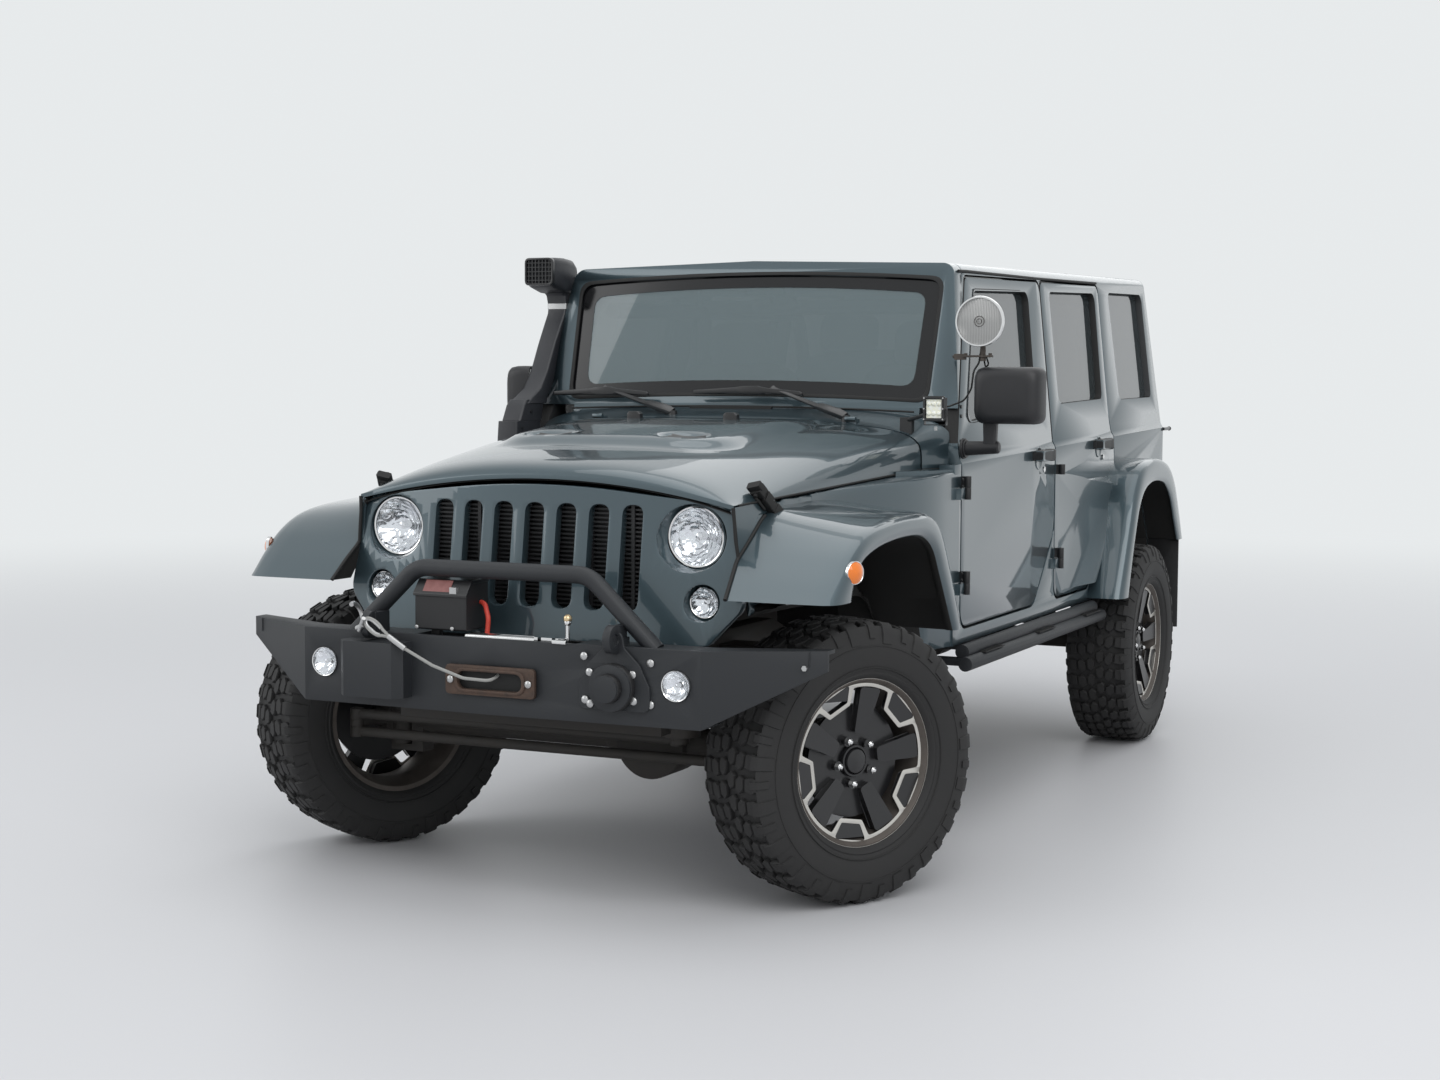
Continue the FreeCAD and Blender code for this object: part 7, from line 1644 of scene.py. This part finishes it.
def wiper_pieces():
    for word, pivot, elbow, start, end in (
            ("left", (0.428, 0.885, 1.322), (0.131, 0.979, 1.415), (-0.162, 0.972, 1.401),
             (0.238, 0.972, 1.3985)),
            ("right", (-0.2, 0.898, 1.33), (-0.5, 0.979, 1.413), (-0.7, 0.97, 1.393),
             (-0.33, 0.97, 1.395))):
        pivot, elbow, start, end = (at(*p) for p in (pivot, elbow, start, end))
        shape = Shape()
        shape.bar(pivot - Vector((0, 0, 0.026)), pivot + Vector((0, -0.002, 0.01)), 0.017, 0.013,
                  24)
        run = elbow - pivot
        up = Vector((0, -0.55, 0.83))
        across = run.cross(up).normalized()
        rings = []
        for share, wide, tall, lift in ((0.0, 0.013, 0.009, 0.006), (0.1, 0.015, 0.01, 0.008),
                (0.34, 0.0125, 0.009, 0.004), (0.4, 0.0085, 0.0055, 0.001),
                (0.97, 0.0065, 0.0045, 0.0), (1.02, 0.01, 0.006, 0.0)):
            centre = pivot + run * share + up * lift
            rings.append([centre + across * a + up * b for a, b in
                          rounded_ring(wide, tall, 0.003, 2)])
        shape.hull(rings)
        along = end - start
        rings = []
        for share, wide, tall in ((0.0, 0.004, 0.004), (0.02, 0.0085, 0.007), (0.4, 0.0095, 0.009),
                (0.47, 0.0125, 0.013), (0.6, 0.0125, 0.014), (0.68, 0.0095, 0.009),
                (0.98, 0.0085, 0.007), (1.0, 0.004, 0.004)):
            centre = start + along * share + Vector((0, 0, 0.01 * sin(pi * share)))
            rings.append([centre + Vector((0, a, b)) for a, b in
                          rounded_ring(wide, tall, 0.002, 2)])
        shape.hull(rings)
        shape.bar(start + Vector((0, 0.012, -0.004)), end + Vector((0, 0.012, -0.004)), 0.0028,
                  sides=8)
        shape.piece("Wiper " + word, "satin_black", bevel=0.0008, smooth=40, replaces=("wipers",))
    jets = Shape()
    for x in (-0.17, 0.17):
        rings = []
        for z, wide in ((1.315, 0.024), (1.334, 0.024), (1.342, 0.016)):
            rings.append([at(x + a, 0.56 + b, z) for a, b in rounded_ring(wide, 0.014, 0.006, 3)])
        jets.hull(rings)
    jets.piece("Washer jets", "satin_black", "bonnet", bevel=0.001, smooth=40)


def door_trim():
    for word, side in SIDES.items():
        for place, y, z in (("front", 1.8, 1.18), ("rear", 2.596, 1.198)):
            body = "door_%s_%s" % (place, word)
            shape = Shape()
            rings = []
            for share, half, out in ((-1.0, 0.013, 0.0), (-0.94, 0.0185, 0.002),
                    (-0.5, 0.0195, 0.004), (0.3, 0.02, 0.005), (0.62, 0.019, 0.004),
                    (0.72, 0.0215, 0.006), (0.98, 0.0215, 0.006), (1.04, 0.016, 0.002)):
                rings.append([at(side * (0.818 + a + out * 0.5), y + share * 0.076, z + b)
                              for a, b in rounded_ring(0.0185, half, 0.008, 4)])
            shape.hull(rings)
            for share in (-0.9, 0.88):
                shape.box(at(side * 0.799, y + share * 0.07 - 0.016, z - 0.0165),
                          at(side * 0.812, y + share * 0.07 + 0.016, z + 0.0165))
            shape.piece("Handle %s %s" % (place, word), "black_plastic", body,
                        bevel=0.002, smooth=40)
            cup = Shape()
            turn = Matrix.Rotation(0.0 if side > 0 else pi, 4, "Z")
            across = Matrix.Translation(at(side * BODY_SIDE, y - 0.008, z - 0.01)) @ turn
            cup.lathe([(-0.0005, 0.041), (0.0016, 0.04), (0.0022, 0.038), (0.0014, 0.036),
                       (0.0004, 0.034), (0.0003, 0.0008)], across, 48)
            cup.piece("Handle cup %s %s" % (place, word), "paint", body, smooth=40)
            lock = Shape()
            lock.bar(at(side * 0.8, y + 0.062, z - 0.052), at(side * 0.803, y + 0.062, z - 0.052),
                     0.0105, sides=24)
            lock.piece("Lock %s %s" % (place, word), "chrome", body, bevel=0.0008)
        screws = Shape()
        for z in (0.812, 0.834, 1.11, 1.132):
            for y in (0.915, 2.026):
                screws.bar(at(side * 0.815, y, z), at(side * 0.819, y, z), 0.0045, sides=12)
        for y, z in ((0.985, 1.215), (0.99, 1.25), (1.02, 1.33), (1.03, 1.36)):
            where = skin_at(z)
            screws.bar(at(side * (where - 0.002), y, z), at(side * (where + 0.005), y, z), 0.0065,
                       sides=6)
        screws.piece("Body bolts " + word, "satin_black")
        steps = Shape()
        for y in (1.02, 1.62, 2.22):
            steps.box(at(side * 0.829, y, 0.57), at(side * 0.866, y + 0.2, 0.573))
            for k in range(8):
                steps.box(at(side * 0.831, y + 0.01 + k * 0.024, 0.5725),
                          at(side * 0.864, y + 0.02 + k * 0.024, 0.575))
        steps.piece("Step pads " + word, "seal_rubber")


def rear_pieces():
    for word, side in SIDES.items():
        lamp = Shape()
        join(lamp, plate([shifted(rounded_ring(0.0585, 0.102, 0.018), side * 0.727, 1.0625)],
                         0.0, 0.052, 0.006), Matrix.Translation(at(0, 3.6305, 0)) @
             Matrix.Rotation(radians(90), 4, "Z") @ Matrix.Diagonal((1, -1, 1, 1)))
        lamp.piece("Tail lamp " + word, "black_plastic", smooth=40, replaces=("tail_lamps",))
        lens = Shape()
        for low, high in ((0.972, 1.01), (1.046, 1.152)):
            lens.box(at(side * 0.727 - 0.05, 3.672, low), at(side * 0.727 + 0.05, 3.6905, high))
        lens.piece("Tail lens " + word, "red_lens", bevel=0.006)
        clear = Shape()
        clear.box(at(side * 0.727 - 0.05, 3.672, 1.0135), at(side * 0.727 + 0.05, 3.6895, 1.0425))
        clear.piece("Reversing lens " + word, "white_lens", bevel=0.004)
    stub = Shape()
    stub.bar(at(0.802, 3.625, 1.235), at(0.802, 3.73, 1.235), 0.007)
    stub.ball(at(0.802, 3.732, 1.235), 0.0095)
    stub.piece("Rear stub", "satin_black", smooth=50)


# Cabin


def cushion(shape, place, half, roundness=5.0):
    """A crowned, closed pad about a placement matrix."""
    made = bmesh.new()
    bmesh.ops.create_uvsphere(made, u_segments=40, v_segments=26, radius=1.0)
    for vertex in made.verts:
        p = vertex.co
        size = sum(abs(value) ** roundness for value in p) ** (1 / roundness)
        vertex.co = Vector([value / size * reach for value, reach in zip(p, half)])
    join(shape, made, place)


def pad(name, place, half, roundness=5.0, replaces=()):
    shape = Shape()
    cushion(shape, place, half, roundness)
    made = shape.piece(name, "seat_cloth", smooth=180, replaces=replaces)
    return made


def seat_pieces():
    for word, x, half, y, top in (("left", 0.37, 0.245, 1.76, 0.89),
            ("right", -0.37, 0.245, 1.76, 0.89), ("bench", 0.0, 0.535, 2.68, 0.95)):
        lean = Matrix.Rotation(radians(-9.6), 4, "X")
        pad("Seat squab " + word, Matrix.Translation(at(x, y - 0.27, top - 0.076)),
            (half, 0.245, 0.074), 6.0, ("seats",))
        back = Matrix.Translation(at(x, y + 0.004, top + 0.262)) @ lean
        pad("Seat back " + word, back, (half, 0.062, 0.352), 6.0)
        places = (x,) if word != "bench" else (x - 0.3, x + 0.3)
        for place in places:
            head = Matrix.Translation(at(place, y + 0.065, top + 0.68)) @ lean
            tag = "" if word != "bench" else (" right" if place < 0 else " left")
            pad("Headrest " + word + tag, head, (0.122, 0.046, 0.086), 4.0)
        posts = Shape()
        for place in places:
            for shift in (-0.06, 0.06):
                posts.bar(at(place + shift, y + 0.052, top + 0.56),
                          at(place + shift, y + 0.062, top + 0.64), 0.006)
        posts.piece("Headrest posts " + word, "chrome")
        foot = Shape()
        foot.box(at(x - half * 0.8, y - 0.46, 0.672 if word != "bench" else 0.774),
                 at(x + half * 0.8, y - 0.06, top - 0.14))
        foot.piece("Seat base " + word, "cabin_trim", bevel=0.004)


# The frame's own pieces

COATS = (
    ("paint", 0.0035, ("body_tub", "hard_top", "windscreen_frame",
                       "tailgate", "door_front_left", "door_front_right", "door_rear_left",
                       "door_rear_right")),
    ("powder_coat", 0.003, ("front_bumper", "side_steps", "rear_bumper")),
    ("chassis_black", 0.002, ("chassis_frame", "axles", "drivetrain", "suspension", "exhaust",
                              "engine_block", "knuckle_left", "knuckle_right", "tie_rod",
                              "pitman_arm", "fuel_tank")),
    ("black_plastic", 0.002, ("radiator", "dashboard", "roll_bar", "mud_flaps")),
    ("tinted_glass", 0.0, ("door_glass_front_left", "door_glass_front_right",
                           "door_glass_rear_left", "door_glass_rear_right", "hard_top_glass")),
    # The windscreen glass carries painted reflection in its pale colour.
    ("clear_glass", 0.0, ("windscreen_glass",)),
)


# The add-on


class RoaderSizes(bpy.types.PropertyGroup):
    tread_pitches: bpy.props.IntProperty(
        name="Tread pitches", description="Blocks round each row of a tyre's tread",
        default=38, min=20, max=60)
    tread_depth: bpy.props.FloatProperty(
        name="Tread depth", description="Height of the tread blocks",
        default=0.0125, min=0.004, max=0.02, unit="LENGTH", subtype="DISTANCE")
    lens_length: bpy.props.FloatProperty(
        name="Camera lens", description="Focal length of the camera that matches the photograph",
        default=54.32, min=10.0, max=300.0, unit="CAMERA")


class RoaderColours(bpy.types.PropertyGroup):
    paint: bpy.props.FloatVectorProperty(
        name="Body paint", description="Metallic paint of the body, grille and flares",
        default=(0.05, 0.078, 0.092), size=3, min=0.0, max=1.0, subtype="COLOR")
    bumper: bpy.props.FloatVectorProperty(
        name="Powder coat", description="Coat of the bumper, hoop and steps",
        default=(0.017, 0.019, 0.022), size=3, min=0.0, max=1.0, subtype="COLOR")
    floor: bpy.props.FloatVectorProperty(
        name="Floor", description="Colour of the studio floor",
        default=(0.6, 0.6, 0.61), size=3, min=0.0, max=1.0, subtype="COLOR")


class ROADER_OT_coats(bpy.types.Operator):
    """Coat the frame's own pieces and soften their edges"""

    bl_idname = "roader.coats"
    bl_label = "Coats"

    def execute(self, context):
        for finish_name, bevel, nodes in COATS:
            for node in nodes:
                dress(node, finish_name, bevel)
        trim_nodes()
        fender_pieces()
        return {"FINISHED"}


class ROADER_OT_wheels(bpy.types.Operator):
    """Build the five tyres with their tread and the five rims"""

    bl_idname = "roader.wheels"
    bl_label = "Wheels"

    def execute(self, context):
        sizes = context.scene.roader_sizes
        for wheel in WHEELS:
            tyre_piece(wheel, sizes.tread_pitches, sizes.tread_depth)
            rim_pieces(wheel)
        return {"FINISHED"}


class ROADER_OT_grille(bpy.types.Operator):
    """Build the grille's shell with its slots, and the fins behind it"""

    bl_idname = "roader.grille"
    bl_label = "Grille"

    def execute(self, context):
        grille_pieces()
        return {"FINISHED"}


class ROADER_OT_lamps(bpy.types.Operator):
    """Build the head, park and fog lamps and the side markers"""

    bl_idname = "roader.lamps"
    bl_label = "Lamps"

    def execute(self, context):
        lamp_pieces()
        return {"FINISHED"}


class ROADER_OT_glazing(bpy.types.Operator):
    """Build the borders, seals and gutters of the windscreen and windows"""

    bl_idname = "roader.glazing"
    bl_label = "Glazing"

    def execute(self, context):
        screen_pieces()
        window_pieces()
        return {"FINISHED"}


class ROADER_OT_snorkel(bpy.types.Operator):
    """Build the snorkel with its head, clamp and bolts"""

    bl_idname = "roader.snorkel"
    bl_label = "Snorkel"

    def execute(self, context):
        snorkel_pieces()
        return {"FINISHED"}


class ROADER_OT_mirrors(bpy.types.Operator):
    """Build the two door mirrors"""

    bl_idname = "roader.mirrors"
    bl_label = "Door mirrors"

    def execute(self, context):
        mirror_pieces()
        return {"FINISHED"}


class ROADER_OT_auxiliary(bpy.types.Operator):
    """Build the spot lamp and the work lamp on their stays"""

    bl_idname = "roader.auxiliary"
    bl_label = "Auxiliary lamps"

    def execute(self, context):
        auxiliary_pieces()
        return {"FINISHED"}


class ROADER_OT_bumper(bpy.types.Operator):
    """Build the bumper's brackets, socket, bolts and welds"""

    bl_idname = "roader.bumper"
    bl_label = "Bumper trim"

    def execute(self, context):
        bumper_pieces()
        return {"FINISHED"}


class ROADER_OT_winch(bpy.types.Operator):
    """Build the winch, its pack, fairlead, rope and shackle"""

    bl_idname = "roader.winch"
    bl_label = "Winch"

    def execute(self, context):
        winch_pieces()
        rope_pieces()
        return {"FINISHED"}


class ROADER_OT_trim(bpy.types.Operator):
    """Build the bonnet latches, wipers, handles, hinges' bolts and step pads"""

    bl_idname = "roader.trim"
    bl_label = "Body trim"

    def execute(self, context):
        bonnet_pieces()
        bonnet_trim()
        wiper_pieces()
        door_trim()
        return {"FINISHED"}


class ROADER_OT_rear(bpy.types.Operator):
    """Build the tail lamps and the rear stub"""

    bl_idname = "roader.rear"
    bl_label = "Rear"

    def execute(self, context):
        rear_pieces()
        return {"FINISHED"}


class ROADER_OT_cabin(bpy.types.Operator):
    """Build the padded seats with their headrests"""

    bl_idname = "roader.cabin"
    bl_label = "Cabin"

    def execute(self, context):
        seat_pieces()
        return {"FINISHED"}


# Where the camera stands, and its yaw, pitch and roll.
CAMERA_PLACE = (3.0266, -7.2979, 1.4613)
CAMERA_TURN = (0.43622, -0.0761404, 0.0041688)


class ROADER_OT_stage(bpy.types.Operator):
    """Set up the studio: floor, lamps, background and camera"""

    bl_idname = "roader.stage"
    bl_label = "Studio"

    def execute(self, context):
        scene = context.scene
        floor = Shape()
        floor.box((-40, -40, -0.05), (40, 40, 0.0))
        ground = floor.piece("Floor", "studio_floor", None, None)
        lamps = (("Key lamp", (5.5, -7.0, 7.5), 7.0, 400.0),
                 ("Fill lamp", (-7.5, -6.0, 5.0), 6.0, 190.0),
                 ("Back lamp", (0.0, 8.0, 7.0), 8.0, 140.0),
                 ("Top lamp", (0.0, -0.5, 8.5), 7.0, 160.0))
        for name, place, size, power in lamps:
            light = bpy.data.lights.new(name, "AREA")
            light.energy = power
            light.size = size
            lamp = bpy.data.objects.new(name, light)
            lamp.location = place
            lamp.rotation_euler = (Vector((0, 0, 0.6)) - lamp.location).to_track_quat(
                "-Z", "Y").to_euler()
            scene.collection.objects.link(lamp)
        scene.world = bpy.data.worlds.new("Studio")
        backdrop(Finish(scene.world, "ShaderNodeOutputWorld"))
        scene.view_settings.view_transform = "Standard"
        lens = bpy.data.cameras.new("Camera")
        lens.lens = scene.roader_sizes.lens_length
        lens.sensor_width = 36.0
        camera = bpy.data.objects.new("Camera", lens)
        yaw, pitch, roll = CAMERA_TURN
        ahead = Vector((-sin(yaw) * cos(pitch), cos(yaw) * cos(pitch), sin(pitch)))
        right = ahead.cross(Vector((0, 0, 1))).normalized()
        up = right.cross(ahead)
        across = right * cos(roll) + up * sin(roll)
        above = up * cos(roll) - right * sin(roll)
        frame_of = Matrix((across, above, -ahead)).transposed().to_4x4()
        camera.matrix_world = Matrix.Translation(CAMERA_PLACE) @ frame_of
        scene.collection.objects.link(camera)
        scene.camera = camera
        return {"FINISHED"}


OPERATORS = (ROADER_OT_stage, ROADER_OT_coats, ROADER_OT_wheels, ROADER_OT_grille, ROADER_OT_lamps,
             ROADER_OT_glazing, ROADER_OT_snorkel, ROADER_OT_mirrors, ROADER_OT_auxiliary,
             ROADER_OT_bumper, ROADER_OT_winch, ROADER_OT_trim, ROADER_OT_rear, ROADER_OT_cabin)


class ROADER_PT_panel(bpy.types.Panel):
    """The off-roader's sizes, colours and build steps"""

    bl_idname = "ROADER_PT_panel"
    bl_label = "Lifted Off-Roader"
    bl_space_type = "VIEW_3D"
    bl_region_type = "UI"
    bl_category = "Off-Roader"

    def draw(self, context):
        layout = self.layout
        for group in (context.scene.roader_sizes, context.scene.roader_colours):
            box = layout.box()
            for word in group.__annotations__:
                box.prop(group, word)
        for operator in OPERATORS:
            layout.operator(operator.bl_idname)


CLASSES = (RoaderSizes, RoaderColours, *OPERATORS, ROADER_PT_panel)


def register():
    for made in CLASSES:
        bpy.utils.register_class(made)
    bpy.types.Scene.roader_sizes = bpy.props.PointerProperty(type=RoaderSizes)
    bpy.types.Scene.roader_colours = bpy.props.PointerProperty(type=RoaderColours)


def unregister():
    del bpy.types.Scene.roader_colours
    del bpy.types.Scene.roader_sizes
    for made in reversed(CLASSES):
        bpy.utils.unregister_class(made)


def main():
    register()
    for operator in OPERATORS:
        call = bpy.ops
        for word in operator.bl_idname.split("."):
            call = getattr(call, word)
        call()


if __name__ == "__main__":
    main()
